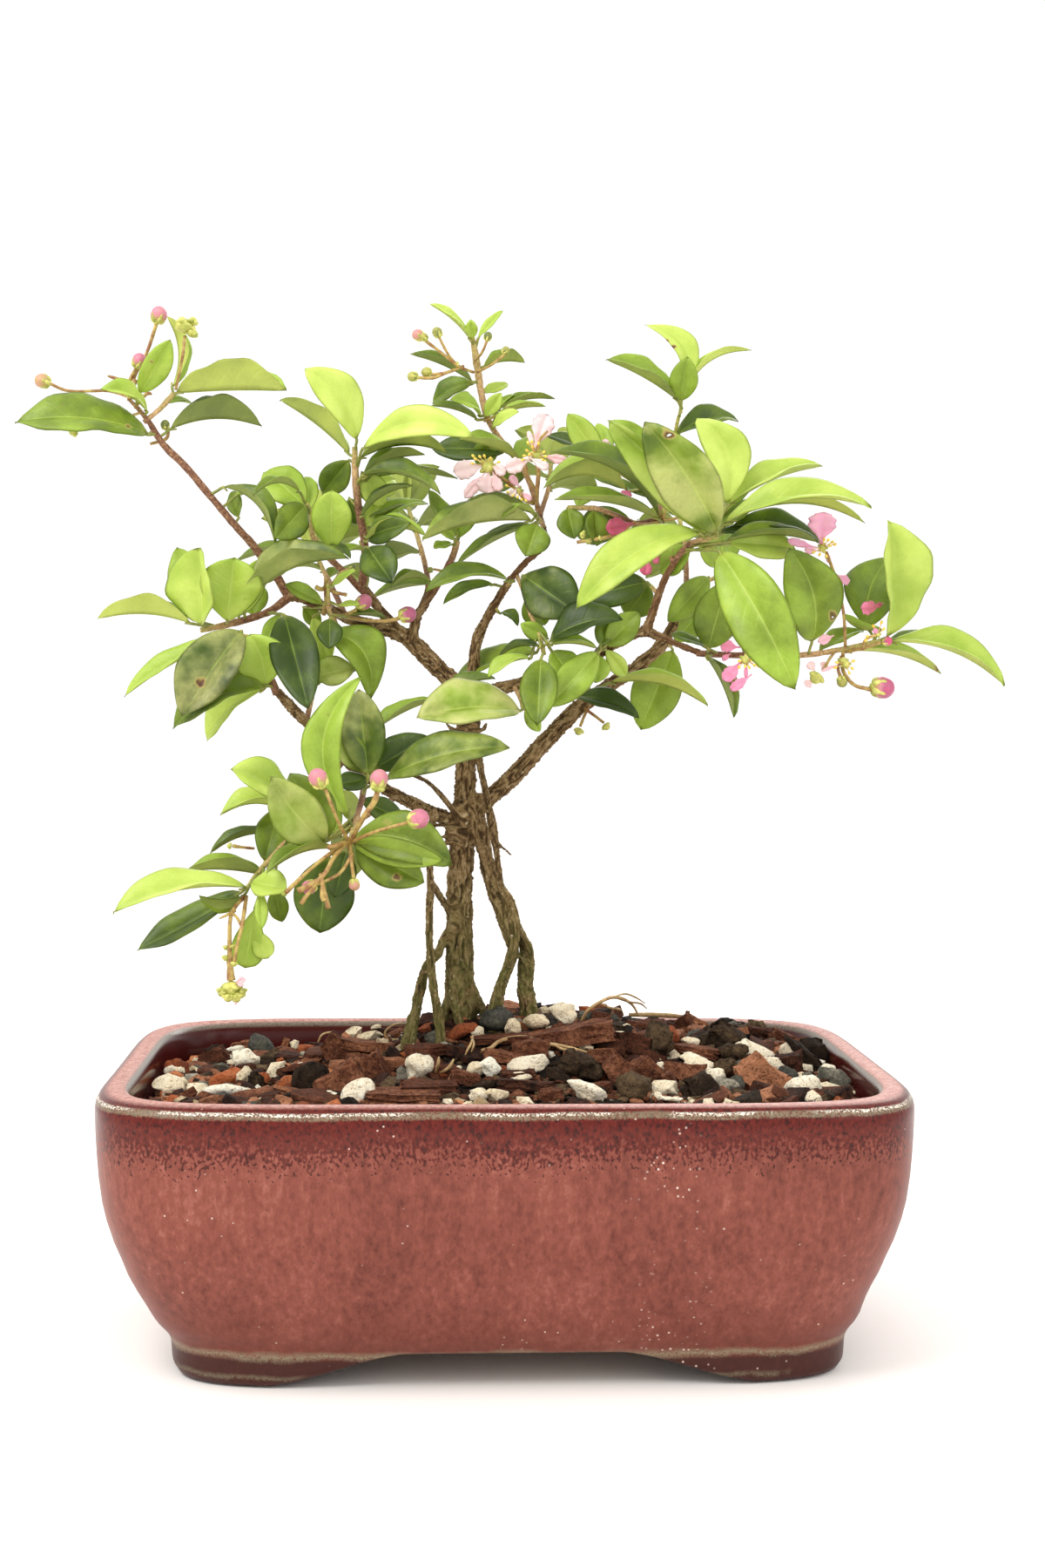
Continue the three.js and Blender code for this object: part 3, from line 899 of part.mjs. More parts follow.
// Buds, blooms and seed stalks: stalks like the twigs, beads of [x, z, depth, radius], petals like the leaves
const sprays = {
  buds_left_tip: {
    tone: budSkin,
    stalks: [
      [[-98.7, 245.2, -2.4, 0.45], [-97.2, 251, 0, 0.45], [-94.5, 256, 1, 0.4], [-91.3, 265.4, 1, 0.4]],
      [[-98.7, 245.2, -2.4, 0.45], [-98, 252, -0.5, 0.4], [-96.5, 254.5, -1, 0.4]],
      [[-98.7, 245.2, -2.4, 0.45], [-104, 246.8, 3, 0.4], [-115, 247, 2, 0.4], [-120, 249, 1, 0.4]],
    ],
    beads: [[-98.8, 245.5, -2.3, 0.6], [-91, 266, 1, 2.6], [-96, 255.8, -1, 2.2], [-121.8, 249.7, 1, 2.3]],
  },
  buds_left_spent: {
    tone: seedGreen,
    stalks: [[[-86.4, 248.2, -4.4, 0.4], [-84.8, 256, -5, 0.4], [-84.2, 261.5, -4, 0.4]]],
    beads: [[-84, 263.3, -4, 2.6]],
  },
  buds_top: {
    tone: budSkin,
    stalks: [
      [[-8.6, 253.6, 3.6, 0.4], [-13, 255.3, -3, 0.4], [-18, 258.5, -4, 0.4], [-21, 261, -4, 0.4]],
      [[-12.6, 255, -2.4, 0.5], [-15.5, 258.5, -5, 0.4], [-17.8, 262.6, -6, 0.4]],
      [[-11.5, 254.8, -1.5, 0.4], [-16, 252.3, -5, 0.4], [-20, 252.2, -5, 0.4]],
      [[-16, 252.3, -5, 0.4], [-20, 250.8, -6, 0.4], [-23.5, 250.8, -6, 0.4]],
    ],
    beads: [[-12.8, 255.2, -2.8, 0.8], [-22.3, 262.2, -4, 2], [-18, 263.2, -6, 1.7], [-20.8, 252.5, -5, 1.6], [-24.6, 251, -6, 1.8]],
  },
  buds_centre_left: {
    tone: budSkin,
    stalks: [
      [[-44.5, 188.3, 2.4, 0.45], [-38, 187, -1.5, 0.4], [-31, 187.6, -3, 0.4], [-27, 188.4, -3, 0.4]],
      [[-42.4, 187.9, 1.1, 0.4], [-40, 189.8, -2.5, 0.4], [-38, 191.5, -3, 0.4]],
    ],
    beads: [[-25.5, 188.8, -3, 2.3], [-37, 192.2, -3, 2.3]],
  },
  buds_low_front: {
    tone: budSkin,
    stalks: [
      [[-40.4, 128, -41, 0.45], [-42.5, 131.5, -47, 0.4], [-46.5, 139, -50, 0.4], [-48, 143.5, -50, 0.4]],
      [[-40.4, 128, -41, 0.45], [-37, 134, -45, 0.4], [-34, 139.5, -45, 0.4], [-33.2, 143.5, -45, 0.4]],
      [[-40.4, 128, -41, 0.45], [-33, 131.5, -49, 0.4], [-24.5, 133.5, -52, 0.4]],
      [[-40.4, 128, -41, 0.45], [-40.3, 124, -47, 0.4], [-39.1, 117, -48, 0.4]],
      [[-40.4, 128, -41, 0.45], [-43, 121, -49, 0.4], [-50, 117, -50, 0.4]],
      [[-40.4, 128, -41, 0.45], [-45.5, 125, -48, 0.4], [-52, 118.5, -53, 0.4], [-58, 114, -53, 0.5]],
    ],
    beads: [
      [-48.5, 145.5, -50, 2.5], [-33, 145.5, -45, 2.5], [-22.5, 134.5, -52, 2.6], [-39, 116.5, -48, 1.6],
      [-51.5, 116.5, -50, 1.8], [-40.4, 128, -41.2, 0.8],
    ],
  },
  stalks_low_left: {
    tone: seedGreen,
    stalks: [
      [[-69, 113, -43.6, 0.5], [-72, 109.5, -48, 0.45], [-72.6, 100, -49, 0.4], [-72.6, 91, -49, 0.4]],
      [[-69, 113, -43.6, 0.5], [-69, 106, -50, 0.4], [-70.5, 101, -51, 0.4], [-71, 96, -51, 0.4]],
    ],
    beads: [[-72, 88.6, -49, 3]],
  },
  buds_right_hanging: {
    tone: budSkin,
    stalks: [
      [[91.5, 179.3, -12.5, 0.45], [92.6, 174, -16, 0.4], [96, 170.6, -17, 0.4], [101, 169.6, -17, 0.4]],
      [[91.5, 179.3, -12.5, 0.45], [88.5, 176.5, -17, 0.4], [85.3, 174.2, -17, 0.4]],
    ],
    beads: [[103, 170.2, -17, 3], [84.4, 173.5, -17, 2.2]],
  },
  bloom_right_fan: {
    tone: petal,
    stalks: [[[92, 181.9, -12.2, 0.45], [91.5, 190, -15, 0.4], [90, 199, -17, 0.4], [87.3, 207.6, -19, 0.4]]],
    beads: [[87, 208.5, -19.3, 1.5]],
    petals: [
      [87, 209.3, -19.5, 85.5, 216.3, -21, 6.6, 10, 15, 0, 0],
      [86, 208.6, -19.7, 78, 209.2, -21.8, 5.6, -16, 15, 0, 0],
      [86.7, 207.6, -19.9, 83.4, 202.3, -21.9, 5.2, 4, 15, 0, 0],
      [87.9, 208.1, -19.5, 92, 205.3, -19.6, 5, 24, 15, 0, 0],
    ],
  },
  bloom_right_low: {
    tone: petal,
    stalks: [[[64.6, 180.2, -14, 0.45], [65.2, 185.5, -17, 0.4], [65.4, 183, -20, 0.4], [65.8, 178.5, -20.4, 0.4]]],
    beads: [[66, 177.3, -20.6, 1.5]],
    petals: [
      [65.3, 177.8, -21, 59.5, 181.3, -23, 5.6, 0, 15, 0, 0],
      [65.3, 176.8, -21, 59.8, 173, -23, 5, 0, 15, 0, 0],
      [66, 176.4, -21, 64.6, 169, -23, 6, 0, 15, 0, 0],
      [66.4, 178, -21.4, 67.3, 184.5, -24, 5.4, 0, 15, 0, 0],
      [66.8, 177, -21, 71.5, 177.5, -24, 4.8, 0, 15, 0, 0],
    ],
  },
  bloom_top_left: {
    tone: petal,
    stalks: [[[7.4, 220.6, 4.6, 0.45], [2, 225, 1, 0.4], [-2, 227.2, 0, 0.4], [-5.4, 228.3, 0, 0.4]]],
    beads: [[-6, 228.4, -0.2, 1.5]],
    petals: [
      [-6.6, 228.6, -0.6, -12, 230.2, -3, 4.6, 0, 15, 0, 0],
      [-6.6, 227.9, -0.6, -11.8, 225, -3, 5, 0, 15, 0, 0],
      [-5.9, 227.6, -0.6, -4.4, 221.8, -2, 5, 0, 15, 0, 0],
      [-5.4, 228.8, -1, -1.4, 230.6, -4, 4, 0, 15, 0, 0],
    ],
  },
  bloom_top_right: {
    tone: petal,
    stalks: [[[8.8, 222, 5.2, 0.45], [9, 226, 1, 0.4], [7.4, 230.4, -1, 0.4]]],
    beads: [[6.8, 231.5, -1.4, 1.6]],
    petals: [
      [6, 231.2, -2, 1, 228.6, -4, 5, 0, 15, 0, 0],
      [7.4, 230.8, -2, 11.6, 227.8, -3, 5, 0, 15, 0, 0],
      [7.8, 231.6, -2, 17, 231.4, -2, 5.6, 0, 15, 0, 0],
      [7, 232.4, -2, 8.2, 239, -1, 5, 0, 15, 0, 0],
      [7.6, 232.2, -2, 12, 238.6, -2, 4, 0, 15, 0, 0],
    ],
  },
  bloom_crown: {
    tone: petal,
    stalks: [[[41.3, 213.9, -7, 0.45], [38, 213.2, -7.4, 0.4], [34.5, 212.3, -7, 0.4], [31.2, 211.3, -6, 0.4]]],
    beads: [[31.4, 211.2, -6, 1.3]],
    petals: [
      [31, 211, -6.4, 26, 212.6, -10, 4.6, 0, 15, 0, 0],
      [31.6, 211.8, -6.4, 32.4, 217, -9, 4.6, 0, 15, 0, 0],
      [32, 210.8, -6.4, 35.5, 207, -9, 4, 0, 15, 0, 0],
    ],
  },
  buds_low_right: {
    tone: seedGreen,
    stalks: [
      [[22.6, 163.8, 8.2, 0.45], [21.6, 161.5, 6.5, 0.4], [20.8, 159.4, 6, 0.4]],
      [[22.6, 163.8, 8.2, 0.45], [25, 162, 6.5, 0.4], [27.2, 160.4, 6, 0.4]],
    ],
    beads: [[20.5, 158.4, 6, 1.4], [27.6, 159.6, 6, 1.3]],
  },
};

function plantSolid({ twigs, stalks = [], beads = [], leaves, petals = [] }) {
  const runs = [...(twigs ?? []), ...stalks];
  const curves = runs.map((points) => route(points));
  const solids = runs.map((points) => toSolid(limb(points, 4)));
  const roots = [];
  for (const entry of [...(leaves ?? []), ...petals]) {
    const base = seen(entry[0], entry[1], entry[2]);
    solids.push(leafSolid(entry, rootOn(curves, base, roots)));
  }
  for (const [x, z, y, radius] of beads) {
    const centre = seen(x, z, y);
    const bead = new THREE.IcosahedronGeometry(radius, 0);
    bead.translate(centre.x, centre.y, centre.z);
    solids.push(toSolid(bead));
  }
  return joined(solids).subtract(woodClear);
}
for (const [name, plant] of Object.entries({ ...shoots, ...sprays })) addPart(name, plantSolid(plant), plant.tone);

// Stand the whole on its feet with the plan's middle at the origin
const bounds = new THREE.Box3().setFromObject(parts);
const middle = bounds.getCenter(new THREE.Vector3());
parts.position.set(-middle.x, -middle.y, -bounds.min.z);

export default parts;
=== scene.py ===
import json
import math
import random

import bmesh
import bpy
from mathutils import Matrix, Vector, noise
from mathutils.kdtree import KDTree

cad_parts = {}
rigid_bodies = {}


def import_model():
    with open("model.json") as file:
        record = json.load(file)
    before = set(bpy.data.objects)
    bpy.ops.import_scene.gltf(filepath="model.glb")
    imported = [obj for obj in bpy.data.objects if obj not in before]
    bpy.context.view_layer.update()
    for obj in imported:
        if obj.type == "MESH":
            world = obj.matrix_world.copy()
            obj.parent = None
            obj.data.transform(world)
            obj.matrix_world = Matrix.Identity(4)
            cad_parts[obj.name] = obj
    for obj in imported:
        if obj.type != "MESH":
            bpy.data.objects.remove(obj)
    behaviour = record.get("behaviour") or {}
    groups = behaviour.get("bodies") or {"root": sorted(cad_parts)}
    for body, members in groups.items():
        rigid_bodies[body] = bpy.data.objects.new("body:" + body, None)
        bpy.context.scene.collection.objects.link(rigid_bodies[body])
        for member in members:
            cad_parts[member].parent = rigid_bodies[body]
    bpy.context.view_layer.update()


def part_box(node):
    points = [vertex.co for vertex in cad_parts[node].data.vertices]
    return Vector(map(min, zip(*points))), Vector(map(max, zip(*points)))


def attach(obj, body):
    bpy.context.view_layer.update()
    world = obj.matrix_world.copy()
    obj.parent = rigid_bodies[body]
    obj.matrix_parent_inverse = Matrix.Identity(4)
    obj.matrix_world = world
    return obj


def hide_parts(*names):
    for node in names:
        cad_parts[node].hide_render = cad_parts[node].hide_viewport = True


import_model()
mm = 0.001
perMetre = 1000
noise.seed_set(31)  # the same roughness of bark and chips at each run
print("frame loaded")


def hold(value):
    return min(max(value, 0), 1)


# The pot's own frame: millimetres from the middle of its underside, x right, y away from the front, z up
potLow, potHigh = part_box("pot")
potMiddle = Vector(((potLow[0] + potHigh[0]) / 2, (potLow[1] + potHigh[1]) / 2, potLow[2]))


def inRow(point):
    return potMiddle + Vector(point) * mm


# A point read on the upright plane y = 0 and pushed along the photograph's sight line to depth y
readingEye = Vector((-23, -565, 163))


def seen(x, z, y):
    onPlane = Vector((x, 0, z))
    return readingEye + (onPlane - readingEye) * (1 - y / readingEye.y)


# Shader values as Python expressions
class Signal:
    def __init__(self, tree, socket):
        self.tree = tree
        self.socket = socket

    def combine(self, operation, first, second=None, clamp=False):
        step = self.tree.nodes.new("ShaderNodeMath")
        step.operation = operation
        step.use_clamp = clamp
        for entry, value in zip(step.inputs, (first, second)):
            if isinstance(value, Signal):
                self.tree.links.new(value.socket, entry)
            elif value is not None:
                entry.default_value = value
        return Signal(self.tree, step.outputs[0])

    def __add__(self, other):
        return self.combine("ADD", self, other)

    def __sub__(self, other):
        return self.combine("SUBTRACT", self, other)

    def __rsub__(self, other):
        return self.combine("SUBTRACT", other, self)

    def __mul__(self, other):
        return self.combine("MULTIPLY", self, other)

    def __truediv__(self, other):
        return self.combine("DIVIDE", self, other)

    __radd__ = __add__
    __rmul__ = __mul__

    def size(self):
        return self.combine("ABSOLUTE", self)

    def least(self, other):
        return self.combine("MINIMUM", self, other)

    def most(self, other):
        return self.combine("MAXIMUM", self, other)

    def fromTo(self, low, high):  # 0 at low, 1 at high, held at both ends
        return self.combine("MULTIPLY", self - low, 1 / (high - low), clamp=True)


class Finish:
    def __init__(self, name):
        self.material = bpy.data.materials.new(name)
        self.material.use_nodes = True
        self.tree = self.material.node_tree
        self.tree.nodes.clear()

    def node(self, kind, settings=None, sockets=None, output=0):
        made = self.tree.nodes.new("ShaderNode" + kind)
        for name, value in (settings or {}).items():
            if name == "stops":
                ramp = made.color_ramp
                while len(ramp.elements) < len(value):
                    ramp.elements.new(1)
                for element, (place, color) in zip(ramp.elements, value):
                    element.position = place
                    element.color = (*color, 1)
            else:
                setattr(made, name, value)
        for name, value in (sockets or {}).items():
            entry = next(s for s in made.inputs if s.name == name and s.enabled)
            if isinstance(value, Signal):
                self.tree.links.new(value.socket, entry)
            elif entry.type == "RGBA" and len(value) == 3:
                entry.default_value = (*value, 1)
            else:
                entry.default_value = value
        return Signal(self.tree, [s for s in made.outputs if s.enabled][output])

    def mix(self, share, first, second):
        return self.node("Mix", {"data_type": "RGBA"}, {"Factor": share, "A": first, "B": second})

    def place(self, scale=(1, 1, 1)):
        spot = self.node("TexCoord", output=3)
        return self.node("Mapping", {}, {"Vector": spot, "Scale": scale})

    def grain(self, where, scale, detail=3.0, roughness=0.55):
        sockets = {"Vector": where, "Scale": scale, "Detail": detail, "Roughness": roughness}
        return self.node("TexNoise", {}, sockets)

    def along(self, value, stops):
        return self.node("ValToRGB", {"stops": stops}, {"Fac": value})

    def bump(self, height, strength, depth):
        return self.node("Bump", {}, {"Height": height, "Strength": strength, "Distance": depth})

    def axis(self, vector, index):
        return self.node("SeparateXYZ", {}, {"Vector": vector}, index)

    def look(self, index):  # one of the numbers kept on each point of a piece
        kept = self.node("Attribute", {"attribute_name": "look"})
        return self.node("SeparateColor", {}, {"Color": kept}, index)

    def skin(self, color, rough, bump, shine=0.5, metal=0.0):
        return self.node("BsdfPrincipled", {}, {
            "Base Color": color, "Roughness": rough, "Normal": bump, "Specular IOR Level": shine,
            "Metallic": metal})

    def letThrough(self, share, skin, through):
        blend = self.tree.nodes.new("ShaderNodeMixShader")
        if isinstance(share, Signal):
            self.tree.links.new(share.socket, blend.inputs[0])
        else:
            blend.inputs[0].default_value = share
        self.tree.links.new(skin.socket, blend.inputs[1])
        self.tree.links.new(through.socket, blend.inputs[2])
        return Signal(self.tree, blend.outputs[0])

    def close(self, surface):
        end = self.tree.nodes.new("ShaderNodeOutputMaterial")
        self.tree.links.new(surface.socket, end.inputs["Surface"])
        return self.material


# Numbers on the unit rounded rectangle, evenly spaced round it
def ringShape(power, halfX, halfY, count):
    fine, samples = [], 2000
    for i in range(samples):
        angle = i / samples * math.tau
        c, s = math.cos(angle), math.sin(angle)
        fine.append((math.copysign(abs(c) ** (2 / power), c), math.copysign(abs(s) ** (2 / power), s)))
    lengths = [0]
    for (ax, ay), (bx, by) in zip(fine, fine[1:] + fine[:1]):
        lengths.append(lengths[-1] + math.hypot((bx - ax) * halfX, (by - ay) * halfY))
    ring, k = [], 0
    for i in range(count):
        goal = lengths[-1] * i / count
        while lengths[k + 1] < goal:
            k += 1
        share = (goal - lengths[k]) / (lengths[k + 1] - lengths[k])
        ring.append(Vector(fine[k]).lerp(Vector(fine[(k + 1) % samples]), share))
    return ring


# A smooth way through points, at share t of its spans, the spans eased by the root of their length
def smoothWay(points):
    knots = [0]
    for a, b in zip(points, points[1:]):
        knots.append(knots[-1] + max((Vector(b) - Vector(a)).length, 1e-6) ** 0.5)
    spots = [Vector(p) for p in points]
    spots = [spots[0] * 2 - spots[1], *spots, spots[-1] * 2 - spots[-2]]
    times = [2 * knots[0] - knots[1], *knots, 2 * knots[-1] - knots[-2]]

    def at(share):
        reach = hold(share) * (len(points) - 1)
        span = min(int(reach), len(points) - 2)
        p, t = spots[span:span + 4], times[span:span + 4]
        now = t[1] + (t[2] - t[1]) * (reach - span)

        def blend(a, b, start, end):
            return a.lerp(b, (now - start) / (end - start))

        a1, a2, a3 = (blend(p[i], p[i + 1], t[i], t[i + 1]) for i in range(3))
        return blend(blend(a1, a2, t[0], t[2]), blend(a2, a3, t[1], t[3]), t[1], t[2])

    return at


# A grid laid out by a function of its two shares, which also become the uv map
def addSheet(bm, along, across, spotAt, finish=0):
    made = bmesh.ops.create_grid(bm, x_segments=along, y_segments=across, size=0.5)["verts"]
    shares = {v: (hold(v.co.x + 0.5), hold(v.co.y + 0.5)) for v in made}
    faces = list({f for v in made for f in v.link_faces})
    uv = bm.loops.layers.uv.verify()
    for face in faces:
        face.smooth = True
        face.material_index = finish
        for loop in face.loops:
            loop[uv].uv = shares[loop.vert]
    for v, (t, s) in shares.items():
        v.co = spotAt(t, s)
    return made, faces


# A tube along points with a radius at each, closed at both ends
def addTube(bm, points, radii, sides, steps, finish=0, rough=None):
    way = smoothWay(points)
    centres = [way(i / steps) for i in range(steps + 1)]
    headings = [(b - a).normalized() for a, b in zip([centres[0], *centres], [*centres[1:], centres[-1]])]
    headings[0] = (centres[1] - centres[0]).normalized()
    side = headings[0].orthogonal().normalized()
    frames = []
    for heading in headings:
        side = (side - heading * side.dot(heading)).normalized()
        frames.append((side, heading.cross(side)))

    def spotAt(t, s):
        step = min(round(t * steps), steps)
        reach = t * (len(radii) - 1)
        span = min(int(reach), len(radii) - 2)
        radius = radii[span] + (radii[span + 1] - radii[span]) * (reach - span)
        turn = s * math.tau
        if rough:
            radius *= rough(centres[step], turn)
        return centres[step] + (frames[step][0] * math.cos(turn) + frames[step][1] * math.sin(turn)) * radius

    made, faces = addSheet(bm, steps, sides, spotAt, finish)
    bmesh.ops.remove_doubles(bm, verts=made, dist=1e-5)
    rims = list({e for f in faces if f.is_valid for e in f.edges if e.is_boundary})
    for cap in bmesh.ops.holes_fill(bm, edges=rims, sides=0)["faces"]:
        cap.material_index = finish
        cap.smooth = True
    return [v for v in made if v.is_valid]


def addBead(bm, centre, radius, finish=0, detail=2, squash=(1, 1, 1), turn=Matrix()):
    place = Matrix.Translation(centre) @ turn @ Matrix.Diagonal((*(radius * s for s in squash), 1))
    made = bmesh.ops.create_icosphere(bm, subdivisions=detail, radius=1, matrix=place)["verts"]
    for face in {f for v in made for f in v.link_faces}:
        face.material_index = finish
        face.smooth = True
    return made


# A small mesh added to a larger one, which keeps the work on each small
def gather(whole, part):
    mesh = bpy.data.meshes.new("part")
    part.to_mesh(mesh)
    part.free()
    whole.from_mesh(mesh)
    bpy.data.meshes.remove(mesh)


def startPiece():
    bm = bmesh.new()
    bm.verts.layers.float_color.new("look")
    bm.loops.layers.uv.verify()
    return bm


# An object in the row's frame from a mesh laid out in millimetres
def makeObject(bm, name):
    bmesh.ops.scale(bm, verts=bm.verts, vec=(mm, mm, mm))
    bmesh.ops.translate(bm, verts=bm.verts, vec=potMiddle)
    mesh = bpy.data.meshes.new(name)
    bm.to_mesh(mesh)
    bm.free()
    made = bpy.data.objects.new(name, mesh)
    bpy.context.collection.objects.link(made)
    return made


# The finished mesh as a piece that stands for CAD nodes
def finishPiece(bm, name, finishes, nodes):
    bmesh.ops.recalc_face_normals(bm, faces=bm.faces)
    piece = makeObject(bm, name)
    for finish in finishes:
        piece.data.materials.append(finish)
    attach(piece, "root")
    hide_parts(*nodes)
    return piece


# Camera at the photograph's place
view = {
    "eye": (-22.99, -565.13, 163.18),
    "heading": 0.050306,
    "pitchDown": 0.03396,
    "roll": 0.006023,
    "lens": 48.68,
    "sensor": 36,
    "photo": (1200, 1800),
}
pixelFocal = view["lens"] / view["sensor"] * view["photo"][1]


# The level way across, the way up and the way ahead, before the camera's roll
def viewAxes():
    pitch, heading = view["pitchDown"], view["heading"]
    level = Vector((math.cos(heading), -math.sin(heading), 0))
    ahead = Vector((math.sin(heading), math.cos(heading), 0))
    forward = ahead * math.cos(pitch) - Vector((0, 0, math.sin(pitch)))
    upright = ahead * math.sin(pitch) + Vector((0, 0, math.cos(pitch)))
    return level, upright, forward


def addCamera():
    level, upright, forward = viewAxes()
    right = level * math.cos(view["roll"]) + upright * math.sin(view["roll"])
    top = upright * math.cos(view["roll"]) - level * math.sin(view["roll"])
    data = bpy.data.cameras.new("camera")
    data.lens = view["lens"]
    data.sensor_fit = "VERTICAL"
    data.sensor_height = view["sensor"]
    camera = bpy.data.objects.new("camera", data)
    turn = Matrix((right, top, -forward)).transposed().to_4x4()
    camera.matrix_world = Matrix.Translation(inRow(view["eye"])) @ turn
    bpy.context.collection.objects.link(camera)
    bpy.context.scene.camera = camera


addCamera()
print("camera placed")


# Finishes; the glaze changes at these heights, and a painted highlight runs along the rim, in millimetres
# from the table
glaze = {
    "band": (61, 66),
    "dots": (51, 64),
    "dotsStart": (50, 52),
    "freckles": (56, 62),
    "darkBelow": (11, 24),
    "foot": (6.6, 8.2),
    "footLine": 8.1,
    "lowLine": 2.6,
    "paleStart": (68.0, 68.5),
    "paleEnd": (69.5, 69.9),
    # the painted highlight: white glints dotted along the rim's front edge, between these heights
    "paintedGlintStart": (69.0, 69.3),
    "paintedGlintEnd": (69.7, 69.9),
    "chalk": (34, 45),  # middle of the chalky specks on the front, across and up
}


def glazeFinish(edgeShare, insideShare):
    f = Finish("oxblood_glaze")
    spot = f.place()
    height = f.axis(spot, 2) * perMetre
    profile = f.axis(f.node("UVMap"), 0)
    outside = 1 - profile.fromTo(edgeShare - 0.004, edgeShare + 0.004)
    inside = profile.fromTo(insideShare, insideShare + 0.012)
    mottle = f.grain(f.place((1, 1, 0.6)), 640, 4, 0.7)
    cloud = f.grain(f.place((1, 1, 0.7)), 45, 4, 0.6)
    fine = f.grain(spot, 1900, 3, 0.7)
    streak = f.grain(f.place((1, 1, 0.16)), 300, 3, 0.6)
    body = f.along(mottle * 0.5 + cloud * 0.28 + streak * 0.22, [
        (0.34, (0.100, 0.024, 0.017)), (0.45, (0.178, 0.044, 0.030)), (0.55, (0.235, 0.064, 0.044)),
        (0.68, (0.34, 0.118, 0.086))])
    speckle = f.grain(f.place((1, 1, 0.7)), 1300, 2, 0.5)
    ragged = height + (streak - 0.5) * 7 + (mottle - 0.5) * 7 + (cloud - 0.5) * 6
    dots = (ragged.fromTo(*glaze["dots"]) * 0.42 + 0.24 - speckle).fromTo(0.0, 0.05)
    dots = dots * ragged.fromTo(*glaze["dotsStart"])
    band = ragged.fromTo(*glaze["band"]).most(dots * 0.85)
    deep = f.along(speckle, [
        (0.34, (0.024, 0.003, 0.002)), (0.43, (0.076, 0.004, 0.003)), (0.7, (0.125, 0.012, 0.007))])
    color = f.mix(band * 0.92, body, deep)
    freckle = (1 - speckle.fromTo(0.33, 0.37)) * ragged.fromTo(*glaze["freckles"])
    color = f.mix(freckle * 0.75, color, (0.035, 0.005, 0.004))
    lower = (1 - (height + (cloud - 0.5) * 10).fromTo(*glaze["darkBelow"])) * 0.5
    color = f.mix(lower, color, (0.125, 0.028, 0.017))
    foot = 1 - height.fromTo(*glaze["foot"])
    color = f.mix(foot * (0.72 + mottle * 0.5).least(1), color, (0.052, 0.013, 0.009))
    edge = height + (cloud - 0.5) * 1.6 + (fine - 0.5) * 1.2
    pale = edge.fromTo(*glaze["paleStart"]) * (1 - edge.fromTo(*glaze["paleEnd"])) * outside
    drip = height + (f.grain(spot, 90, 3, 0.6) - 0.5) * 3.4 + (fine - 0.5) * 1.4
    below = 1 - profile.fromTo(edgeShare - 0.1, edgeShare)
    breakLine = 1 - ((drip - glaze["footLine"]).size() / (0.5 + cloud * 1.9)).least(1)
    breakLine = breakLine * cloud.fromTo(0.30, 0.42)
    lowLine = (1 - ((drip - glaze["lowLine"]).size() / 0.9).least(1)) * cloud.fromTo(0.47, 0.55)
    worn = (pale * 0.75).most(breakLine.most(lowLine * 0.6) * below) * fine.fromTo(0.30, 0.55)
    color = f.mix(worn * 0.85, color, (0.27, 0.235, 0.15))
    # painted highlight: pale glints dotted along the rim's outer edge, light off the glossy glaze
    paintedGlint = edge.fromTo(*glaze["paintedGlintStart"]) * (1 - edge.fromTo(*glaze["paintedGlintEnd"])) * outside
    color = f.mix(paintedGlint * fine.fromTo(0.48, 0.55) * cloud.fromTo(0.42, 0.5), color, (0.85, 0.78, 0.66))
    top = profile.fromTo(edgeShare - 0.012, edgeShare + 0.004) * (1 - inside)
    rimTop = f.along(fine * 0.5 + mottle * 0.5, [
        (0.36, (0.26, 0.085, 0.065)), (0.5, (0.50, 0.25, 0.21)), (0.64, (0.66, 0.42, 0.37))])
    color = f.mix(top * 0.9, color, rimTop)
    color = f.mix(inside, color, (0.060, 0.008, 0.007))
    innerLine = profile.fromTo(insideShare - 0.002, insideShare + 0.004)
    innerLine = innerLine * (1 - profile.fromTo(insideShare + 0.014, insideShare + 0.022))
    color = f.mix(innerLine * fine.fromTo(0.3, 0.5) * 0.7, color, (0.24, 0.22, 0.17))
    specks = f.node("TexVoronoi", {}, {"Vector": spot, "Scale": 330.0}, 0)
    across = f.axis(spot, 0) * perMetre
    front = 1 - (f.axis(spot, 1) * perMetre).fromTo(-40, -30)
    fromMiddle = (across - glaze["chalk"][0] + (height - glaze["chalk"][1]) * 0.12).size()
    cluster = (1 - fromMiddle.fromTo(2, 11)) * front * cloud.fromTo(0.40, 0.52)
    sparse = f.grain(spot, 60, 2, 0.5).fromTo(0.52, 0.62)
    chalk = (1 - specks.fromTo(0.05, 0.10)) * sparse * 0.7
    flecks = f.node("TexVoronoi", {}, {"Vector": spot, "Scale": 560.0}, 0)
    chalk = chalk.most((1 - flecks.fromTo(0.12, 0.2)) * cluster) * (1 - inside)
    color = f.mix(chalk, color, (0.76, 0.62, 0.52))
    pits = f.node("TexVoronoi", {}, {"Vector": f.place((1, 1, 0.8)), "Scale": 420.0}, 0)
    pitted = (1 - pits.fromTo(0.06, 0.12)) * f.grain(spot, 24, 2, 0.5).fromTo(0.56, 0.62).most(cluster)
    pitted = pitted * (1 - inside)
    color = f.mix(pitted * 0.8, color, (0.10, 0.035, 0.025))
    rough = (0.30 + mottle * 0.22 + top * 0.25 - inside * 0.25 - band * 0.14).most(0.10)
    bump = f.bump(mottle * 0.5 + fine * 0.35 + cloud * 0.4 - pitted * 0.8, 0.22, 0.0004)
    return f.close(f.skin(color, rough, bump, 0.22))


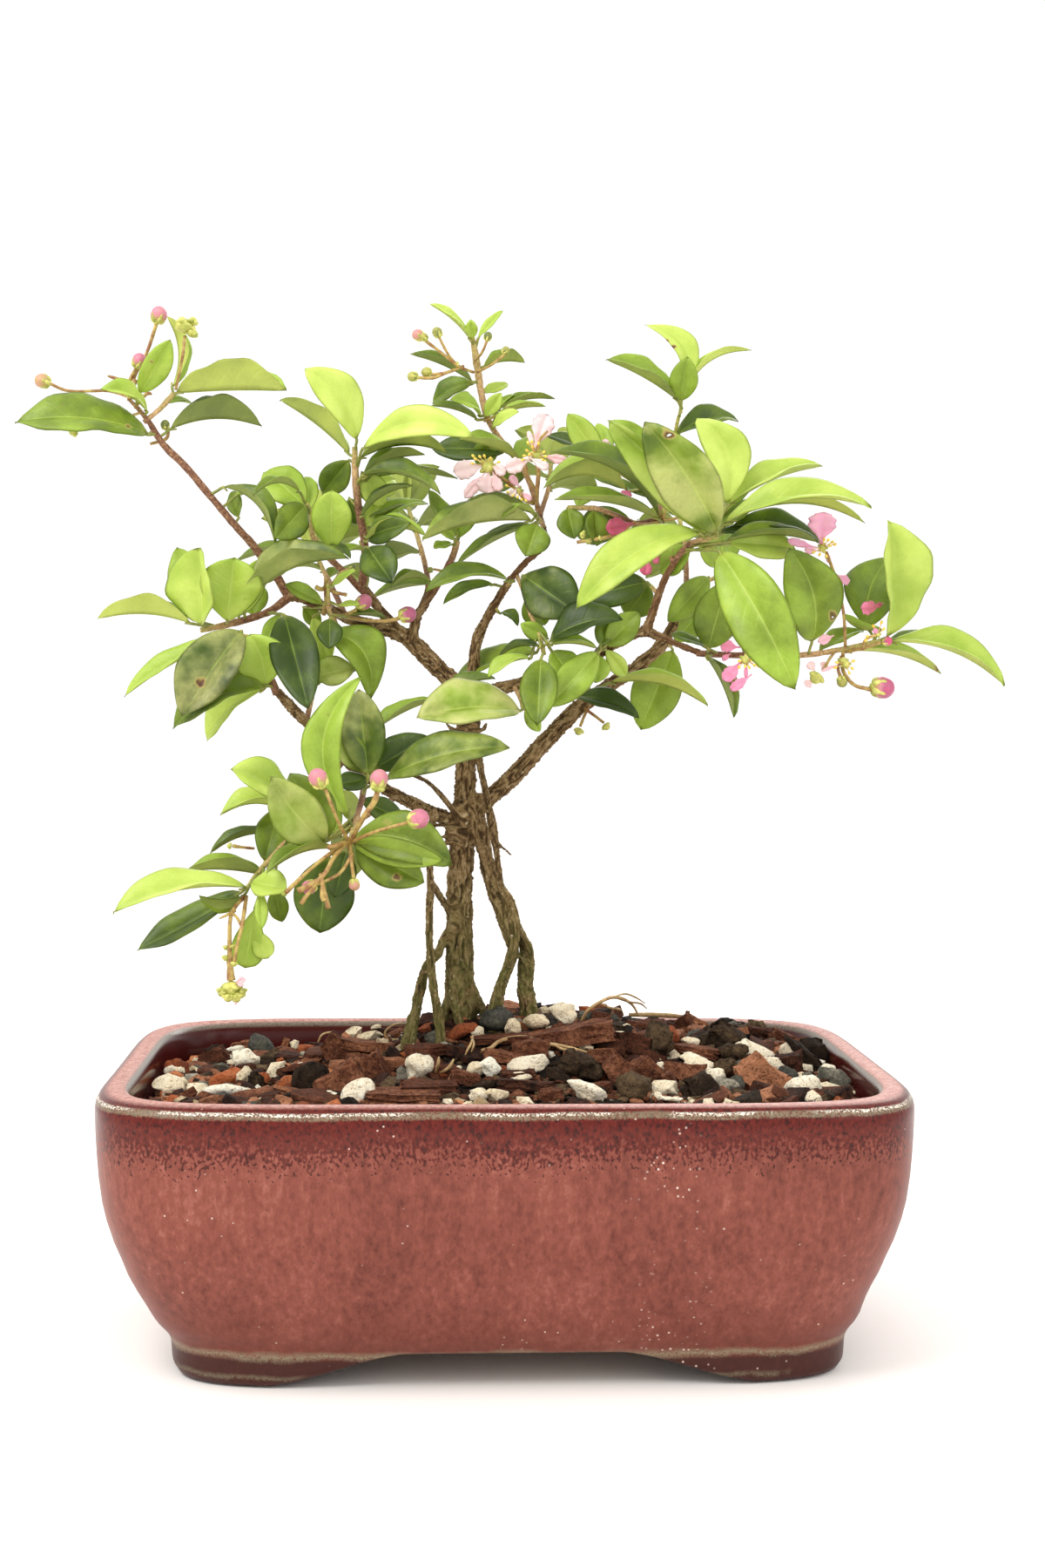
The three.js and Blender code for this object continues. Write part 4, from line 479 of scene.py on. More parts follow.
def barkFinish():
    f = Finish("ridged_bark")
    spot = f.node("Attribute", {"attribute_name": "grainAt"}, {}, 1)
    woody, moss, depth = f.look(0), f.look(1), f.look(2)
    ridge = f.grain(f.node("Mapping", {}, {"Vector": spot, "Scale": (1, 1, 0.15)}), 2.3, 4, 0.65)
    fleck = f.grain(spot, 6, 3, 0.6)
    cloud = f.grain(spot, 0.35, 3, 0.6)
    # the third number darkens the bark in its grooves and lightens it on the ridge crests: partly the bark's
    # own darker fissures, partly painted shade and painted highlight
    bark = f.along(ridge * 0.5 + depth * 0.35 + cloud * 0.15, [
        (0.22, (0.022, 0.012, 0.006)), (0.38, (0.100, 0.058, 0.024)), (0.52, (0.24, 0.150, 0.065)),
        (0.70, (0.44, 0.32, 0.17))])
    twig = f.along(fleck * 0.6 + ridge * 0.4, [
        (0.35, (0.085, 0.030, 0.015)), (0.5, (0.19, 0.085, 0.038)), (0.68, (0.36, 0.22, 0.12))])
    color = f.mix(woody, twig, bark)
    mossPatch = moss * (cloud * 0.6 + ridge * 0.4).fromTo(0.34, 0.52)
    mossTone = f.along(fleck, [(0.3, (0.045, 0.058, 0.012)), (0.7, (0.19, 0.20, 0.05))])
    color = f.mix(mossPatch * 0.62, color, mossTone)
    squat = f.node("Mapping", {}, {"Vector": spot, "Scale": (1, 1, 0.8)})
    lenticel = f.node("TexVoronoi", {}, {"Vector": squat, "Scale": 0.62})
    few = f.grain(spot, 0.45, 2, 0.5).fromTo(0.48, 0.56)
    color = f.mix((1 - lenticel.fromTo(0.13, 0.21)) * few * 0.75, color, (0.56, 0.46, 0.28))
    bump = f.bump(ridge * 0.7 + fleck * 0.3 - lenticel.fromTo(0.1, 0.25) * 0.2, 0.8, 0.0008)
    return f.close(f.skin(color, 0.9, bump, 0.2))


def leafFinish(name, stops, glow, glowShare, rough, shine, ribShare):
    f = Finish(name)
    uv = f.node("UVMap")
    run = f.axis(uv, 0)
    side = (f.axis(uv, 1) - 0.5).size() * 2
    tone, chance, mark = f.look(0), f.look(1), f.look(2)
    spot = f.place()
    blotch = f.grain(spot, 150, 3, 0.55)
    mesh = f.grain(spot, 1300, 2, 0.5)
    cloud = (f.grain(spot, 55, 2, 0.5) - 0.5) * 0.65 + (blotch - 0.5) * 0.42
    tint = tone + cloud + (chance - 0.5) * 0.08 + (mesh - 0.5) * 0.12
    color = f.along(tint, stops)
    # painted sheen: pale khaki patches stand for light glancing off the glossy leaf, as strong as the leaf's
    # fourth number asks
    paintedSheenShare = f.node("Attribute", {"attribute_name": "look"}, None, 3)
    paintedSheen = (f.grain(spot, 75, 3, 0.6) + (paintedSheenShare - 0.5) * 0.25).fromTo(0.42, 0.64) * paintedSheenShare
    paintedSheen = paintedSheen * (0.75 + mesh.fromTo(0.3, 0.7) * 0.25)
    color = f.mix(paintedSheen, color, (0.60, 0.585, 0.22))
    midrib = (1 - side.fromTo(0.01, 0.05)) * (1 - run * 0.45)
    bend = run * 7.5 - side * 1.9 + blotch * 0.5
    veinAt = bend.combine("PINGPONG", bend, 0.5)
    vein = (1 - veinAt.fromTo(0.0, 0.13)) * (1 - side.fromTo(0.5, 0.95)) * blotch.fromTo(0.35, 0.6)
    pale = midrib.most(vein * 0.16) * ribShare
    color = f.mix(pale, color, f.along(tint + 0.42, stops))
    color = f.mix((1 - run.fromTo(0.0, 0.09)) * 0.5, color, (0.50, 0.52, 0.12))
    rim = side.fromTo(0.93, 1.0) * f.grain(spot, 320, 2, 0.5).fromTo(0.46, 0.66)
    color = f.mix(rim * 0.2, color, (0.40, 0.32, 0.08))
    fleck = f.grain(spot, 620, 2, 0.5)
    flecked = fleck.fromTo(0.70, 0.75) * chance * (1 - tone.fromTo(0.6, 0.8)) * 0.6
    color = f.mix(flecked, color, (0.24, 0.15, 0.05))
    spoilt = mark.fromTo(0.22, 0.5)
    color = f.mix(spoilt, color, f.along(mark, [
        (0.4, (0.50, 0.42, 0.12)), (0.62, (0.19, 0.085, 0.035)), (0.85, (0.07, 0.03, 0.015))]))
    bump = f.bump(vein * -0.4 - midrib * 0.8 + blotch * 0.5 + mesh * 0.25, 0.3, 0.0005)
    through = f.node("BsdfTranslucent", {}, {"Color": glow})
    leafy = f.letThrough(glowShare, f.skin(color, rough, bump, shine), through)
    hole = mark.fromTo(0.86, 0.88)
    return f.close(f.letThrough(hole, leafy, f.node("BsdfTransparent")))


def twigFinish():
    f = Finish("twig_bark")
    thick = f.look(0)
    spot = f.place()
    fleck = f.grain(spot, 1400, 3, 0.6)
    brown = f.along(fleck, [
        (0.35, (0.10, 0.036, 0.018)), (0.55, (0.23, 0.10, 0.045)), (0.75, (0.42, 0.27, 0.15))])
    tan = f.along(fleck, [(0.35, (0.36, 0.19, 0.08)), (0.65, (0.64, 0.44, 0.21))])
    green = f.along(fleck, [(0.35, (0.26, 0.24, 0.05)), (0.65, (0.50, 0.46, 0.12))])
    color = f.mix(thick.fromTo(0.35, 0.8), f.mix(thick.fromTo(0.0, 0.35), green, tan), brown)
    bump = f.bump(fleck, 0.4, 0.0002)
    return f.close(f.skin(color, 0.7, bump))


def stalkFinish(name, dark, light):
    f = Finish(name)
    tone = f.grain(f.place(), 500, 3, 0.55)
    color = f.along(tone, [(0.35, dark), (0.65, light)])
    bump = f.bump(tone, 0.25, 0.0001)
    return f.close(f.skin(color, 0.5, bump))


# Petals and bud skin, coloured along a tone kept on the piece
def petalFinish(name, stops, glow, glowShare):
    f = Finish(name)
    tone = f.look(0)
    grain = f.grain(f.place(), 420, 4, 0.6)
    streak = f.grain(f.place(), 900, 2, 0.5)
    color = f.along(tone + (grain - 0.5) * 0.35 + (streak - 0.5) * 0.12, stops)
    bump = f.bump(grain, 0.3, 0.0002)
    through = f.node("BsdfTranslucent", {}, {"Color": glow})
    return f.close(f.letThrough(glowShare, f.skin(color, 0.5, bump), through))


def soilFinish(name, dark, light, rough):
    f = Finish(name)
    spot = f.place()
    coarse = f.grain(spot, 240, 5, 0.7)
    fine = f.grain(spot, 1500, 4, 0.7)
    color = f.along(coarse * 0.55 + fine * 0.45, [(0.38, dark), (0.6, light)])
    bump = f.bump(coarse + fine * 0.6, 0.9, 0.001)
    return f.close(f.skin(color, rough, bump))


def chipFinish(name, dark, middle, light):
    f = Finish(name)
    tone = f.look(0)
    grit = f.grain(f.place(), 800, 5, 0.7)
    cloud = f.grain(f.place(), 190, 3, 0.55)
    pits = f.grain(f.place(), 1500, 2, 0.5)
    crumb = f.grain(f.place(), 2600, 2, 0.6)
    color = f.along(tone * 0.78 + (grit - 0.5) * 0.95 + (cloud - 0.5) * 0.60 + 0.07, [
        (0.0, dark), (0.45, middle), (0.95, light)])
    color = f.mix((1 - pits.fromTo(0.32, 0.42)) * 0.75, color, dark)
    bump = f.bump(grit + cloud * 0.5 + pits * 0.6 + crumb * 0.35, 1.0, 0.0009)
    return f.close(f.skin(color, 0.92, bump, 0.15))


# Pot
pot = {
    "halfWidth": 101.6,
    "halfDepth": 75,
    "power": 6.4,
    "footHeight": 8.6,
    "archHalf": 26,
    "archHalfSide": 14,
    "archRun": 33,
    "lean": 1.4,  # how far the foot stands to the right of the rim
    "floorTop": 17,
    "drainOffset": 46,
    "drainRadius": 9,
    "leanFrom": 8,
    "leanRun": 16,
    "wobble": 0.35,
    "ringGap": 3.2,
    "around": 220,
    "rimTop": (4, 7),  # the rim points where its flat top starts and ends
    # inset from the rim's outline and height, from the middle of the underside round to the floor's middle
    "outer": [
        (60, 8.6), (38, 8.6), (34.6, 8.3), (34, 7.6), (33.6, 1.2), (32.4, 0), (24, 0), (18.6, 0), (17, 0.5),
        (16.3, 1.8), (16.2, 4), (16.1, 6), (15.9, 7.6), (15.2, 9.4), (14.2, 11), (13, 12.6), (12, 14.4),
        (11.2, 16.4), (10.2, 18.8), (8.9, 21.6), (7.1, 25.5), (5.7, 29.5), (4, 34), (2.4, 39.6), (1.5, 44),
        (0.8, 50), (0.4, 56), (0.15, 61), (0.05, 65),
    ],
    "rim": [
        (0.05, 67), (0.3, 68.4), (0.9, 69.5), (1.8, 70.3), (3, 70.8), (4.4, 71), (5.8, 70.9), (6.8, 70.5),
        (7.6, 69.8), (8.2, 68.7), (8.6, 67.2),
    ],
    "inner": [
        (8.9, 64), (9.3, 58), (9.9, 50), (12, 34), (14.5, 26), (17, 21.5), (20, 18.6), (24, 17.3), (30, 17),
        (60, 17),
    ],
}


def archLift(x, y):
    front = 1 - hold((abs(x) - pot["archHalf"]) / pot["archRun"])
    side = 1 - hold((abs(y) - pot["archHalfSide"]) / pot["archRun"])
    share = max(front, side)
    return pot["footHeight"] * (share * share * (3 - 2 * share) * 0.5 + share * 0.5)


def potSpot(inset, height, shape):
    x = (pot["halfWidth"] - inset) * shape.x
    y = (pot["halfDepth"] - inset) * shape.y
    wobble = noise.noise(Vector((x, y, height)) * 0.02) * pot["wobble"]
    x += wobble * shape.x
    y += wobble * shape.y
    if height < pot["footHeight"]:
        height = height + (1 - height / pot["footHeight"]) * archLift(x, y) * 0.995
    low = 1 - hold((height - pot["leanFrom"]) / pot["leanRun"])
    outer = inset < pot["outer"][0][0]
    return Vector((x + pot["lean"] * low * low * (3 - 2 * low) * outer, y, height))


def makePot():
    profile = pot["outer"] + pot["rim"] + pot["inner"]
    rings = [profile[0]]
    places = [0]
    for a, b in zip(profile, profile[1:]):
        parts = max(1, round(math.dist(a, b) / pot["ringGap"]))
        for i in range(1, parts + 1):
            rings.append((a[0] + (b[0] - a[0]) * i / parts, a[1] + (b[1] - a[1]) * i / parts))
        places.append(len(rings) - 1)
    shape = ringShape(pot["power"], pot["halfWidth"], pot["halfDepth"], pot["around"])
    steps = len(rings) - 1
    bm = bmesh.new()
    made = addSheet(bm, steps, pot["around"], lambda t, s: potSpot(
        *rings[round(t * steps)], shape[round(s * pot["around"]) % pot["around"]]))[0]
    bmesh.ops.remove_doubles(bm, verts=made, dist=1e-4)
    rims = [e for e in bm.edges if e.is_boundary]
    bmesh.ops.holes_fill(bm, edges=rims, sides=0)
    edge, inside = (places[len(pot["outer"]) + point] / steps for point in pot["rimTop"])
    piece = finishPiece(bm, "footed_pot", [glazeFinish(edge, inside)], ["pot"])
    cutters = []
    for side in (-1, 1):
        cut = bmesh.new()
        centre = Matrix.Translation((side * pot["drainOffset"], 0, pot["floorTop"] - 4))
        bmesh.ops.create_cone(cut, cap_ends=True, segments=48, radius1=pot["drainRadius"],
                              radius2=pot["drainRadius"], depth=30, matrix=centre)
        cutter = makeObject(cut, "drain_cut")
        hole = piece.modifiers.new("drain", "BOOLEAN")
        hole.object = cutter
        hole.solver = "EXACT"
        cutters.append(cutter)
    keepShape(piece)
    for cutter in cutters:
        bpy.data.objects.remove(cutter)


def keepShape(piece):
    shaped = piece.evaluated_get(bpy.context.evaluated_depsgraph_get())
    mesh = bpy.data.meshes.new_from_object(shaped)
    piece.modifiers.clear()
    piece.data = mesh


# Wood: each run from its foot outwards, as x, z, y and radius
woodRuns = {
    "trunk": [
        [-10.5, 70, 0, 5.4], [-11, 80, 0, 5], [-11, 87, 0, 4.3], [-11, 93, 0, 3.9], [-11.2, 104, 0, 3.7],
        [-11.2, 115, 0, 3.5], [-10.8, 125, 0, 3.4], [-10.2, 135, 0, 3.3], [-9.8, 145, 0, 2.9],
        [-9.6, 154, 0, 2.8], [-9, 160, 0, 3.3], [-8.8, 166, 0, 2.4], [-8, 173, 0, 1.7], [-7.3, 180, 1, 1.5],
        [-6.3, 184, 1.5, 1.5], [-4.3, 188, 2, 1.3], [-2, 192, 2, 1.25], [0.3, 196, 2.5, 1.15],
        [3, 199.7, 3, 1], [6, 203, 3, 0.95], [9, 205.7, 3, 0.9], [11.5, 208.8, 3, 0.85],
        [10.5, 212.5, 4, 0.8], [9.5, 216, 5, 0.75],
    ],
    "rootLeftSlant": [
        [-12.5, 107, 0, 1.2], [-15, 103, -1, 1.2], [-17, 98.5, -3, 1.3], [-20, 95, -6, 1.2],
        [-21.5, 89, -8, 1.5], [-23, 82, -10, 1.6], [-24.5, 76, -12, 2], [-25, 68, -13, 2],
    ],
    "rootLeftDrop": [
        [-18.2, 136, -2, 0.9], [-19, 129, -6, 0.9], [-19.2, 122, -9, 1], [-19, 115, -10, 1.1],
        [-19.3, 108, -10, 1.1], [-19, 100, -11, 1.1], [-18.5, 93, -11, 1.3], [-17.5, 86, -12, 1.3],
        [-16.5, 80, -13, 1.4], [-16, 71, -14, 1.5],
    ],
    "rootLeftLink": [
        [-18.8, 117.8, -10, 0.9], [-16.5, 114, -6, 1], [-14, 110.3, -2, 1.1], [-12, 107, 0, 1.1],
    ],
    "rootFrontA": [[-12.6, 92, -2.5, 1.2], [-12.5, 86, -5, 1.4], [-11, 80, -7, 1.3], [-9.8, 75, -8, 1]],
    "rootFrontB": [[-13, 88, -2.5, 1.2], [-15, 83.5, -4.5, 1.3], [-15, 78, -6, 1]],
    "rootRight": [[-9, 91, -1, 1.6], [-7, 87.5, -1.5, 1.5], [-4.8, 83, -1, 1.2], [-3, 77, 0, 1]],
    "legUpper": [
        [-8, 141, 0, 2.4], [-6.2, 134, -1, 2.3], [-4.8, 127, -2, 2.1], [-3.4, 120, -3, 2],
        [-1.4, 114, -3, 2.1], [0.4, 109, -4, 2.1], [1.9, 104, -4, 1.9], [3.2, 100, -4.4, 1.7],
        [2.6, 96.6, -5, 1.5], [1.2, 93, -5.6, 1.5], [0, 89.2, -6, 1.6], [-1.2, 85, -6, 1.9],
        [-2, 76, -7, 2.1],
    ],
    "legFootLeft": [
        [2.2, 98.5, -4.6, 0.9], [0.9, 94.5, -5.6, 0.8], [-0.8, 90, -6.8, 0.8], [-2.2, 85, -7.6, 1],
        [-3.4, 79, -8, 1],
    ],
    "legFootRight": [
        [3.4, 107, -1.6, 1.3], [5.3, 102.6, -1.2, 1.3], [6.5, 98.2, -1.6, 1.6], [6.3, 94, -2.4, 2],
        [6.6, 89, -3, 2.3], [7.4, 83.5, -3, 2.6], [8, 73, -3, 2.8],
    ],
    "legWrap": [
        [-2.6, 122, -4.6, 0.9], [-0.4, 117, -5, 1.1], [1.6, 113.6, -5, 1.25], [3, 110.4, -5, 1.35],
        [3.9, 106.6, -5.2, 1.25], [4.1, 103, -6, 1.1], [3.3, 99.5, -6.4, 1], [2.4, 96, -6.6, 0.8],
    ],
    "legCross": [
        [4.2, 106.4, -3.4, 0.9], [5.6, 103.6, -3, 1], [7.2, 101, -3, 1.05], [8, 98.2, -3, 1],
        [8.2, 95.4, -3, 0.9], [7.9, 91, -3.6, 0.8],
    ],
    "legTie": [
        [3.8, 99.2, -4.8, 0.6], [5.2, 97.6, -4.6, 0.6], [6.6, 95.4, -4.6, 0.6], [7.2, 92.6, -4.8, 0.5],
    ],
    "rootRightDrop": [
        [-7, 157, 0, 0.9], [-6.4, 150.5, -2, 0.9], [-5.6, 147, -4, 0.9], [-4.4, 142, -5, 0.95],
        [-3.5, 137, -5.4, 0.95], [-2.7, 131, -5.8, 0.95], [-1.6, 127, -5.8, 0.95], [-0.9, 122, -5.6, 0.9],
        [0, 117, -5, 0.8],
    ],
    "rootRightThin": [
        [-5.9, 156.5, -2.6, 0.5], [-5.5, 151.5, -4.4, 0.5], [-5, 147, -5.6, 0.5], [-4.2, 142.6, -6.2, 0.55],
        [-3, 138, -6.4, 0.5], [-1.8, 133.5, -6.4, 0.5], [-1.2, 129.5, -6.2, 0.5], [-0.6, 126.8, -6, 0.55],
    ],
    "rootSpur": [[-1.4, 128.6, -5.5, 0.5], [2.6, 124.8, -8, 0.4]],
    "rightLow": [
        [-9, 136, 1, 2.2], [-3, 140.5, 2, 2.3], [2, 145, 4, 2.4], [8, 151.5, 6, 2.3], [14, 158, 8, 2.3],
        [20, 164, 10, 2.2], [28, 170, 12, 2], [36, 175.5, 14, 1.9], [42, 181, 16, 1.8],
        [45.5, 186.5, 17, 1.5], [46.5, 191, 17, 1.2], [49.5, 195, 18, 0.9], [54, 198, 19, 0.7],
    ],
    "rightMid": [
        [-8.8, 165, 0, 2], [-3, 168.5, -2, 1.8], [3, 170.3, -4, 1.7], [11, 172.5, -6, 1.6],
        [19, 174.5, -8, 1.5], [25, 178.5, -9, 1.5], [31, 182, -10, 1.4], [38, 184.8, -10, 1.5],
        [42, 183.5, -10, 1.2], [47, 181.5, -11, 1], [53, 179.2, -12, 0.9],
    ],
    "rightRiser": [
        [38, 184.4, -10, 1.3], [39.5, 188.5, -11, 1.2], [41.3, 194, -12, 1.1], [43.3, 199, -14, 1],
        [46, 204, -17, 0.9],
    ],
    "leftMain": [
        [-9.2, 162, 0, 2.4], [-13, 170.5, 1, 2.5], [-18, 175.5, 2, 2.4], [-23, 180.5, 3, 2.4],
        [-28, 184, 4, 2.2], [-34, 185.8, 4, 1.7], [-41, 187.6, 4, 1.6], [-47, 190.5, 4, 1.6],
        [-53, 193, 4, 1.7], [-57, 193.8, 4, 1.6],
    ],
    "leftRiser": [[-26, 183, 3.5, 1.5], [-31, 188, 5, 1.4], [-35, 193, 6, 1.4], [-37.5, 196.5, 6, 1.3]],
    "centreRiser": [[-24, 182, 3, 1.6], [-23, 188, 3, 1.4], [-20.5, 192, 4, 1.2], [-17.5, 197, 5, 1.1]],
    "leftLow": [
        [-10, 131, 0, 2.2], [-15, 134.6, -1, 2], [-20, 136.8, -2, 1.9], [-26, 139.8, -4, 1.7],
        [-32, 143, -7, 1.5], [-40, 148.5, -10, 1.4], [-48, 156.5, -12, 1.4], [-55, 163, -13, 1.5],
        [-60, 168.5, -14, 1.3],
    ],
    "leftThin": [[-11, 134, -1.5, 1], [-15.5, 140, -5, 0.8], [-20, 144.5, -9, 0.7], [-24, 146.3, -12, 0.6]],
    "scar": [[-11, 131, -1, 1.7], [-14.6, 131.2, -4, 1.2]],
    "scarUpper": [[-11.6, 133.2, -1, 0.8], [-15, 132.8, -3.6, 0.6], [-17.8, 133, -4.4, 0.45]],
    "scarLower": [
        [-12, 129.4, -1, 0.8], [-15.2, 129.9, -3.6, 0.6], [-17.3, 128.9, -4.4, 0.42],
        [-17.9, 127.6, -4.6, 0.4],
    ],
    "scarRoot": [
        [-12.4, 128.6, -1, 0.9], [-15.4, 127.8, -3.4, 0.7], [-17, 125.6, -5, 0.6],
        [-17.8, 122.4, -6.6, 0.6],
    ],
    "collarLeft": [[-11, 157.6, -1.5, 1], [-13.6, 158.6, -2.5, 0.7], [-15.3, 160.6, -3, 0.4]],
    "collarRight": [[-7, 157.8, -1.5, 0.9], [-5, 158.6, -2.2, 0.7], [-4.1, 160.4, -2.6, 0.4]],
}

# Trunk, limbs and roots, grown together and then given their bark
wood = {
    "sides": 16,
    "slim": 0.97,
    "voxel": 0.42,
    "soften": 3,
    "ridge": 0.62,
    "fine": 0.16,
    "mossTop": 125,
    "mossFade": 30,
    "runGap": 40,  # keeps the bark of one run apart from the next
    "youngFrom": 166,  # above this height thin wood looks like a twig
}


def makeWood(finish):
    bm = bmesh.new()
    path = []
    run = 0
    for points in woodRuns.values():
        spots = [seen(*p[:3]) for p in points]
        radii = [p[3] * wood["slim"] for p in points]
        addTube(bm, spots, radii, wood["sides"], (len(points) - 1) * 8)
        way = smoothWay(spots)
        steps = (len(points) - 1) * 12
        line = [way(i / steps) for i in range(steps + 1)]
        side = Vector((1, 0.2, 0))
        for i, spot in enumerate(line):
            heading = (line[min(i + 1, steps)] - line[max(i - 1, 0)]).normalized()
            side = (side - heading * side.dot(heading)).normalized()
            run += (spot - line[i - 1]).length if i else wood["runGap"]
            reach = i / steps * (len(points) - 1)
            span = min(int(reach), len(points) - 2)
            radius = points[span][3] + (points[span + 1][3] - points[span][3]) * (reach - span)
            woody = hold((radius - 0.85) / 0.6) if spot.z > wood["youngFrom"] else 1
            path.append((spot, heading, side.copy(), radius, run, woody))
    piece = finishPiece(bm, "bonsai_trunk", [finish], ["wood"])
    blend = piece.modifiers.new("grown_together", "REMESH")
    blend.mode = "VOXEL"
    blend.voxel_size = wood["voxel"] * mm
    blend.use_smooth_shade = True
    keepShape(piece)
    tree = KDTree(len(path))
    for i, entry in enumerate(path):
        tree.insert(entry[0], i)
    tree.balance()
    bm = bmesh.new()
    bm.from_mesh(piece.data)
    for _ in range(wood["soften"]):
        bmesh.ops.smooth_vert(
            bm, verts=bm.verts, factor=0.5, use_axis_x=True, use_axis_y=True, use_axis_z=True)
    bm.normal_update()
    look = bm.verts.layers.float_color.new("look")
    grainAt = bm.verts.layers.float_vector.new("grainAt")
    moves = {}
    for v in bm.verts:
        spot = (v.co - potMiddle) / mm
        first = path[tree.find(spot)[1]]
        out = spot - first[0]
        heading, side, radius = first[1], first[2], first[3]
        runAt = first[4] + out.dot(heading)
        angle = math.atan2(out.dot(heading.cross(side)), out.dot(side))
        at = Vector((math.cos(angle) * max(radius, 1.2), math.sin(angle) * max(radius, 1.2), runAt))
        v[grainAt] = at
        thick = hold((radius - 0.5) / 2.6)
        moss = hold((wood["mossTop"] - spot.z) / wood["mossFade"])
        bent = noise.noise_vector(spot * 0.16) * 1.6
        stretched = Vector((at.x + bent.x, at.y + bent.y, at.z * 0.13)) * 0.9
        ridge = 1 - abs(noise.fractal(stretched, 0.8, 2.1, 4)) * 2.4
        knots = noise.noise(spot * 0.3) * 0.7
        flakes = max(noise.noise(spot * 1.1) - 0.26, 0) * 1.9
        depth = wood["ridge"] * (ridge - 0.62 + knots + flakes) * (0.22 + 0.78 * thick)
        depth += wood["fine"] * noise.noise(spot * 2.6)
        # the third number is how high the bark ridge stands here, which the bark finish paints as darker
        # grooves and lighter crests, partly painted shade and highlight
        v[look] = (first[5], moss, hold(ridge * 0.8 + 0.1), 1)
        moves[v] = v.normal * (min(depth, 0.45) * mm)
    for v, move in moves.items():
        v.co += move
    bm.to_mesh(piece.data)
    bm.free()


# Soil, its chips and stones
soil = {
    "edgeHeight": 63,
    "moundHeight": 18,
    "moundX": -4,
    "moundHalfX": 48,
    "moundHalfY": 34,
    "rightRise": 7.2,
    "rightFrom": -8,
    "rightRun": 33,
    "rightEnd": 104,
    "rightFall": 30,
    "backFrom": -34,
    "backRun": 44,
    "frontRise": 5.4,
    "frontFrom": 18,
    "frontRun": 34,
    "wall": 10.9,
    "power": 5.4,
    "around": 150,
    "topRings": 60,
    "chips": 1250,
    "crumbs": 3000,
    "crumbScale": 0.38,
    "chipMix": [0.42, 0.15, 0.06, 0.25, 0.12],  # shares of bark, pumice, fired clay, humus and grit
    "crumbMix": [0.44, 0.04, 0.04, 0.43, 0.05],
    "clear": 3.4,  # room that scattered chips leave round those set one by one
    "rootlet": 1.35,
    "rootletSpread": 9,
    "sightStart": 470,  # where the look along a sight line for the soil starts
    "sightStep": 0.25,
    "sightSteps": 700,
    "seed": 31,
}
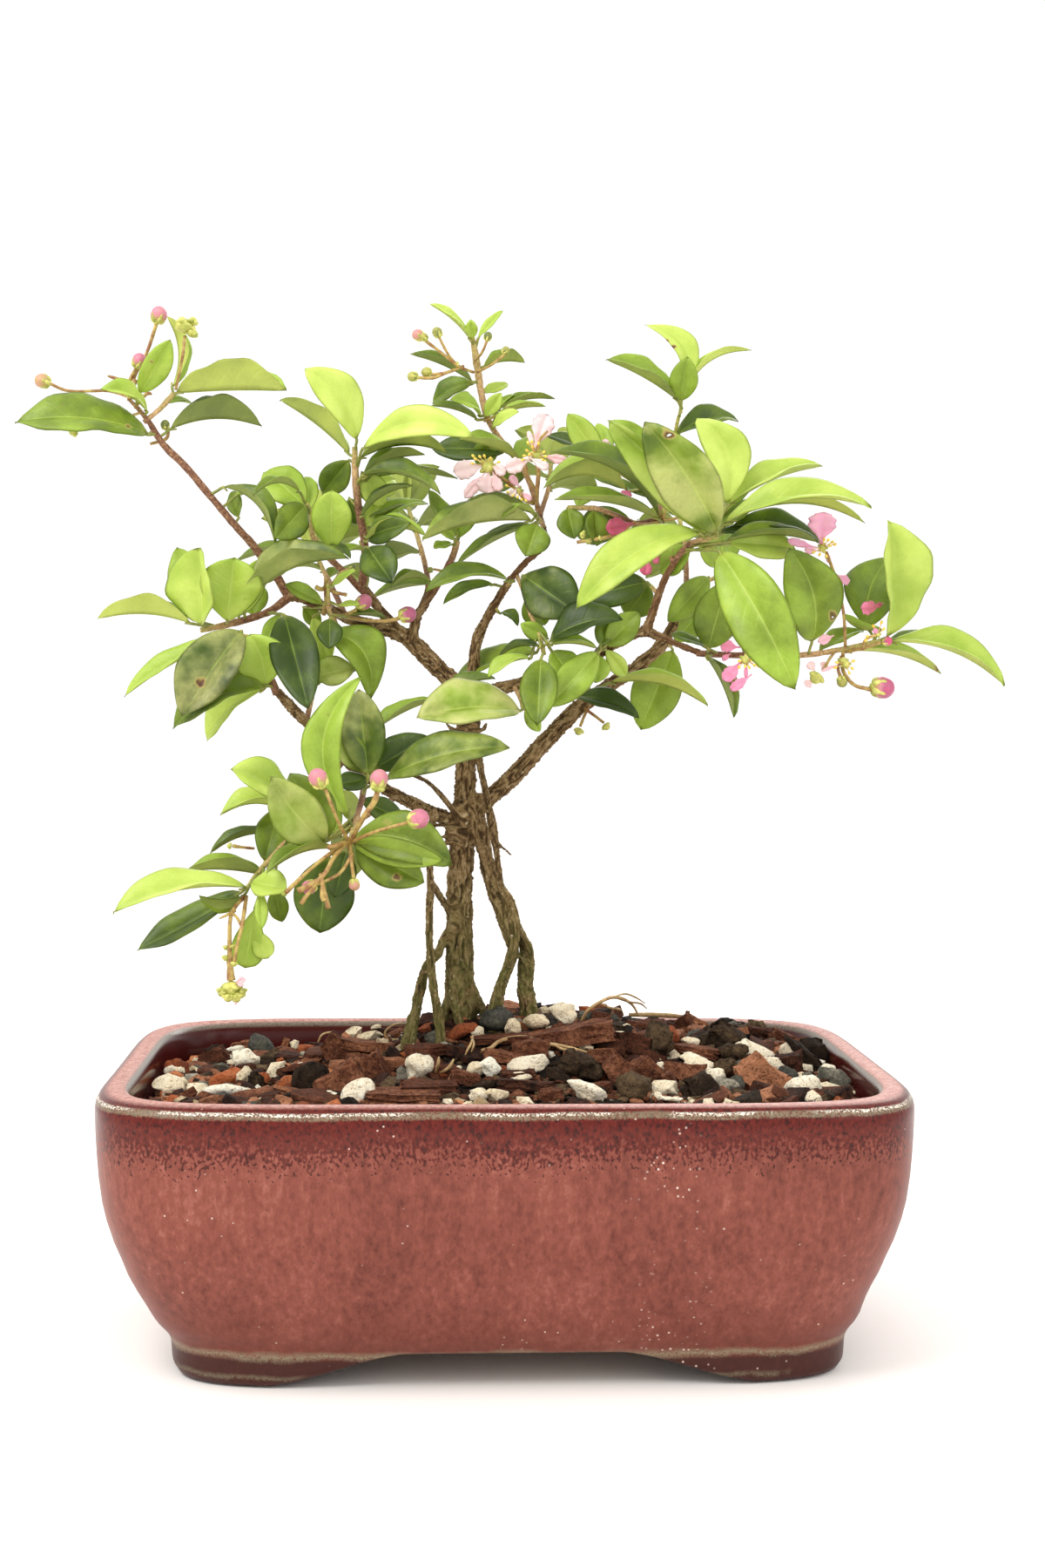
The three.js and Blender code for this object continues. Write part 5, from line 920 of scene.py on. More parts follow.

# Chips set one by one, as seen in the photograph: pixel x, y of the middle, width, height, kind, turn, tone
# kinds: 0 bark, 1 pumice, 2 fired clay, 3 humus, 4 grit
barkKind, pumiceKind, humusKind, gritKind = 0, 1, 3, 4
chips = [
    (175, 1230, 20, 14, 1, 10, 0.7), (197, 1227, 24, 18, 2, -15, 0.15), (183, 1249, 34, 22, 1, -10, 0.6),
    (208, 1246, 14, 14, 1, 0, 0.35), (228, 1252, 25, 16, 1, -15, 0.6), (263, 1254, 46, 17, 1, 0, 1),
    (260, 1240, 36, 20, 2, 25, 0.55), (281, 1217, 28, 22, 1, -25, 0.85), (281, 1240, 16, 26, 1, 0, 0.5),
    (303, 1238, 14, 12, 2, -20, 0.5), (295, 1243, 16, 20, 3, 0, 0.5), (302, 1207, 34, 22, 4, -60, 0.12),
    (322, 1200, 20, 7, 0, 70, 0.8), (335, 1197, 11, 12, 1, 0, 0.6), (352, 1208, 18, 17, 2, 10, 0.25),
    (322, 1219, 8, 9, 2, 0, 0.5), (328, 1250, 15, 17, 2, 0, 0.3), (240, 1202, 24, 8, 1, 5, 1),
    (244, 1215, 28, 16, 0, 20, 0.35), (228, 1206, 22, 12, 3, 25, 0.3), (269, 1203, 20, 12, 0, 0, 0.6),
    (355, 1243, 40, 30, 3, 40, 0.35), (390, 1245, 48, 32, 0, 25, 0.6), (412, 1253, 32, 24, 1, 20, 0.8),
    (432, 1228, 36, 22, 0, -65, 0.5), (388, 1205, 32, 24, 0, -45, 0.45), (422, 1200, 70, 10, 0, -5, 0.65),
    (406, 1187, 20, 12, 1, 15, 0.55), (426, 1191, 30, 13, 1, 0, 0.4), (442, 1197, 16, 10, 1, -30, 0.3),
    (433, 1181, 10, 8, 1, 0, 0.5), (460, 1258, 78, 10, 0, 0, 0.6), (477, 1226, 34, 27, 1, 0, 0.8),
    (461, 1234, 10, 18, 4, 0, 0.6), (488, 1206, 44, 13, 0, 5, 0.4), (492, 1250, 62, 14, 0, 0, 0.35),
    (530, 1184, 32, 13, 2, 22, 0.2), (549, 1185, 14, 13, 1, 0, 0.55), (569, 1170, 30, 24, 4, 0, 0.1),
    (590, 1180, 16, 18, 1, 0, 0.35), (575, 1193, 60, 8, 0, 2, 0.45), (655, 1188, 80, 18, 0, 8, 0.55),
    (610, 1204, 36, 17, 0, 0, 0.55), (580, 1214, 46, 11, 0, -8, 0.65), (549, 1226, 28, 14, 1, 15, 0.45),
    (562, 1226, 20, 18, 1, -10, 1), (608, 1222, 44, 19, 1, 12, 0.75), (600, 1236, 28, 9, 1, 5, 0.6),
    (615, 1172, 26, 14, 1, 0, 0.35), (647, 1164, 28, 22, 1, 0, 0.6), (604, 1247, 62, 12, 0, -2, 0.1),
    (596, 1234, 34, 8, 0, 4, 0.3), (534, 1238, 26, 13, 0, -15, 0.45), (556, 1246, 24, 9, 3, 10, 0.5),
    (640, 1236, 26, 12, 3, -20, 0.4), (675, 1254, 42, 20, 1, -30, 0.8), (548, 1256, 22, 12, 1, 10, 0.6),
    (572, 1256, 24, 12, 1, 0, 0.4), (666, 1226, 38, 30, 3, -10, 0.55), (690, 1212, 30, 13, 0, 0, 0.65),
    (712, 1232, 38, 26, 0, -48, 0.5), (632, 1257, 22, 14, 0, 0, 0.45), (631, 1210, 12, 8, 1, 0, 0.9),
    (655, 1215, 14, 10, 1, 20, 0.4), (674, 1202, 16, 9, 1, 0, 0.3), (702, 1200, 30, 16, 0, -5, 0.2),
    (704, 1189, 30, 7, 1, 5, 0.6), (728, 1250, 34, 27, 3, 0, 0.8), (724, 1199, 40, 18, 0, -12, 0.2),
    (755, 1197, 26, 34, 3, 0, 0.7), (769, 1188, 20, 16, 2, -25, 0.3), (790, 1180, 28, 16, 0, -55, 0.4),
    (793, 1197, 20, 10, 1, -10, 0.6), (838, 1209, 30, 16, 3, 10, 0.6), (797, 1206, 46, 9, 0, -8, 0.55),
    (803, 1168, 22, 9, 0, -38, 0.9), (828, 1192, 48, 30, 3, -15, 0.5), (858, 1203, 48, 15, 1, -16, 0.7),
    (798, 1218, 46, 11, 1, -10, 0.7), (816, 1237, 32, 15, 1, 8, 0.8), (759, 1226, 14, 12, 1, 0, 0.6),
    (745, 1234, 38, 24, 0, -48, 0.55), (784, 1231, 40, 17, 0, -10, 0.6), (776, 1248, 36, 8, 0, -52, 0.5),
    (765, 1250, 28, 17, 1, -5, 0.6), (771, 1262, 20, 7, 1, 0, 0.8), (805, 1250, 40, 25, 3, 0, 0.45),
    (833, 1247, 26, 15, 4, 0, 0.75), (846, 1246, 16, 16, 4, 0, 0.2), (835, 1226, 26, 21, 3, 0, 0.75),
    (873, 1238, 48, 36, 0, -50, 1), (887, 1222, 24, 14, 1, -30, 0.75), (903, 1238, 24, 23, 4, 0, 0.15),
    (905, 1222, 28, 20, 0, 0, 0.1), (925, 1249, 38, 23, 1, 0, 0.85), (907, 1208, 24, 17, 1, 0, 0.6),
    (957, 1231, 22, 12, 1, 12, 0.8), (952, 1247, 26, 8, 1, -12, 0.7), (975, 1243, 30, 21, 4, -15, 0.45),
    (988, 1232, 56, 12, 3, -52, 0.35), (955, 1256, 44, 9, 0, 0, 0.2), (927, 1200, 42, 14, 0, -28, 0.5),
    (965, 1216, 28, 24, 3, 0, 0.2), (875, 1187, 32, 13, 0, -15, 0.2), (909, 1191, 16, 8, 1, 10, 0.6),
    (903, 1181, 18, 13, 3, 0, 0.9), (858, 1168, 26, 9, 3, 0, 0.2), (988, 1256, 22, 6, 1, 5, 0.5),
]

# Fine bare roots lying on the soil: pixel x, y and how far above the soil, then their radius
rootlets = [
    ([(553, 1206, 2.4), (563, 1203, 2.4), (574, 1195, 2.4), (590, 1191, 2.4), (605, 1191, 2.4),
      (622, 1197, 2.4), (642, 1200, 2.4), (660, 1204, 2.4), (674, 1208, 2)], 0.42),
    ([(636, 1199, 2.4), (645, 1204, 2.4), (656, 1206, 2.4), (668, 1206, 2)], 0.28),
    ([(543, 1189, 2), (541, 1198, 3), (537, 1205, 2.5), (534, 1212, 1)], 0.26),
    ([(541, 1190, 2), (544, 1200, 3), (541, 1208, 1.5)], 0.22),
    ([(447, 1196, 0), (442, 1186, 3), (449, 1178, 5), (459, 1175, 4), (470, 1177, 2)], 0.22),
    ([(500, 1232, 0), (503, 1222, 3), (504, 1213, 5)], 0.3),
    ([(506, 1232, 0), (516, 1225, 2), (521, 1216, 4)], 0.34),
    ([(365, 1197, 1), (370, 1188, 3), (384, 1184, 4)], 0.26),
    ([(668, 1172, 1), (675, 1160, 5), (688, 1151, 8), (702, 1145, 10), (716, 1147, 9), (728, 1156, 6),
      (733, 1166, 1)], 0.36),
    ([(690, 1152, 8), (701, 1157, 6), (712, 1159, 5), (716, 1166, 2)], 0.26),
    ([(703, 1145, 10), (716, 1141, 11), (730, 1145, 9), (741, 1152, 7)], 0.2),
    ([(709, 1146, 9), (722, 1150, 8), (735, 1152, 7), (743, 1158, 4)], 0.22),
    ([(722, 1165, 1), (745, 1165, 2.4), (770, 1166, 2.4), (792, 1168, 1)], 0.6),
]


def soilHeight(x, y):
    mound = math.exp(-((x - soil["moundX"]) / soil["moundHalfX"]) ** 2 - (y / soil["moundHalfY"]) ** 2)
    right = hold((x - soil["rightFrom"]) / soil["rightRun"])
    right *= hold((soil["rightEnd"] - x) / soil["rightFall"])
    right *= hold((y - soil["backFrom"]) / soil["backRun"])
    front = hold((-y - soil["frontFrom"]) / soil["frontRun"])
    height = soil["edgeHeight"] + soil["moundHeight"] * mound
    return height + soil["rightRise"] * right + soil["frontRise"] * front


# Where a point lies in the soil's outline, 1 at its edge
def soilReach(shareX, shareY):
    return (abs(shareX) ** soil["power"] + abs(shareY) ** soil["power"]) ** (1 / soil["power"])


def makeSoil(finish):
    # inset from the rim's outline and height, under and up the wall, then over the top
    profile = [(pot["halfWidth"], 20), (26, 20), (18.6, 24), (13.6, 34), (11.3, 50), (soil["wall"], 60)]
    around, wallSteps, topSteps = soil["around"], len(profile) - 1, soil["topRings"]
    ring = ringShape(soil["power"], pot["halfWidth"] - soil["wall"], pot["halfDepth"] - soil["wall"], around)
    steps = wallSteps + topSteps

    def spotAt(t, s):
        step = round(t * steps)
        shape = ring[round(s * around) % around]
        if step <= wallSteps:
            inset, height = profile[step]
            if step == 0:
                return Vector((0, 0, height))
            x, y = (pot["halfWidth"] - inset) * shape.x, (pot["halfDepth"] - inset) * shape.y
            return Vector((x, y, height))
        share = 1 - (step - wallSteps) / topSteps
        x = (pot["halfWidth"] - soil["wall"]) * shape.x * share
        y = (pot["halfDepth"] - soil["wall"]) * shape.y * share
        low = 2.0 - noise.fractal(Vector((x, y, 3)) * 0.16, 0.8, 2.1, 4) * 1.5
        return Vector((x, y, soilHeight(x, y) - low))

    bm = startPiece()
    made = addSheet(bm, steps, around, spotAt)[0]
    bmesh.ops.remove_doubles(bm, verts=made, dist=0.01)
    finishPiece(bm, "soil_filling", [finish], ["soil"])


# One rough chip in a mesh of its own, then gathered into the piece
def addChip(whole, centre, size, turn, kind, tone, draw, fine=False):
    bm = startPiece()
    slab = kind == barkKind
    if slab:
        made = bmesh.ops.create_cube(bm, size=1)["verts"]
        edges = list({e for v in made for e in v.link_edges})
        if fine:
            bmesh.ops.subdivide_edges(bm, edges=edges, cuts=4, use_grid_fill=True)
        else:
            bmesh.ops.bevel(bm, geom=edges, offset=0.16, offset_type="OFFSET", segments=1, profile=0.5,
                            affect="EDGES", material=-1)
    else:
        bmesh.ops.create_icosphere(bm, subdivisions=3 if fine else 1, radius=0.56)
    look = bm.verts.layers.float_color["look"]
    drift = Vector((draw.uniform(0, 90), draw.uniform(0, 90), draw.uniform(0, 90)))
    longest = max(size)
    facets = [Vector((draw.gauss(0, 1), draw.gauss(0, 1), draw.gauss(0, 1))).normalized() for _ in range(5)]
    for v in bm.verts:
        shape = Vector((v.co.x * size[0], v.co.y * size[1], v.co.z * size[2])) / longest
        lump = noise.noise_vector(shape * (2.3 if fine else 3.4) + drift)
        for facet in facets if kind == pumiceKind else []:  # pumice breaks in flat faces
            v.co -= facet * max(v.co.dot(facet) - 0.36, 0) * 0.85
        if slab:
            taper = 1 - 0.34 * v.co.x * (1 if drift.x > 45 else -1)
            v.co.y *= taper
            v.co.z *= taper
            v.co += Vector((lump.x * 0.12, lump.y * 0.16, lump.z * 0.17))
            if fine:  # fibres run along the chip
                fibre = noise.noise(Vector((v.co.x * 1.2, v.co.y * 9, v.co.z * 9)) + drift)
                v.co += Vector((fibre * 0.10, v.co.y * fibre * 0.22, v.co.z * fibre * 0.30))
        else:
            v.co += lump * (0.3 if kind == humusKind else 0.22)
            if fine:
                rough = 0.15 if kind == humusKind else 0.045
                v.co += noise.noise_vector(shape * 7 + drift) * rough
                v.co += noise.noise_vector(shape * 17 + drift) * rough * 0.7
        v[look] = (tone, draw.random() * 0.2, 0, 1)
    for face in bm.faces:
        face.material_index = kind
        face.smooth = fine and not slab
    place = Matrix.Translation(centre) @ turn @ Matrix.Diagonal((*size, 1))
    bmesh.ops.transform(bm, matrix=place, verts=bm.verts)
    gather(whole, bm)


def scatterChips(finishes, placed):
    draw = random.Random(soil["seed"])
    groups = (
        ("soil_chips", soil["chips"], 1.0, soil["chipMix"]),
        ("soil_crumbs", soil["crumbs"], soil["crumbScale"], soil["crumbMix"]),
    )
    for name, count, scale, kinds in groups:
        bm = startPiece()
        for _ in range(count):
            shareX, shareY = draw.uniform(-1, 1), draw.uniform(-1, 1)
            outward = soilReach(shareX, shareY)
            if outward > 1:
                shareX, shareY = shareX / outward * 0.98, shareY / outward * 0.98
            pick, kind = draw.random(), gritKind
            for option, share in enumerate(kinds):
                if pick < share:
                    kind = option
                    break
                pick -= share
            grade = draw.random() ** 1.5
            if kind == barkKind:
                wide, thick = 3.4 + 4 * draw.random() * (0.5 + grade), 1.6 + 2.4 * draw.random()
                size = Vector((5 + 9 * grade, wide, thick))
            elif kind == humusKind:
                size = Vector((4 + 6 * grade, 2.8 + 3.6 * grade, 2 + 2.2 * grade))
            else:
                size = Vector((3 + 3.8 * grade, 2.7 + 3.2 * grade, 2.3 + 2.8 * grade))
            size *= scale
            tone = draw.random() ** (1.7 if kind == barkKind else 1)
            margin = max(size) * 0.5 - 0.7
            x = (pot["halfWidth"] - soil["wall"] - margin) * shareX
            y = (pot["halfDepth"] - soil["wall"] - margin) * shareY
            turn = Matrix.Rotation(draw.uniform(0, math.tau), 4, "Z")
            turn = turn @ Matrix.Rotation(draw.gauss(0, 0.32), 4, "X")
            turn = turn @ Matrix.Rotation(draw.gauss(0, 0.28), 4, "Y")
            height = soilHeight(x, y) - 0.8 + draw.uniform(-0.6, 0.9) * scale
            room = placed.find(Vector((x, y, height)))[2] - max(size) * 0.4
            if room < soil["clear"] * scale:
                height -= (1.8 if room > 1.2 else 3.2) * scale
            addChip(bm, Vector((x, y, height)), size, turn, kind, tone, draw)
        finishPiece(bm, name, finishes, ["soil"])


# The sight line through a pixel of the photograph
def sightLine(px, py):
    c, s = math.cos(view["roll"]), math.sin(view["roll"])
    wide, high = view["photo"]
    u = (px - wide / 2) * c + (py - high / 2) * s
    v = -(px - wide / 2) * s + (py - high / 2) * c
    level, upright, forward = viewAxes()
    return (forward + level * (u / pixelFocal) - upright * (v / pixelFocal)).normalized()


# Where that line meets the soil, or a surface the given height above it
def onSoil(px, py, above=0.0):
    ray = sightLine(px, py)
    spot = Vector(view["eye"]) + ray * soil["sightStart"]
    backWall = pot["halfDepth"] - soil["wall"] - 2
    for _ in range(soil["sightSteps"]):
        spot += ray * soil["sightStep"]
        inside = spot.y > -backWall
        if inside and (spot.z < soilHeight(spot.x, spot.y) + above or spot.y > backWall):
            return spot
    return spot


def setChips(finishes):
    draw = random.Random(soil["seed"] + 1)
    bm = startPiece()
    spots = []
    for px, py, wide, high, kind, turned, tone in chips:
        foot = onSoil(px, py + high * 0.28)
        scale = (foot - Vector(view["eye"])).length / pixelFocal
        width, height = wide * scale * 1.06, high * scale * 1.08
        deep = min((width + height) / 2 * (0.8 if kind in (barkKind, humusKind) else 0.9), 9)
        centre = foot + Vector((0, 0, height * 0.26))
        across = pot["halfWidth"] - soil["wall"] - width * 0.45
        along = pot["halfDepth"] - soil["wall"] - deep * 0.42
        reach = soilReach(centre.x / across, centre.y / along)
        if reach > 1:  # no chip stands in the wall
            centre.x, centre.y = centre.x / reach, centre.y / reach
            centre.z = soilHeight(centre.x, centre.y) + height * 0.26
        turn = Matrix.Rotation(draw.uniform(-0.25, 0.25), 4, "Z")
        turn = turn @ Matrix.Rotation(-math.radians(turned), 4, "Y")
        turn = turn @ Matrix.Rotation(draw.uniform(-0.2, 0.2), 4, "X")
        addChip(bm, centre, (width, deep, height), turn, kind, tone, draw, True)
        spots.append(centre)
    finishPiece(bm, "soil_top_chips", finishes, ["soil"])
    placed = KDTree(len(spots))
    for i, spot in enumerate(spots):
        placed.insert(spot, i)
    placed.balance()
    return placed


def makeRootlets(finish):
    bm = startPiece()
    for points, radius in rootlets:
        route = [onSoil(px, py, lift) for px, py, lift in points]
        middle = sorted(spot.y for spot in route)[len(route) // 2]
        for i, (px, py, lift) in enumerate(points):  # each point keeps near the depth of the others
            goal = min(max(route[i].y, middle - soil["rootletSpread"]), middle + soil["rootletSpread"])
            ray, eye = sightLine(px, py), Vector(view["eye"])
            route[i] = eye + ray * ((goal - eye.y) / ray.y)
        radius *= soil["rootlet"]
        addTube(bm, route, [radius * 0.8, radius, radius, radius * 0.5], 6, len(route) * 5)
    finishPiece(bm, "bare_rootlets", [finish], ["soil"])


# Shoots: twigs as x, z, y, radius and, on some, how woody from 0 green to 1 brown
# leaves as base x, z, y, tip x, z, y, width, face, fold, bow, tone and, on some, sway, painted sheen, blunt
shoots = {
    "shoot_upper_left": {
        "twigs": [
            [[-57.5, 194.5, 4, 1.3], [-61, 200, 3, 1.2], [-66, 206.5, 2, 1.1], [-71, 212, 1, 1],
             [-76.5, 218.5, 0, 0.95], [-84, 227.3, -1, 1, 1], [-90, 233.2, -2, 0.9, 1],
             [-94, 239.5, -2, 0.7, 0.8], [-98.5, 244.5, -3, 0.5, 0.6]],
            [[-94, 239.5, -2, 0.65, 0.5], [-90, 243, -2, 0.65, 0.3], [-87, 246.5, -3, 0.7, 0.15]],
        ],
        "leaves": [
            [-93.5, 235.5, -5, -128.5, 238, -12, 18, -55, 15, 3, 35],
            [-94, 241.5, -4, -106.5, 247, -9, 9, -60, 30, 2, 70],
            [-96, 246.5, -5, -88, 260.6, -9, 8, -15, 20, 0.5, 55],
            [-87.5, 248, -1, -89, 266.5, 6, 8, -80, 50, 2.5, 60],
            [-86.5, 246.5, -3, -57.5, 247.5, -10, 18, 95, 58, 0.5, 60],
            [-88, 237, 0, -64, 238, 6, 14, 95, 58, 2.5, 22],
            [-90.5, 243, 0, -82.5, 243.8, 8, 4, 60, 30, 1, 40],
            [-94, 235.5, 2, -101, 236.5, 8, 4.5, -60, 20, 0, 60],
            [-74, 222, -2, -60.5, 207, -8, 9, 60, 50, 4, 25],
            [-70, 214, 4, -71.5, 221, 10, 5, 20, 25, 0, 25],
            [-71, 219.5, 4, -63, 222.3, 12, 4, 80, 30, 0, 50],
        ],
    },
    "shoot_left_tip": {
        "twigs": [
            [[-57.6, 192.6, 3, 1.2], [-62, 189.3, 0, 1], [-67, 187.5, -2, 1], [-73, 185.8, -4, 0.9],
             [-80, 184.2, -6, 0.7]],
        ],
        "leaves": [
            [-79.5, 185.5, -8, -80.5, 206, -12, 21, 50, 28, -1, 68],
            [-80, 186, -2, -86, 206, 6, 11, 10, 20, 0, 55],
            [-82.5, 186, -6, -107, 187, -8, 13, -95, 45, 2, 78],
            [-82, 187, 0, -94, 192, 8, 6, -70, 20, 0, 28],
            [-73, 186.6, -7, -71.2, 203.6, -12, 17, 0, 18, 0, 62, 0, 0, 0.6],
            [-70, 188, -3, -64.5, 203, 2, 8, -10, 20, 0, 58], [-66, 188, 2, -66, 197, 10, 8, 0, 15, 0, 50],
            [-68.5, 190.5, -6, -41, 203.5, -16, 17, 75, 50, 4, 26, 0, 55],
            [-58, 188.5, -10, -51.5, 163.5, -34, 13, 0, 18, 1, 12],
            [-59, 188.5, -4, -63.5, 180.5, -6, 5, 0, 15, 0, 50],
        ],
    },
    "shoot_left_hanging": {
        "twigs": [
            [[-60.5, 169.2, -14, 1.1], [-63.5, 176, -14, 0.9], [-67, 182, -14, 0.8],
             [-69.5, 183, -15, 0.6]],
        ],
        "leaves": [
            [-69.2, 184.2, -17, -85, 161.4, -26, 17.5, -22, 28, 1, 17, 0, 58],
            [-70.5, 182.5, -12, -100, 166.5, -14, 9, -60, 30, 2, 60],
            [-62.8, 169.8, -15, -67, 183.4, -18, 15, 8, 18, 0, 72, -1, 0, 0.4],
            [-62.8, 169.6, -17, -87.2, 158, -21, 15, -48, 30, 2, 33, -1, 12],
            [-63.4, 168.8, -13, -78.2, 154.8, -10, 10, -52, 22, 1, 76, -1.5, 0, 0.6],
        ],
    },
    "shoot_left_crown": {
        "twigs": [
            [[-37.2, 194.6, 4.6, 0.8], [-41.5, 199.3, 1.5, 0.9], [-47, 204.5, 0, 0.9],
             [-50.5, 209.5, -2, 0.8], [-51, 214, -2, 0.7], [-52, 218, -2, 0.6]],
        ],
        "leaves": [
            [-53, 206, 2, -70.5, 202.5, 10, 8, -75, 30, 1, 40],
            [-47.6, 206.4, -3, -40.5, 203.5, -8, 5, 70, 30, 1, 12],
            [-52.6, 217.4, -4.5, -60.5, 208.5, -14, 9.5, 10, 15, 0, 22],
            [-45.6, 205.6, -5, -45.6, 221.6, -12, 11, 0, 15, 0.5, 58, 0, 0, 0.5],
            [-51.5, 216, 2, -52, 225, 10, 6, 0, 20, 0, 65],
            [-52.5, 217, 2, -63.5, 226, 6, 12, -20, 18, 1, 58],
            [-54, 221, -6, -66.5, 219.5, -17, 5, -80, 40, 3, 22],
        ],
    },
    "shoot_left_inner": {
        "twigs": [
            [[-46, 190.6, 1.4, 0.7], [-46.3, 190.4, -1.5, 0.7], [-46.4, 193, -4, 0.6],
             [-46.5, 197, -6, 0.45]],
            [[-46.4, 191.2, -2.2, 0.6], [-45.6, 187.8, -4, 0.5], [-44.5, 186, -6, 0.4]],
        ],
        "leaves": [
            [-46, 187.5, -7, -46, 179.5, -12, 7, 0, 12, 0, 10],
            [-48.5, 183.8, 0, -35, 166.3, -4, 14, 26, 25, 4, 42, 4],
            [-50.5, 188, 2, -46.5, 176, 4, 7, 10, 20, 1, 82],
            [-53, 190.5, 6, -48.5, 185.5, 7, 5, 10, 20, 0, 30],
            [-43.5, 191, -5, -38, 191.2, -7, 3.5, 60, 20, 0, 62],
            [-42, 188.2, -2, -31, 187.6, 0, 5, 70, 35, 0.8, 22],
            [-45.5, 196, -6, -39, 200.5, -8, 4, 60, 20, 0, 60],
            [-48, 191.5, -4, -58, 196.5, -6, 6, -40, 20, 0, 35],
        ],
    },
    "shoot_low_branch": {
        "twigs": [[[-52, 161, -12, 0.8], [-51, 165, -9, 0.65], [-50, 169, -7, 0.5]]],
        "leaves": [
            [-49.5, 170, -6, -36, 174.5, 2, 9, 60, 20, 1, 28],
            [-50.5, 170, -4, -47, 180, 6, 8, 0, 15, 0, 55], [-51, 168, -6, -57, 175, 2, 6, 0, 15, 0, 40],
            [-49.8, 172, -6, -39.4, 174.4, -6, 9, 20, 20, 0.5, 42, 0, 65],
        ],
    },
    "shoot_high_left": {
        "twigs": [
            [[-37.4, 197.4, 6, 1.2], [-36.6, 204, 5, 1.1], [-37.2, 210, 4, 1.05], [-38.2, 215, 3, 1],
             [-39, 221, 2, 0.95], [-39.4, 227, 1, 0.9], [-39.5, 233, 0, 0.7]],
        ],
        "leaves": [
            [-39, 235, -2, -52.9, 253.4, -10, 12, -20, 20, 1, 90, -2.6],
            [-41, 231, 2, -59.3, 245, 8, 12, -100, 40, 1, 50],
            [-41, 229.5, 4, -48, 220.5, 10, 8.5, 0, 20, 0, 35],
            [-37.4, 232.6, -3, -8, 236.2, -14, 9.6, 25, 18, 1, 88, 4.6],
            [-38, 230, 1, -15, 231.5, 6, 12, 75, 50, 3, 45],
            [-37.5, 224.5, 0, -21, 231, 4, 8, 80, 50, 2, 30],
            [-37.5, 225.5, -2, -16.8, 220.7, -8, 9, 60, 40, 3, 26, 0, 40],
            [-38, 224, 2, -12.3, 224.8, 10, 6, 80, 40, 2, 30],
            [-38.5, 219.5, 5, -29, 224.5, 12, 10, 20, 20, 1, 85],
            [-37.8, 214.5, 1, -24, 222.8, -2, 6, 80, 40, 2, 25],
            [-37.3, 212.2, 4.6, -28, 217.5, 10, 9, 30, 15, 0, 80],
            [-35.6, 211.6, 5.5, -20, 218, 12, 8, 60, 25, 2, 50],
            [-36, 209, 0, -24.5, 213, -10, 8, 20, 20, 1, 14],
            [-36.8, 208, -2, -20.5, 209.5, -6, 9, 80, 50, 3, 55],
            [-36, 206.5, -3, -29.5, 197.3, -14, 10.5, 5, 15, 0, 12],
            [-36.5, 205.5, 1, -43.5, 204.3, -4, 5, -70, 30, 1, 40],
            [-37.5, 226.5, 3, -32, 217.5, 5, 8, 5, 20, 0, 84],
            [-41, 219.5, 4, -38.5, 212.5, 6, 6, 0, 20, 0, 24],
            [-36.5, 214, 6, -25, 217.5, 12, 8, 60, 25, 1, 30],
            [-38, 208, 6, -26, 214, 14, 8, 40, 25, 1, 70],
        ],
    },
    "shoot_centre": {
        "twigs": [[[-17.6, 196.8, 5, 1.1], [-15, 201, 5, 1], [-13.2, 205, 5, 0.9], [-12.3, 208.5, 5, 0.8]]],
        "leaves": [
            [-13.5, 207.5, 6, -18.5, 206.3, 2, 5, -60, 20, 0, 40],
            [-19, 197.5, 2, -30, 195.5, 0, 7, -80, 40, 2, 35],
            [-18.5, 197, 7, -35, 193, 14, 7, -70, 30, 1, 42],
            [-13, 209, 3, -18.5, 213, -2, 4.5, -40, 20, 0, 55],
            [-12.3, 209.5, 6, -20, 222, 10, 8, -50, 35, -2, 40],
            [-12, 209, 7, -8, 219, 14, 7, 20, 20, 0, 50],
        ],
    },
    "shoot_crown_centre": {
        "twigs": [[[10.6, 212.6, 4, 0.7], [9.8, 214, 0, 0.65], [8.5, 215.3, -3, 0.55]]],
        "leaves": [
            [7.5, 214, -4, -21.5, 208.5, -12, 16, -90, 50, 2, 30, 0, 45],
            [7, 216.5, -1, -10.5, 218.3, 4, 7, -85, 35, 2, 40],
            [7.5, 213, 0, -12.5, 202, 4, 7, -70, 30, 1, 28], [8, 212.5, 0, -7, 207, 8, 6, -70, 30, 1, 24],
            [9, 213, -4, 6, 204.5, -9, 10, 0, 15, 0, 34],
            [8.5, 216, -4, -0.5, 214.2, -8, 6, -80, 40, 1.5, 45],
        ],
    },
    "shoot_top": {
        "twigs": [
            [[9.4, 216.4, 5.2, 0.8, 0.7], [8, 221, 6, 0.75, 0.6], [5, 228, 6, 0.75, 0.4],
             [1, 233, 6, 0.8, 0.3], [-2, 236.8, 6, 0.8, 0.42], [-4.6, 241.5, 6, 0.85, 0.45],
             [-6, 247, 6, 0.9, 0.42], [-6.8, 252, 6, 0.95, 0.3], [-7.6, 257, 5, 0.95, 0.2],
             [-8.6, 262.5, 4, 0.6, 0.15]],
        ],
        "leaves": [
            [-9, 261.5, 3, -20, 270.8, -2, 5, -70, 30, 1, 75],
            [-8.6, 262, 3, -9, 267, 0, 3.6, 0, 20, 0, 60], [-7, 262, 4, -0.5, 269.3, 8, 3.5, 40, 30, 0, 72],
            [-8.5, 250.5, 5, -25, 257.5, 0, 7, -80, 40, 1, 28],
            [-5.5, 254.5, 5, 5.5, 255.7, 8, 8, 90, 50, 1, 35],
            [-8.5, 250, 8, -19, 244.5, 14, 9, -50, 20, 1, 24],
            [-6.5, 241.5, 4, -14.5, 245.6, -3, 7, -60, 25, 1.5, 52],
            [-7, 240.5, 6, -19.3, 244, 4, 5, -75, 35, 1, 28],
            [-5, 241.5, 3, -0.8, 247.8, -1, 4.5, 0, 25, 0, 65],
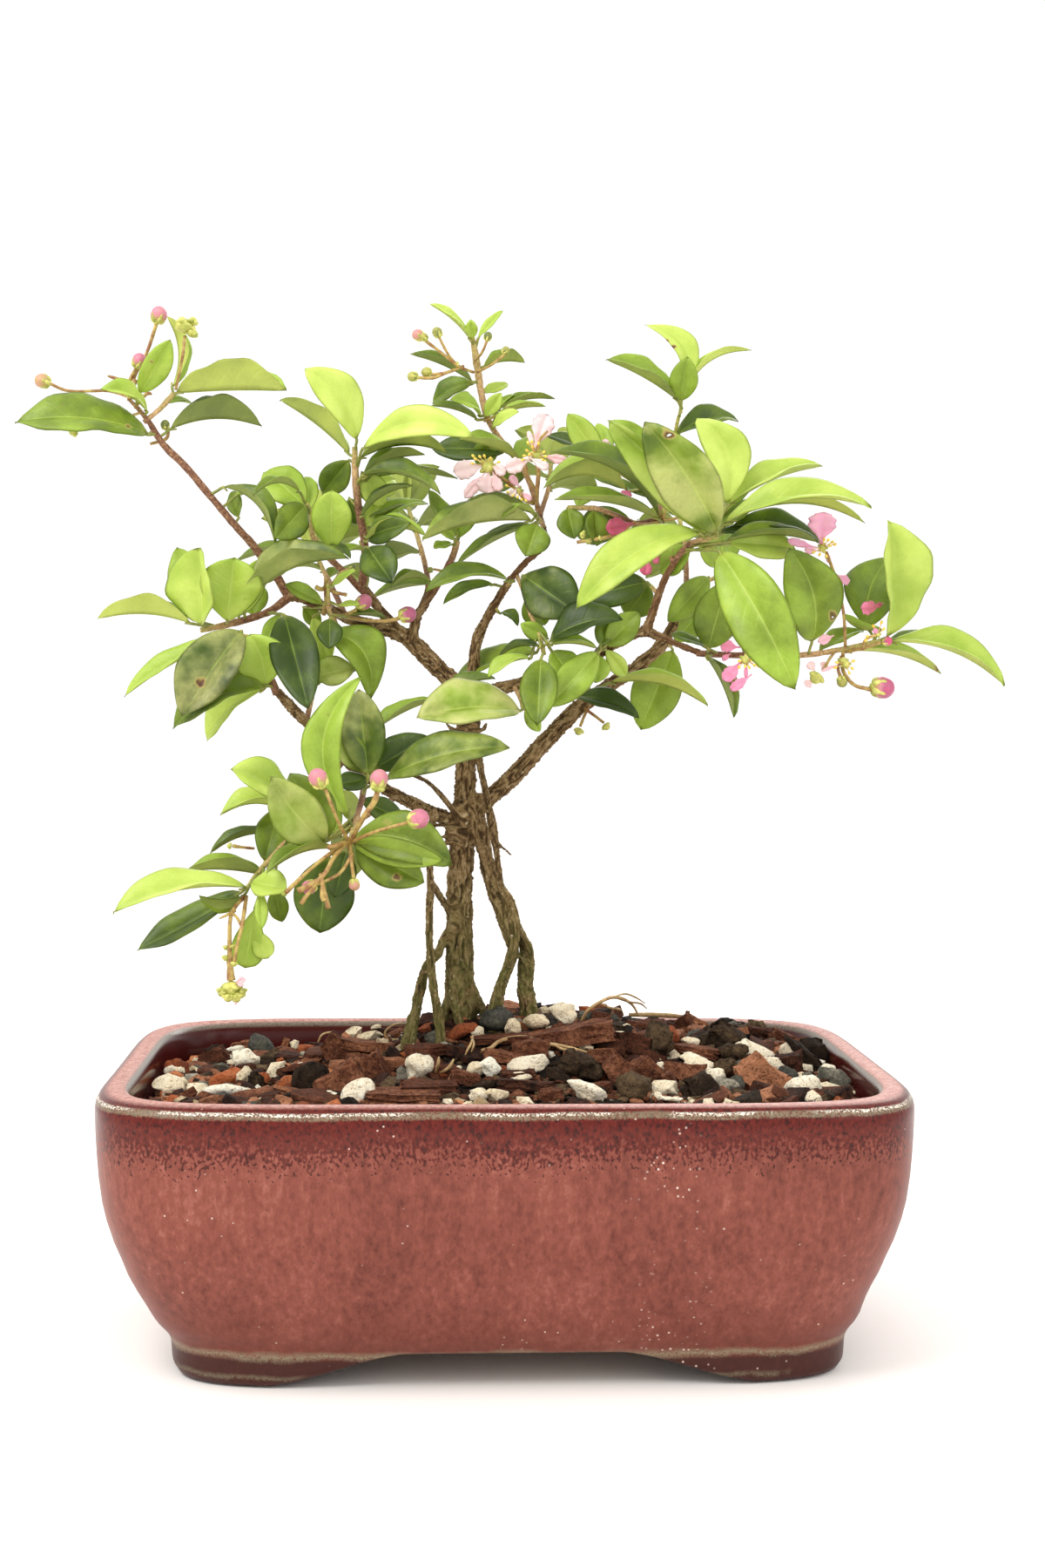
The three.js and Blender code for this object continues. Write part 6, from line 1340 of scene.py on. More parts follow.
            [-4, 242, 6, 2.8, 247.2, 10, 4.5, 60, 30, 0, 45],
            [-2, 243, 8, 13.5, 246.2, 12, 6, 80, 35, 1.5, 34],
            [-2, 241.5, 4, 11, 244.2, 2, 5, 80, 40, 1, 46],
            [-3, 238.5, 3, 4, 242.8, -2, 5, 50, 25, 0.5, 66],
            [1, 232.5, 9, -19, 232.5, 14, 10, -40, 15, 0, 12],
            [4, 230, 4, -12, 235.3, -3, 9, -80, 40, 1, 45, 0, 25],
            [-1.5, 236, 8, -7.5, 229, 14, 7, 0, 20, 0, 34], [3, 230, 8, 8, 236, 16, 6, 20, 20, 0, 56],
            [6, 226, 8, -3, 223, 16, 7, -30, 20, 0, 26], [-6, 247.4, 7, 1, 250, 12, 4, 40, 20, 0, 66],
        ],
    },
    "shoot_centre_low": {
        "twigs": [
            [[4, 198.6, 1.4, 0.6], [5.5, 195, -3, 0.55], [7, 190, -7, 0.55], [8.8, 186, -10, 0.55],
             [10.3, 181.5, -12, 0.6], [11, 178.5, -13, 0.6]],
            [[0.6, 196.2, 2.4, 0.6], [2, 197.6, 0.6, 0.5], [2.6, 198, -0.6, 0.45]],
            [[-2.6, 191.2, 2, 0.6], [-1.6, 190.2, 1.2, 0.45], [-1.2, 189.6, 0.6, 0.4]],
        ],
        "leaves": [
            [5.2, 199.5, -3, 19.7, 189.6, -14, 15, 5, 12, 1, 12, 0, 22, 0.4],
            [6.5, 194.5, -4, 11, 186.3, 2, 8.5, 0, 15, 0, 35],
            [12, 182.8, -10, 4.6, 186.7, -12, 5, 0, 15, 0, 50],
            [12.5, 182, -15, 32, 188, -20, 15, 55, 22, 2, 10],
            [10.2, 177.3, -17, 9.4, 159.6, -28, 10.5, -5, 18, 0.5, 30],
            [9, 179, -9, -13, 171.5, 12, 12, -60, 20, 1, 40],
            [10, 180.5, -14, -1, 177.8, -10, 6, -80, 30, 1.5, 12],
            [1.6, 198, -1, -21, 194.5, -6, 9, -55, 30, 3.5, 32],
            [-2.5, 197, 2, -16, 191.5, 4, 6, -50, 30, 1.5, 20],
            [-0.8, 189.4, 0, 4, 186, -2, 5, 50, 25, 1.2, 25],
            [7.5, 177.5, -13, -4, 172, -16, 7, -60, 25, 1.5, 72],
            [12.5, 181, -14, 25, 180.2, -14, 7, 70, 30, 1, 58],
            [13, 179.5, -12, 19.5, 171, -14, 9, 20, 20, 0, 50],
        ],
    },
    "shoot_trunk_front": {
        "twigs": [[[3.4, 169.4, -5.4, 0.65], [5, 166, -9, 0.55], [5.5, 163.8, -11, 0.5]]],
        "leaves": [
            [4.8, 163.5, -13, -23, 161.3, -20, 18, -45, 22, 2, 48, 0, 96],
            [6, 164, -11, 10, 158, -8, 4, 0, 15, 0, 50],
        ],
    },
    "shoot_crotch": {
        "twigs": [[[-14.4, 169.4, -1, 0.7], [-16, 167.5, -5, 0.55], [-17, 166.5, -7, 0.5]]],
        "leaves": [
            [-18, 166.3, -8, -35, 157.3, -12, 8, -70, 35, 1, 36],
            [-16, 168, -8, -2, 172, -9, 7, 60, 30, 1, 24],
        ],
    },
    "shoot_front_low_left": {
        "twigs": [
            [[-36.4, 145, -10.6, 0.9], [-37.5, 139, -22, 0.8], [-39.8, 131, -36, 0.7],
             [-40, 129, -38, 0.7]],
        ],
        "leaves": [
            [-39.5, 129.6, -39, -13.2, 122.4, -50, 14, 20, 15, 1, 38, 2.5, 16],
            [-39.5, 128, -41, -15.5, 123.4, -52, 7.5, -10, 15, 1, 46],
            [-39.3, 127.8, -38, -20.5, 117.6, -46, 12, -10, 15, 0, 40],
            [-40.7, 134.5, -36, -37.5, 172.5, -30, 11.2, 15, 25, 0, 56, 8],
            [-35.7, 146, -22, -38.2, 169, -20, 12, 0, 20, 0, 20, 0, 70],
            [-36, 145, -20, -44, 143.2, -26, 6.5, -30, 15, 0, 10],
            [-47.3, 128.3, -42, -61.6, 145.6, -52, 13.5, 0, 22, 1, 42, 1, 60],
            [-44.5, 126.6, -40, -62.5, 119.8, -52, 8, -75, 35, 2, 38],
            [-46, 124.5, -35, -48.5, 104, -34, 15.5, 0, 10, 0, 24],
            [-41.5, 126, -40, -44.5, 113.5, -42, 8, 10, 20, 0, 20],
            [-40.5, 124, -33, -43, 107.5, -30, 5, 0, 20, 0, 10],
            [-43.5, 130.5, -34, -49.5, 140.5, -28, 8, 0, 15, 0, 42],
            [-46, 129.5, -41, -56.5, 146.6, -45, 13, 0, 20, 1, 26],
            [-36.5, 147, -20, -43.5, 158, -22, 8, 0, 20, 0, 38, 0, 70],
            [-37.5, 139.5, -20, -25.8, 133.5, -16, 7, 20, 20, 0, 18],
            [-34, 147.5, -16, -19.5, 156.3, -14, 11, 30, 15, 0, 12],
            [-31, 145, -19, 2, 153.6, -26, 14, 45, 18, 3, 32, 0, 50],
        ],
    },
    "shoot_low_left_tip": {
        "twigs": [
            [[-42.5, 149.6, -12, 0.8], [-48.5, 142, -22, 0.75], [-55.8, 131.8, -30, 0.75],
             [-60, 125.5, -34, 0.7], [-64, 121, -37, 0.65], [-67.8, 115.8, -40, 0.6]],
        ],
        "leaves": [
            [-55.5, 137.8, -32, -72.2, 147.4, -40, 13.5, -45, 28, 1, 66, 0, 0, 0.3],
            [-57, 136, -30, -74.8, 135.2, -34, 10, -66, 36, 3, 82, 0, 0, 0.1],
            [-63, 123, -34, -59.3, 137, -27, 9, 0, 12, 1, 30],
            [-60, 130.5, -28, -77.5, 125, -30, 7, -75, 35, 2, 18],
            [-67.5, 116, -43, -103, 109.2, -54, 13, -60, 30, 3, 82],
            [-63, 119.3, -36, -83.5, 120.5, -38, 10, -80, 45, 1, 40],
            [-69, 115, -38, -96.6, 99.2, -42, 11, -50, 20, -1, 18],
            [-68.5, 114, -42, -80.3, 114, -46, 8, 80, 45, 1, 35],
            [-66.5, 117.3, -44, -57, 115.5, -50, 9, 30, 20, 0, 76],
            [-64, 115, -46, -63.8, 105, -50, 3.6, 0, 20, 0, 60],
            [-65.6, 110.5, -42, -68.2, 94.6, -44, 8.5, 0, 10, 0.6, 58, 0, 0, 1],
            [-66, 105.5, -43, -62, 97.2, -45, 5.5, 0, 10, 0, 72, 0, 0, 1],
            [-60.5, 116, -34, -58.5, 107, -30, 5.5, 0, 15, 0, 38],
        ],
    },
    "shoot_right_crown": {
        "twigs": [
            [[46.3, 204.2, -17.2, 0.85], [49.8, 208.3, -20, 0.75], [54, 209.5, -23, 0.65],
             [57.5, 210.3, -25, 0.6]],
        ],
        "leaves": [
            [52.5, 211.3, -25, 19.4, 190.4, -34, 13.5, -35, 22, 7, 74, 0, 20],
            [57.2, 211.5, -27, 37.4, 240.6, -34, 17, 14, 22, 2, 38, -2, 72],
            [55, 210.8, -24, 28, 240.8, -26, 13, 30, 35, 0, 60, -2, 40],
            [59.5, 219, -22, 51.4, 241.8, -18, 12.5, -14, 18, 0, 86, -4.4],
            [58.5, 213.5, -26, 98.7, 218.5, -30, 13, 60, 30, 5, 76],
            [60, 214.5, -20, 97, 214.2, -16, 9, 80, 40, 5, 78],
            [60.4, 218.8, -19, 85.3, 229.3, -14, 12, 62, 34, 2, 74, 0, 15],
            [59.5, 217, -15, 68, 228, -8, 5, 30, 20, 0, 50],
            [58, 211, -20, 70, 212.5, -12, 5, 60, 20, 0, 8],
            [61, 213, -16, 85.2, 208.3, -10, 10, 60, 30, 3, 8],
            [59.5, 209, -23, 84.2, 209, -16, 9, 75, 35, 2, 32],
            [57.8, 206.4, -30, 78.8, 169.6, -48, 17, -10, 18, 2, 54, 1.5],
            [60, 208.5, -20, 78, 207, -12, 11, 30, 20, 1, 84],
            [50, 207.5, -18, 42, 200.5, -10, 8, -20, 15, 0, 40],
            [52, 208.5, -20, 58, 203, -12, 6, 20, 15, 0, 62],
            [47.5, 206, -16, 44.5, 211, -10, 4, 0, 20, 0, 20],
            [58.6, 212.5, -18, 66, 220, -8, 8, 40, 20, 0, 44],
        ],
    },
    "shoot_crown_right": {
        "twigs": [
            [[45.4, 203.4, -15.6, 0.7], [44, 208, -9, 0.65], [42.5, 214, -6, 0.6], [41.8, 219, -4, 0.6],
             [41, 226, -2, 0.55], [44.5, 233, -5, 0.5], [46.3, 241, -8, 0.45], [47.2, 244.5, -9, 0.45],
             [46.9, 246, -9, 0.4]],
            [[41.8, 219, -4, 0.55], [34, 225, 2, 0.5], [27, 229, 5, 0.45]],
            [[41.8, 215, -6, 0.8], [35.4, 213.6, -5, 0.75], [31, 215.2, -5, 0.75], [25.3, 217.3, -4, 0.7],
             [17, 217.6, -3, 0.65]],
        ],
        "leaves": [
            [41.5, 215.5, -8, 12.3, 232, -14, 13, -70, 40, 5, 26],
            [33, 222, -4, 10.5, 222.5, -8, 13, -85, 50, 4, 44, 0, 20],
            [41.5, 214.8, -9, 13.5, 219.5, -22, 9, -75, 40, 2, 44],
            [40, 220, -2, 22, 226.5, 4, 6, -60, 20, 0, 14], [41, 227, 0, 27.5, 240.8, 2, 8, -60, 40, 2, 50],
            [26, 230, 4, 17, 242.5, 6, 8, 0, 20, 0, 58], [26, 230, 7, 10.8, 236.5, 12, 8, -60, 20, 1, 20],
            [28, 230, 7, 25, 240, 14, 6, 0, 20, 0, 56],
            [47.5, 247.5, -7, 37.3, 266.2, -4, 8, -30, 25, 0, 80, -6],
            [46.3, 246.3, -9, 27, 256.8, -12, 11, -70, 40, 1, 48],
            [47, 246.3, -10, 48.8, 258, -15, 8, 0, 20, 0, 50],
            [47.5, 247, -8, 66, 259.8, -2, 5, 80, 45, 4, 80],
            [45.8, 237.2, -6, 62.5, 240.8, 0, 9, 45, 30, 3, 24],
            [17, 217.4, -3, 19, 209.3, -5, 8, 0, 20, 0, 34],
            [24, 216.8, -4, 25, 207.5, -6, 8, 30, 20, 0, 30],
            [34, 214.5, 0, 19.5, 210.5, 8, 11, -20, 15, 1, 26],
            [26.5, 216, -3, 32, 211.5, 0, 5, 40, 20, 0, 14], [20, 217.4, 0, 24, 223, 6, 7, 40, 20, 0, 60],
            [36, 214.5, 0, 38, 205, 6, 9, 0, 15, 0, 26], [43, 219, 0, 52, 227, 8, 9, 30, 20, 0, 30],
        ],
    },
    "shoot_right_tip": {
        "twigs": [
            [[53.3, 179.1, -12, 0.85], [60, 178.8, -13, 0.8], [68, 178.6, -13, 0.8], [82, 179, -13, 0.75],
             [90, 180.3, -12, 0.7], [98, 182, -11, 0.65], [102.5, 183.3, -10, 0.55]],
        ],
        "leaves": [
            [103.5, 184, -11, 103, 215.2, -20, 23, -50, 35, 1, 80],
            [98, 186.5, -6, 104, 205.2, 2, 15, 0, 12, 0, 34, 2.5],
            [101.5, 186, -9, 91, 190, -6, 5, -70, 40, -2, 55],
            [104, 183, -7, 116.2, 185.2, 2, 5, 60, 20, 0, 28],
            [104, 182.6, -11, 135.5, 171, -18, 13, 60, 38, 4, 74],
            [92, 180, -10, 118, 174, -2, 8, 70, 40, 2.5, 70],
            [85, 180, -10, 97, 185.3, -4, 7, 50, 25, 1, 44],
            [83, 182.5, -18, 76.4, 207.5, -30, 16, -10, 16, 1, 37, -3],
            [55, 180.5, -17, 60, 198.8, -24, 12.5, 0, 15, 1, 34],
            [54.5, 178.3, -15, 62, 162, -22, 8, 65, 48, 1, 28],
            [54, 181, -15, 44.8, 184, -19, 5, -60, 20, 0, 22],
        ],
    },
    "shoot_right_mid": {
        "twigs": [[[25.3, 179, -10.6, 0.7], [26, 180.4, -14, 0.6]]],
        "leaves": [
            [25.5, 179.3, -15, 12.2, 164.6, -17, 9.5, 0, 15, 1, 52],
            [27.5, 181, -14, 36.5, 190, -16, 8, 0, 15, 0, 35],
            [27.5, 180, -12, 33, 173, -6, 5, 0, 15, 0, 72],
            [25.6, 178.5, -12, 24.8, 171, -13, 7, 20, 20, 0, 52, 0, 20],
            [26, 181, -15, 28.5, 188, -12, 6, 0, 15, 0, 22],
        ],
    },
    "shoot_riser": {
        "twigs": [[[41.6, 194.6, -10.6, 0.6], [39.5, 197, -6, 0.5]]],
        "leaves": [
            [38.5, 198, -5, 21, 193.5, -3, 10, -10, 15, 1, 12],
            [39, 197.5, -2, 33, 189, 4, 10, 0, 15, 0, 34],
        ],
    },
    "shoot_right_low": {
        "twigs": [[[24, 168, 9.6, 0.8], [23.5, 168.8, 5, 0.7], [23, 169.4, 2, 0.6]]],
        "leaves": [
            [19.5, 167.2, 3, 36.6, 161.8, -4, 8, 40, 25, 2, 12],
            [28.5, 171, 4, 55, 165, 0, 9, 80, 48, 3, 72],
        ],
    },
    "shoot_right_under": {
        "twigs": [[[43.3, 181.5, 18.2, 0.6], [45, 181, 21, 0.5]]],
        "leaves": [
            [45.5, 180, 22, 37, 158.6, 26, 14, 0, 10, 0, 42], [46, 182, 22, 54, 192, 30, 9, 0, 15, 0, 40],
        ],
    },
    "shoot_right_back": {
        "twigs": [[[54.3, 198.2, 19, 0.65], [57, 199.5, 19, 0.5]]],
        "leaves": [
            [55, 199.5, 17, 44, 187.5, 10, 9, 10, 15, 0, 40], [58, 200, 20, 70, 196, 26, 10, 30, 20, 1, 45],
            [57.5, 201, 20, 60, 215, 28, 10, 0, 15, 0, 50],
        ],
    },
    "shoot_back_left": {
        "twigs": [[[-42, 188.5, 5.2, 0.9], [-44, 193, 14, 0.8], [-47, 199, 22, 0.7], [-50, 205, 28, 0.6]]],
        "leaves": [
            [-50.5, 206, 29, -64, 214, 40, 12, -120, 20, 2, 45],
            [-50, 206, 29, -48, 222, 38, 12, 170, 20, 1, 60],
            [-49.5, 203.5, 27, -36, 210, 40, 12, 120, 20, 2, 40],
            [-47.5, 200, 24, -62, 197, 34, 12, -110, 20, 3, 30],
            [-46.5, 198, 21, -36, 196, 34, 11, 110, 20, 3, 35],
        ],
    },
    "shoot_back_centre": {
        "twigs": [
            [[-22, 190.5, 4.6, 0.9], [-20, 196, 14, 0.8], [-21, 203, 22, 0.7], [-23, 210, 27, 0.65],
             [-25, 216, 30, 0.6]],
        ],
        "leaves": [
            [-25.5, 217, 31, -36, 228, 40, 13, -140, 20, 2, 60],
            [-25, 217, 31, -17, 228, 40, 12, 140, 20, 2, 50],
            [-24, 213, 28, -36, 212, 42, 13, -120, 20, 3, 40],
            [-23, 210.5, 28, -12, 214, 40, 12, 120, 20, 3, 35],
            [-21.5, 205, 24, -33, 201, 36, 11, -120, 20, 2, 25],
        ],
    },
    "shoot_back_right": {
        "twigs": [[[48.5, 194, 18.2, 0.8], [49, 199, 26, 0.75], [48.5, 207, 31, 0.7], [47, 215, 33, 0.6]]],
        "leaves": [
            [47, 216, 34, 38, 228, 43, 13, -140, 20, 2, 50],
            [47.5, 216, 34, 56, 228, 43, 13, 140, 20, 2, 55],
            [48, 211, 33, 35, 211, 44, 12, -120, 20, 3, 40],
            [48.8, 208, 33, 62, 211, 44, 13, 120, 20, 3, 45],
            [49, 201, 29, 38, 199, 40, 11, -120, 20, 2, 30],
        ],
    },
    "shoot_back_top": {
        "twigs": [[[9.6, 215, 6, 0.75], [10.5, 218, 14, 0.7], [12, 223, 20, 0.65], [12.5, 229, 24, 0.6]]],
        "leaves": [
            [12, 230, 25, 3, 238, 34, 10, -140, 20, 2, 55], [13, 230, 25, 22, 236, 34, 11, 140, 20, 2, 60],
            [12, 225, 22, 0, 224, 34, 12, -115, 20, 2, 35], [12, 222, 20, 25, 221, 32, 12, 115, 20, 2, 40],
        ],
    },
    "shoot_back_low": {
        "twigs": [
            [[-27.5, 140.8, -3.5, 0.8], [-32, 138, 6, 0.75], [-38, 134, 14, 0.7], [-45, 129.5, 20, 0.6]],
        ],
        "leaves": [
            [-46, 129, 21, -57, 124, 32, 12, -120, 20, 2, 40],
            [-45.5, 130, 21, -52, 139, 30, 11, -150, 20, 1, 55],
            [-43, 130, 19, -41, 118, 28, 12, 150, 20, 1, 35],
            [-38, 134, 15, -47, 141, 22, 9, -140, 20, 1, 45],
        ],
    },
}

# Leafy shoots
leaf = {
    "along": 18,
    "halfAcross": 7,
    "thick": 0.4,
    "lift": 0.08,
    "wave": 0.035,
    "ripple": 0.014,
    "arch": 0.09,
    "stalk": 0.42,
    "sunk": 0.6,
    "rootSpacing": 0.8,
    "seed": 400,
}


def bladeFrame(base, tip, face):
    along = (tip - base).normalized()
    sight = ((base + tip) / 2 - readingEye).normalized()
    left = along.cross(sight).normalized()
    front = along.cross(left).normalized()
    turn = math.radians(face)
    up = front * math.cos(turn) + left * math.sin(turn)
    return left, up, up.cross(along).normalized()


def leafWidth(t, blunt):
    return max(math.sin(math.pi * t ** (0.9 + 0.9 * blunt)), 0) ** (0.72 - 0.24 * blunt)


def petalWidth(t, _):
    rise = hold((t - 0.12) / 0.5)
    fall = hold((t - 0.66) / 0.34)
    return (0.14 + 0.86 * rise * rise * (3 - 2 * rise)) * max(1 - fall ** 2.4, 0) ** 0.5


# A closed blade, its upper side out and back under: turn 0 to 0.5 is the upper side, the rest the under side
def addBlade(bm, entry, draw, widthAt=leafWidth, finishes=(0, 1), crinkle=0.0):
    width, face, fold, bow, tone = entry[6:11]
    sway, paintedSheen, blunt = (*entry[11:14], 0, 0, 0)[:3]
    blunt = max(blunt, 0.1 if tone < 60 else 0.22)
    base, tip = seen(*entry[0:3]), seen(*entry[3:6])
    left, up, across = bladeFrame(base, tip, face)
    tilt = math.radians(fold)
    rippleTurns, rippleStart = draw.uniform(2.5, 4), draw.uniform(0, math.tau)

    def spotAt(t, turn):
        upper = turn <= 0.5
        s = turn * 4 - 1 if upper else 3 - turn * 4
        half = width / 2 * widthAt(t, blunt)
        lift = 4 * t * (1 - t)
        spot = base.lerp(tip, t) + up * (bow * lift) + left * (sway * lift)
        reach = half * s
        if crinkle:
            reach *= 1 + crinkle * math.sin(t * 31 + rippleStart) * t
        rise = abs(reach) * math.sin(tilt) + half * leaf["arch"] * (1 - (2 * abs(s) - 1) ** 2)
        rise += s * leaf["wave"] * width * math.cos(math.tau * (t - 0.36) / 0.72) * min(t * 6, 1)
        edge = leaf["ripple"] + crinkle * 0.5
        rise += s * s * edge * width * math.sin(math.tau * rippleTurns * t + rippleStart + s) * min(t * 4, 1)
        skin = min(t * 12, 1) * min((1 - t) * 12, 1) * (1 - s ** 4)
        rise += leaf["lift"] + (leaf["thick"] * skin if upper else -0.25 * skin * max(0, 1 - abs(s) * 9))
        return spot + across * (reach * math.cos(tilt)) + up * rise

    made, faces = addSheet(bm, leaf["along"], leaf["halfAcross"] * 4, spotAt)
    uv = bm.loops.layers.uv.verify()
    look = bm.verts.layers.float_color["look"]
    chance = draw.random()
    for v in made:
        # the fourth number is how much painted sheen this leaf shows
        v[look] = (tone / 100, chance, 0, paintedSheen / 100)
    for face in faces:
        turned = sum(loop[uv].uv.y for loop in face.loops) / 4 > 0.5
        face.material_index = finishes[1 if turned else 0]
        for loop in face.loops:
            t, turn = loop[uv].uv
            loop[uv].uv = (t, 2 - turn * 2 if turned else turn * 2)
    bmesh.ops.remove_doubles(bm, verts=made, dist=0.004)
    return [v for v in made if v.is_valid]


def rootOn(ways, point, roots):
    spots = [way((i + 1) / 50) for way in ways for i in range(48)]
    free = [spot for spot in spots if all((root - spot).length > leaf["rootSpacing"] for root in roots)]
    nearest = min(free or spots, key=lambda spot: (spot - point).length)
    roots.append(nearest)
    return nearest


def addTwig(bm, points, draw, finish, sides=8):
    spots = [seen(*p[:3]) for p in points]
    spots[0] += (spots[0] - spots[1]).normalized() * (0.4 + 1.2 * points[0][3])
    bumps = draw.uniform(0, 50)

    def uneven(spot, turn):
        around = Vector((math.cos(turn), math.sin(turn), 0)) * 0.8
        return 1 + 0.2 * noise.noise(spot * 0.9 + around + Vector((bumps, 0, 0)))

    made = addTube(bm, spots, [p[3] for p in points], sides, (len(points) - 1) * 6, finish, uneven)
    look = bm.verts.layers.float_color["look"]
    run = spots[-1] - spots[0]
    slim = 1.5 - points[-1][3]
    told = len(points[-1]) > 4  # some twigs say how woody they are
    woodyAt = smoothWay([Vector(((p[4:5] or [1])[0], 0, 0)) for p in points])
    for v in made:
        share = hold((v.co - spots[0]).dot(run) / run.length_squared)
        thick = points[0][3] + (points[-1][3] - points[0][3]) * share
        young = hold((share - 0.45) / 0.5) * slim
        woody = hold((thick - 0.42) / 0.4) * (1 - young)
        if told:
            woody = hold(woodyAt(share).x)
        v[look] = (woody, bumps / 50, 0, 1)


def addLeafStalk(bm, root, entry, finish):
    base, tip = seen(*entry[0:3]), seen(*entry[3:6])
    sunk = root + (root - base).normalized() * leaf["sunk"]
    inward = base + (tip - base) * 0.07
    reach = leaf["stalk"]
    radii = [reach, reach * 0.9, reach, reach * 0.55]
    addTube(bm, [sunk, root.lerp(base, 0.6), base, inward], radii, 6, 6, finish)


# Spots and holes on single leaves: shoot, x and z in the picture plane, radius, strength (over 0.9 is a hole)
leafMarks = [
    ("shoot_crown_right", 44, 237.8, 2.1, 1), ("shoot_right_crown", 43.7, 237.6, 2.1, 1),
    ("shoot_right_tip", 88.5, 189.5, 1.6, 1), ("shoot_left_hanging", -80, 170.5, 1.8, 1),
    ("shoot_front_low_left", -28, 119, 1.8, 0.75), ("shoot_front_low_left", -30.6, 133.6, 1.5, 0.6),
    ("shoot_crown_right", 43, 262, 1.2, 0.8), ("shoot_crown_right", 45, 260.5, 1.2, 0.8),
    ("shoot_upper_left", -99, 237.8, 1, 0.7), ("shoot_upper_left", -92.8, 254.6, 1, 0.6),
    ("shoot_low_left_tip", -65.8, 125.6, 0.9, 0.7), ("shoot_right_tip", 117, 175.5, 1.6, 0.6),
]


def addMarks(made, look, name):
    spots = [mark[1:] for mark in leafMarks if mark[0] == name]
    for v in made if spots else []:
        share = 1 - v.co.y / readingEye.y
        onPlane = readingEye + (v.co - readingEye) / share
        for x, z, radius, strength in spots:
            near = 1 - math.hypot(onPlane.x - x, onPlane.z - z) / radius
            if near > 0:
                v[look].z = max(v[look].z, min(near * 1.6, 1) * strength)


def makeShoots(finishes):
    for number, (name, shoot) in enumerate(shoots.items()):
        draw = random.Random(leaf["seed"] + number)
        bm = startPiece()
        for twig in shoot["twigs"]:
            addTwig(bm, twig, draw, 2)
        ways = [smoothWay([seen(*p[:3]) for p in twig]) for twig in shoot["twigs"]]
        roots = []
        for entry in shoot["leaves"]:
            root = rootOn(ways, seen(*entry[:3]), roots)
            blade = startPiece()
            addLeafStalk(blade, root, entry, 3)
            addMarks(addBlade(blade, entry, draw), blade.verts.layers.float_color["look"], name)
            gather(bm, blade)
        finishPiece(bm, "leafy_" + name, finishes, [name])


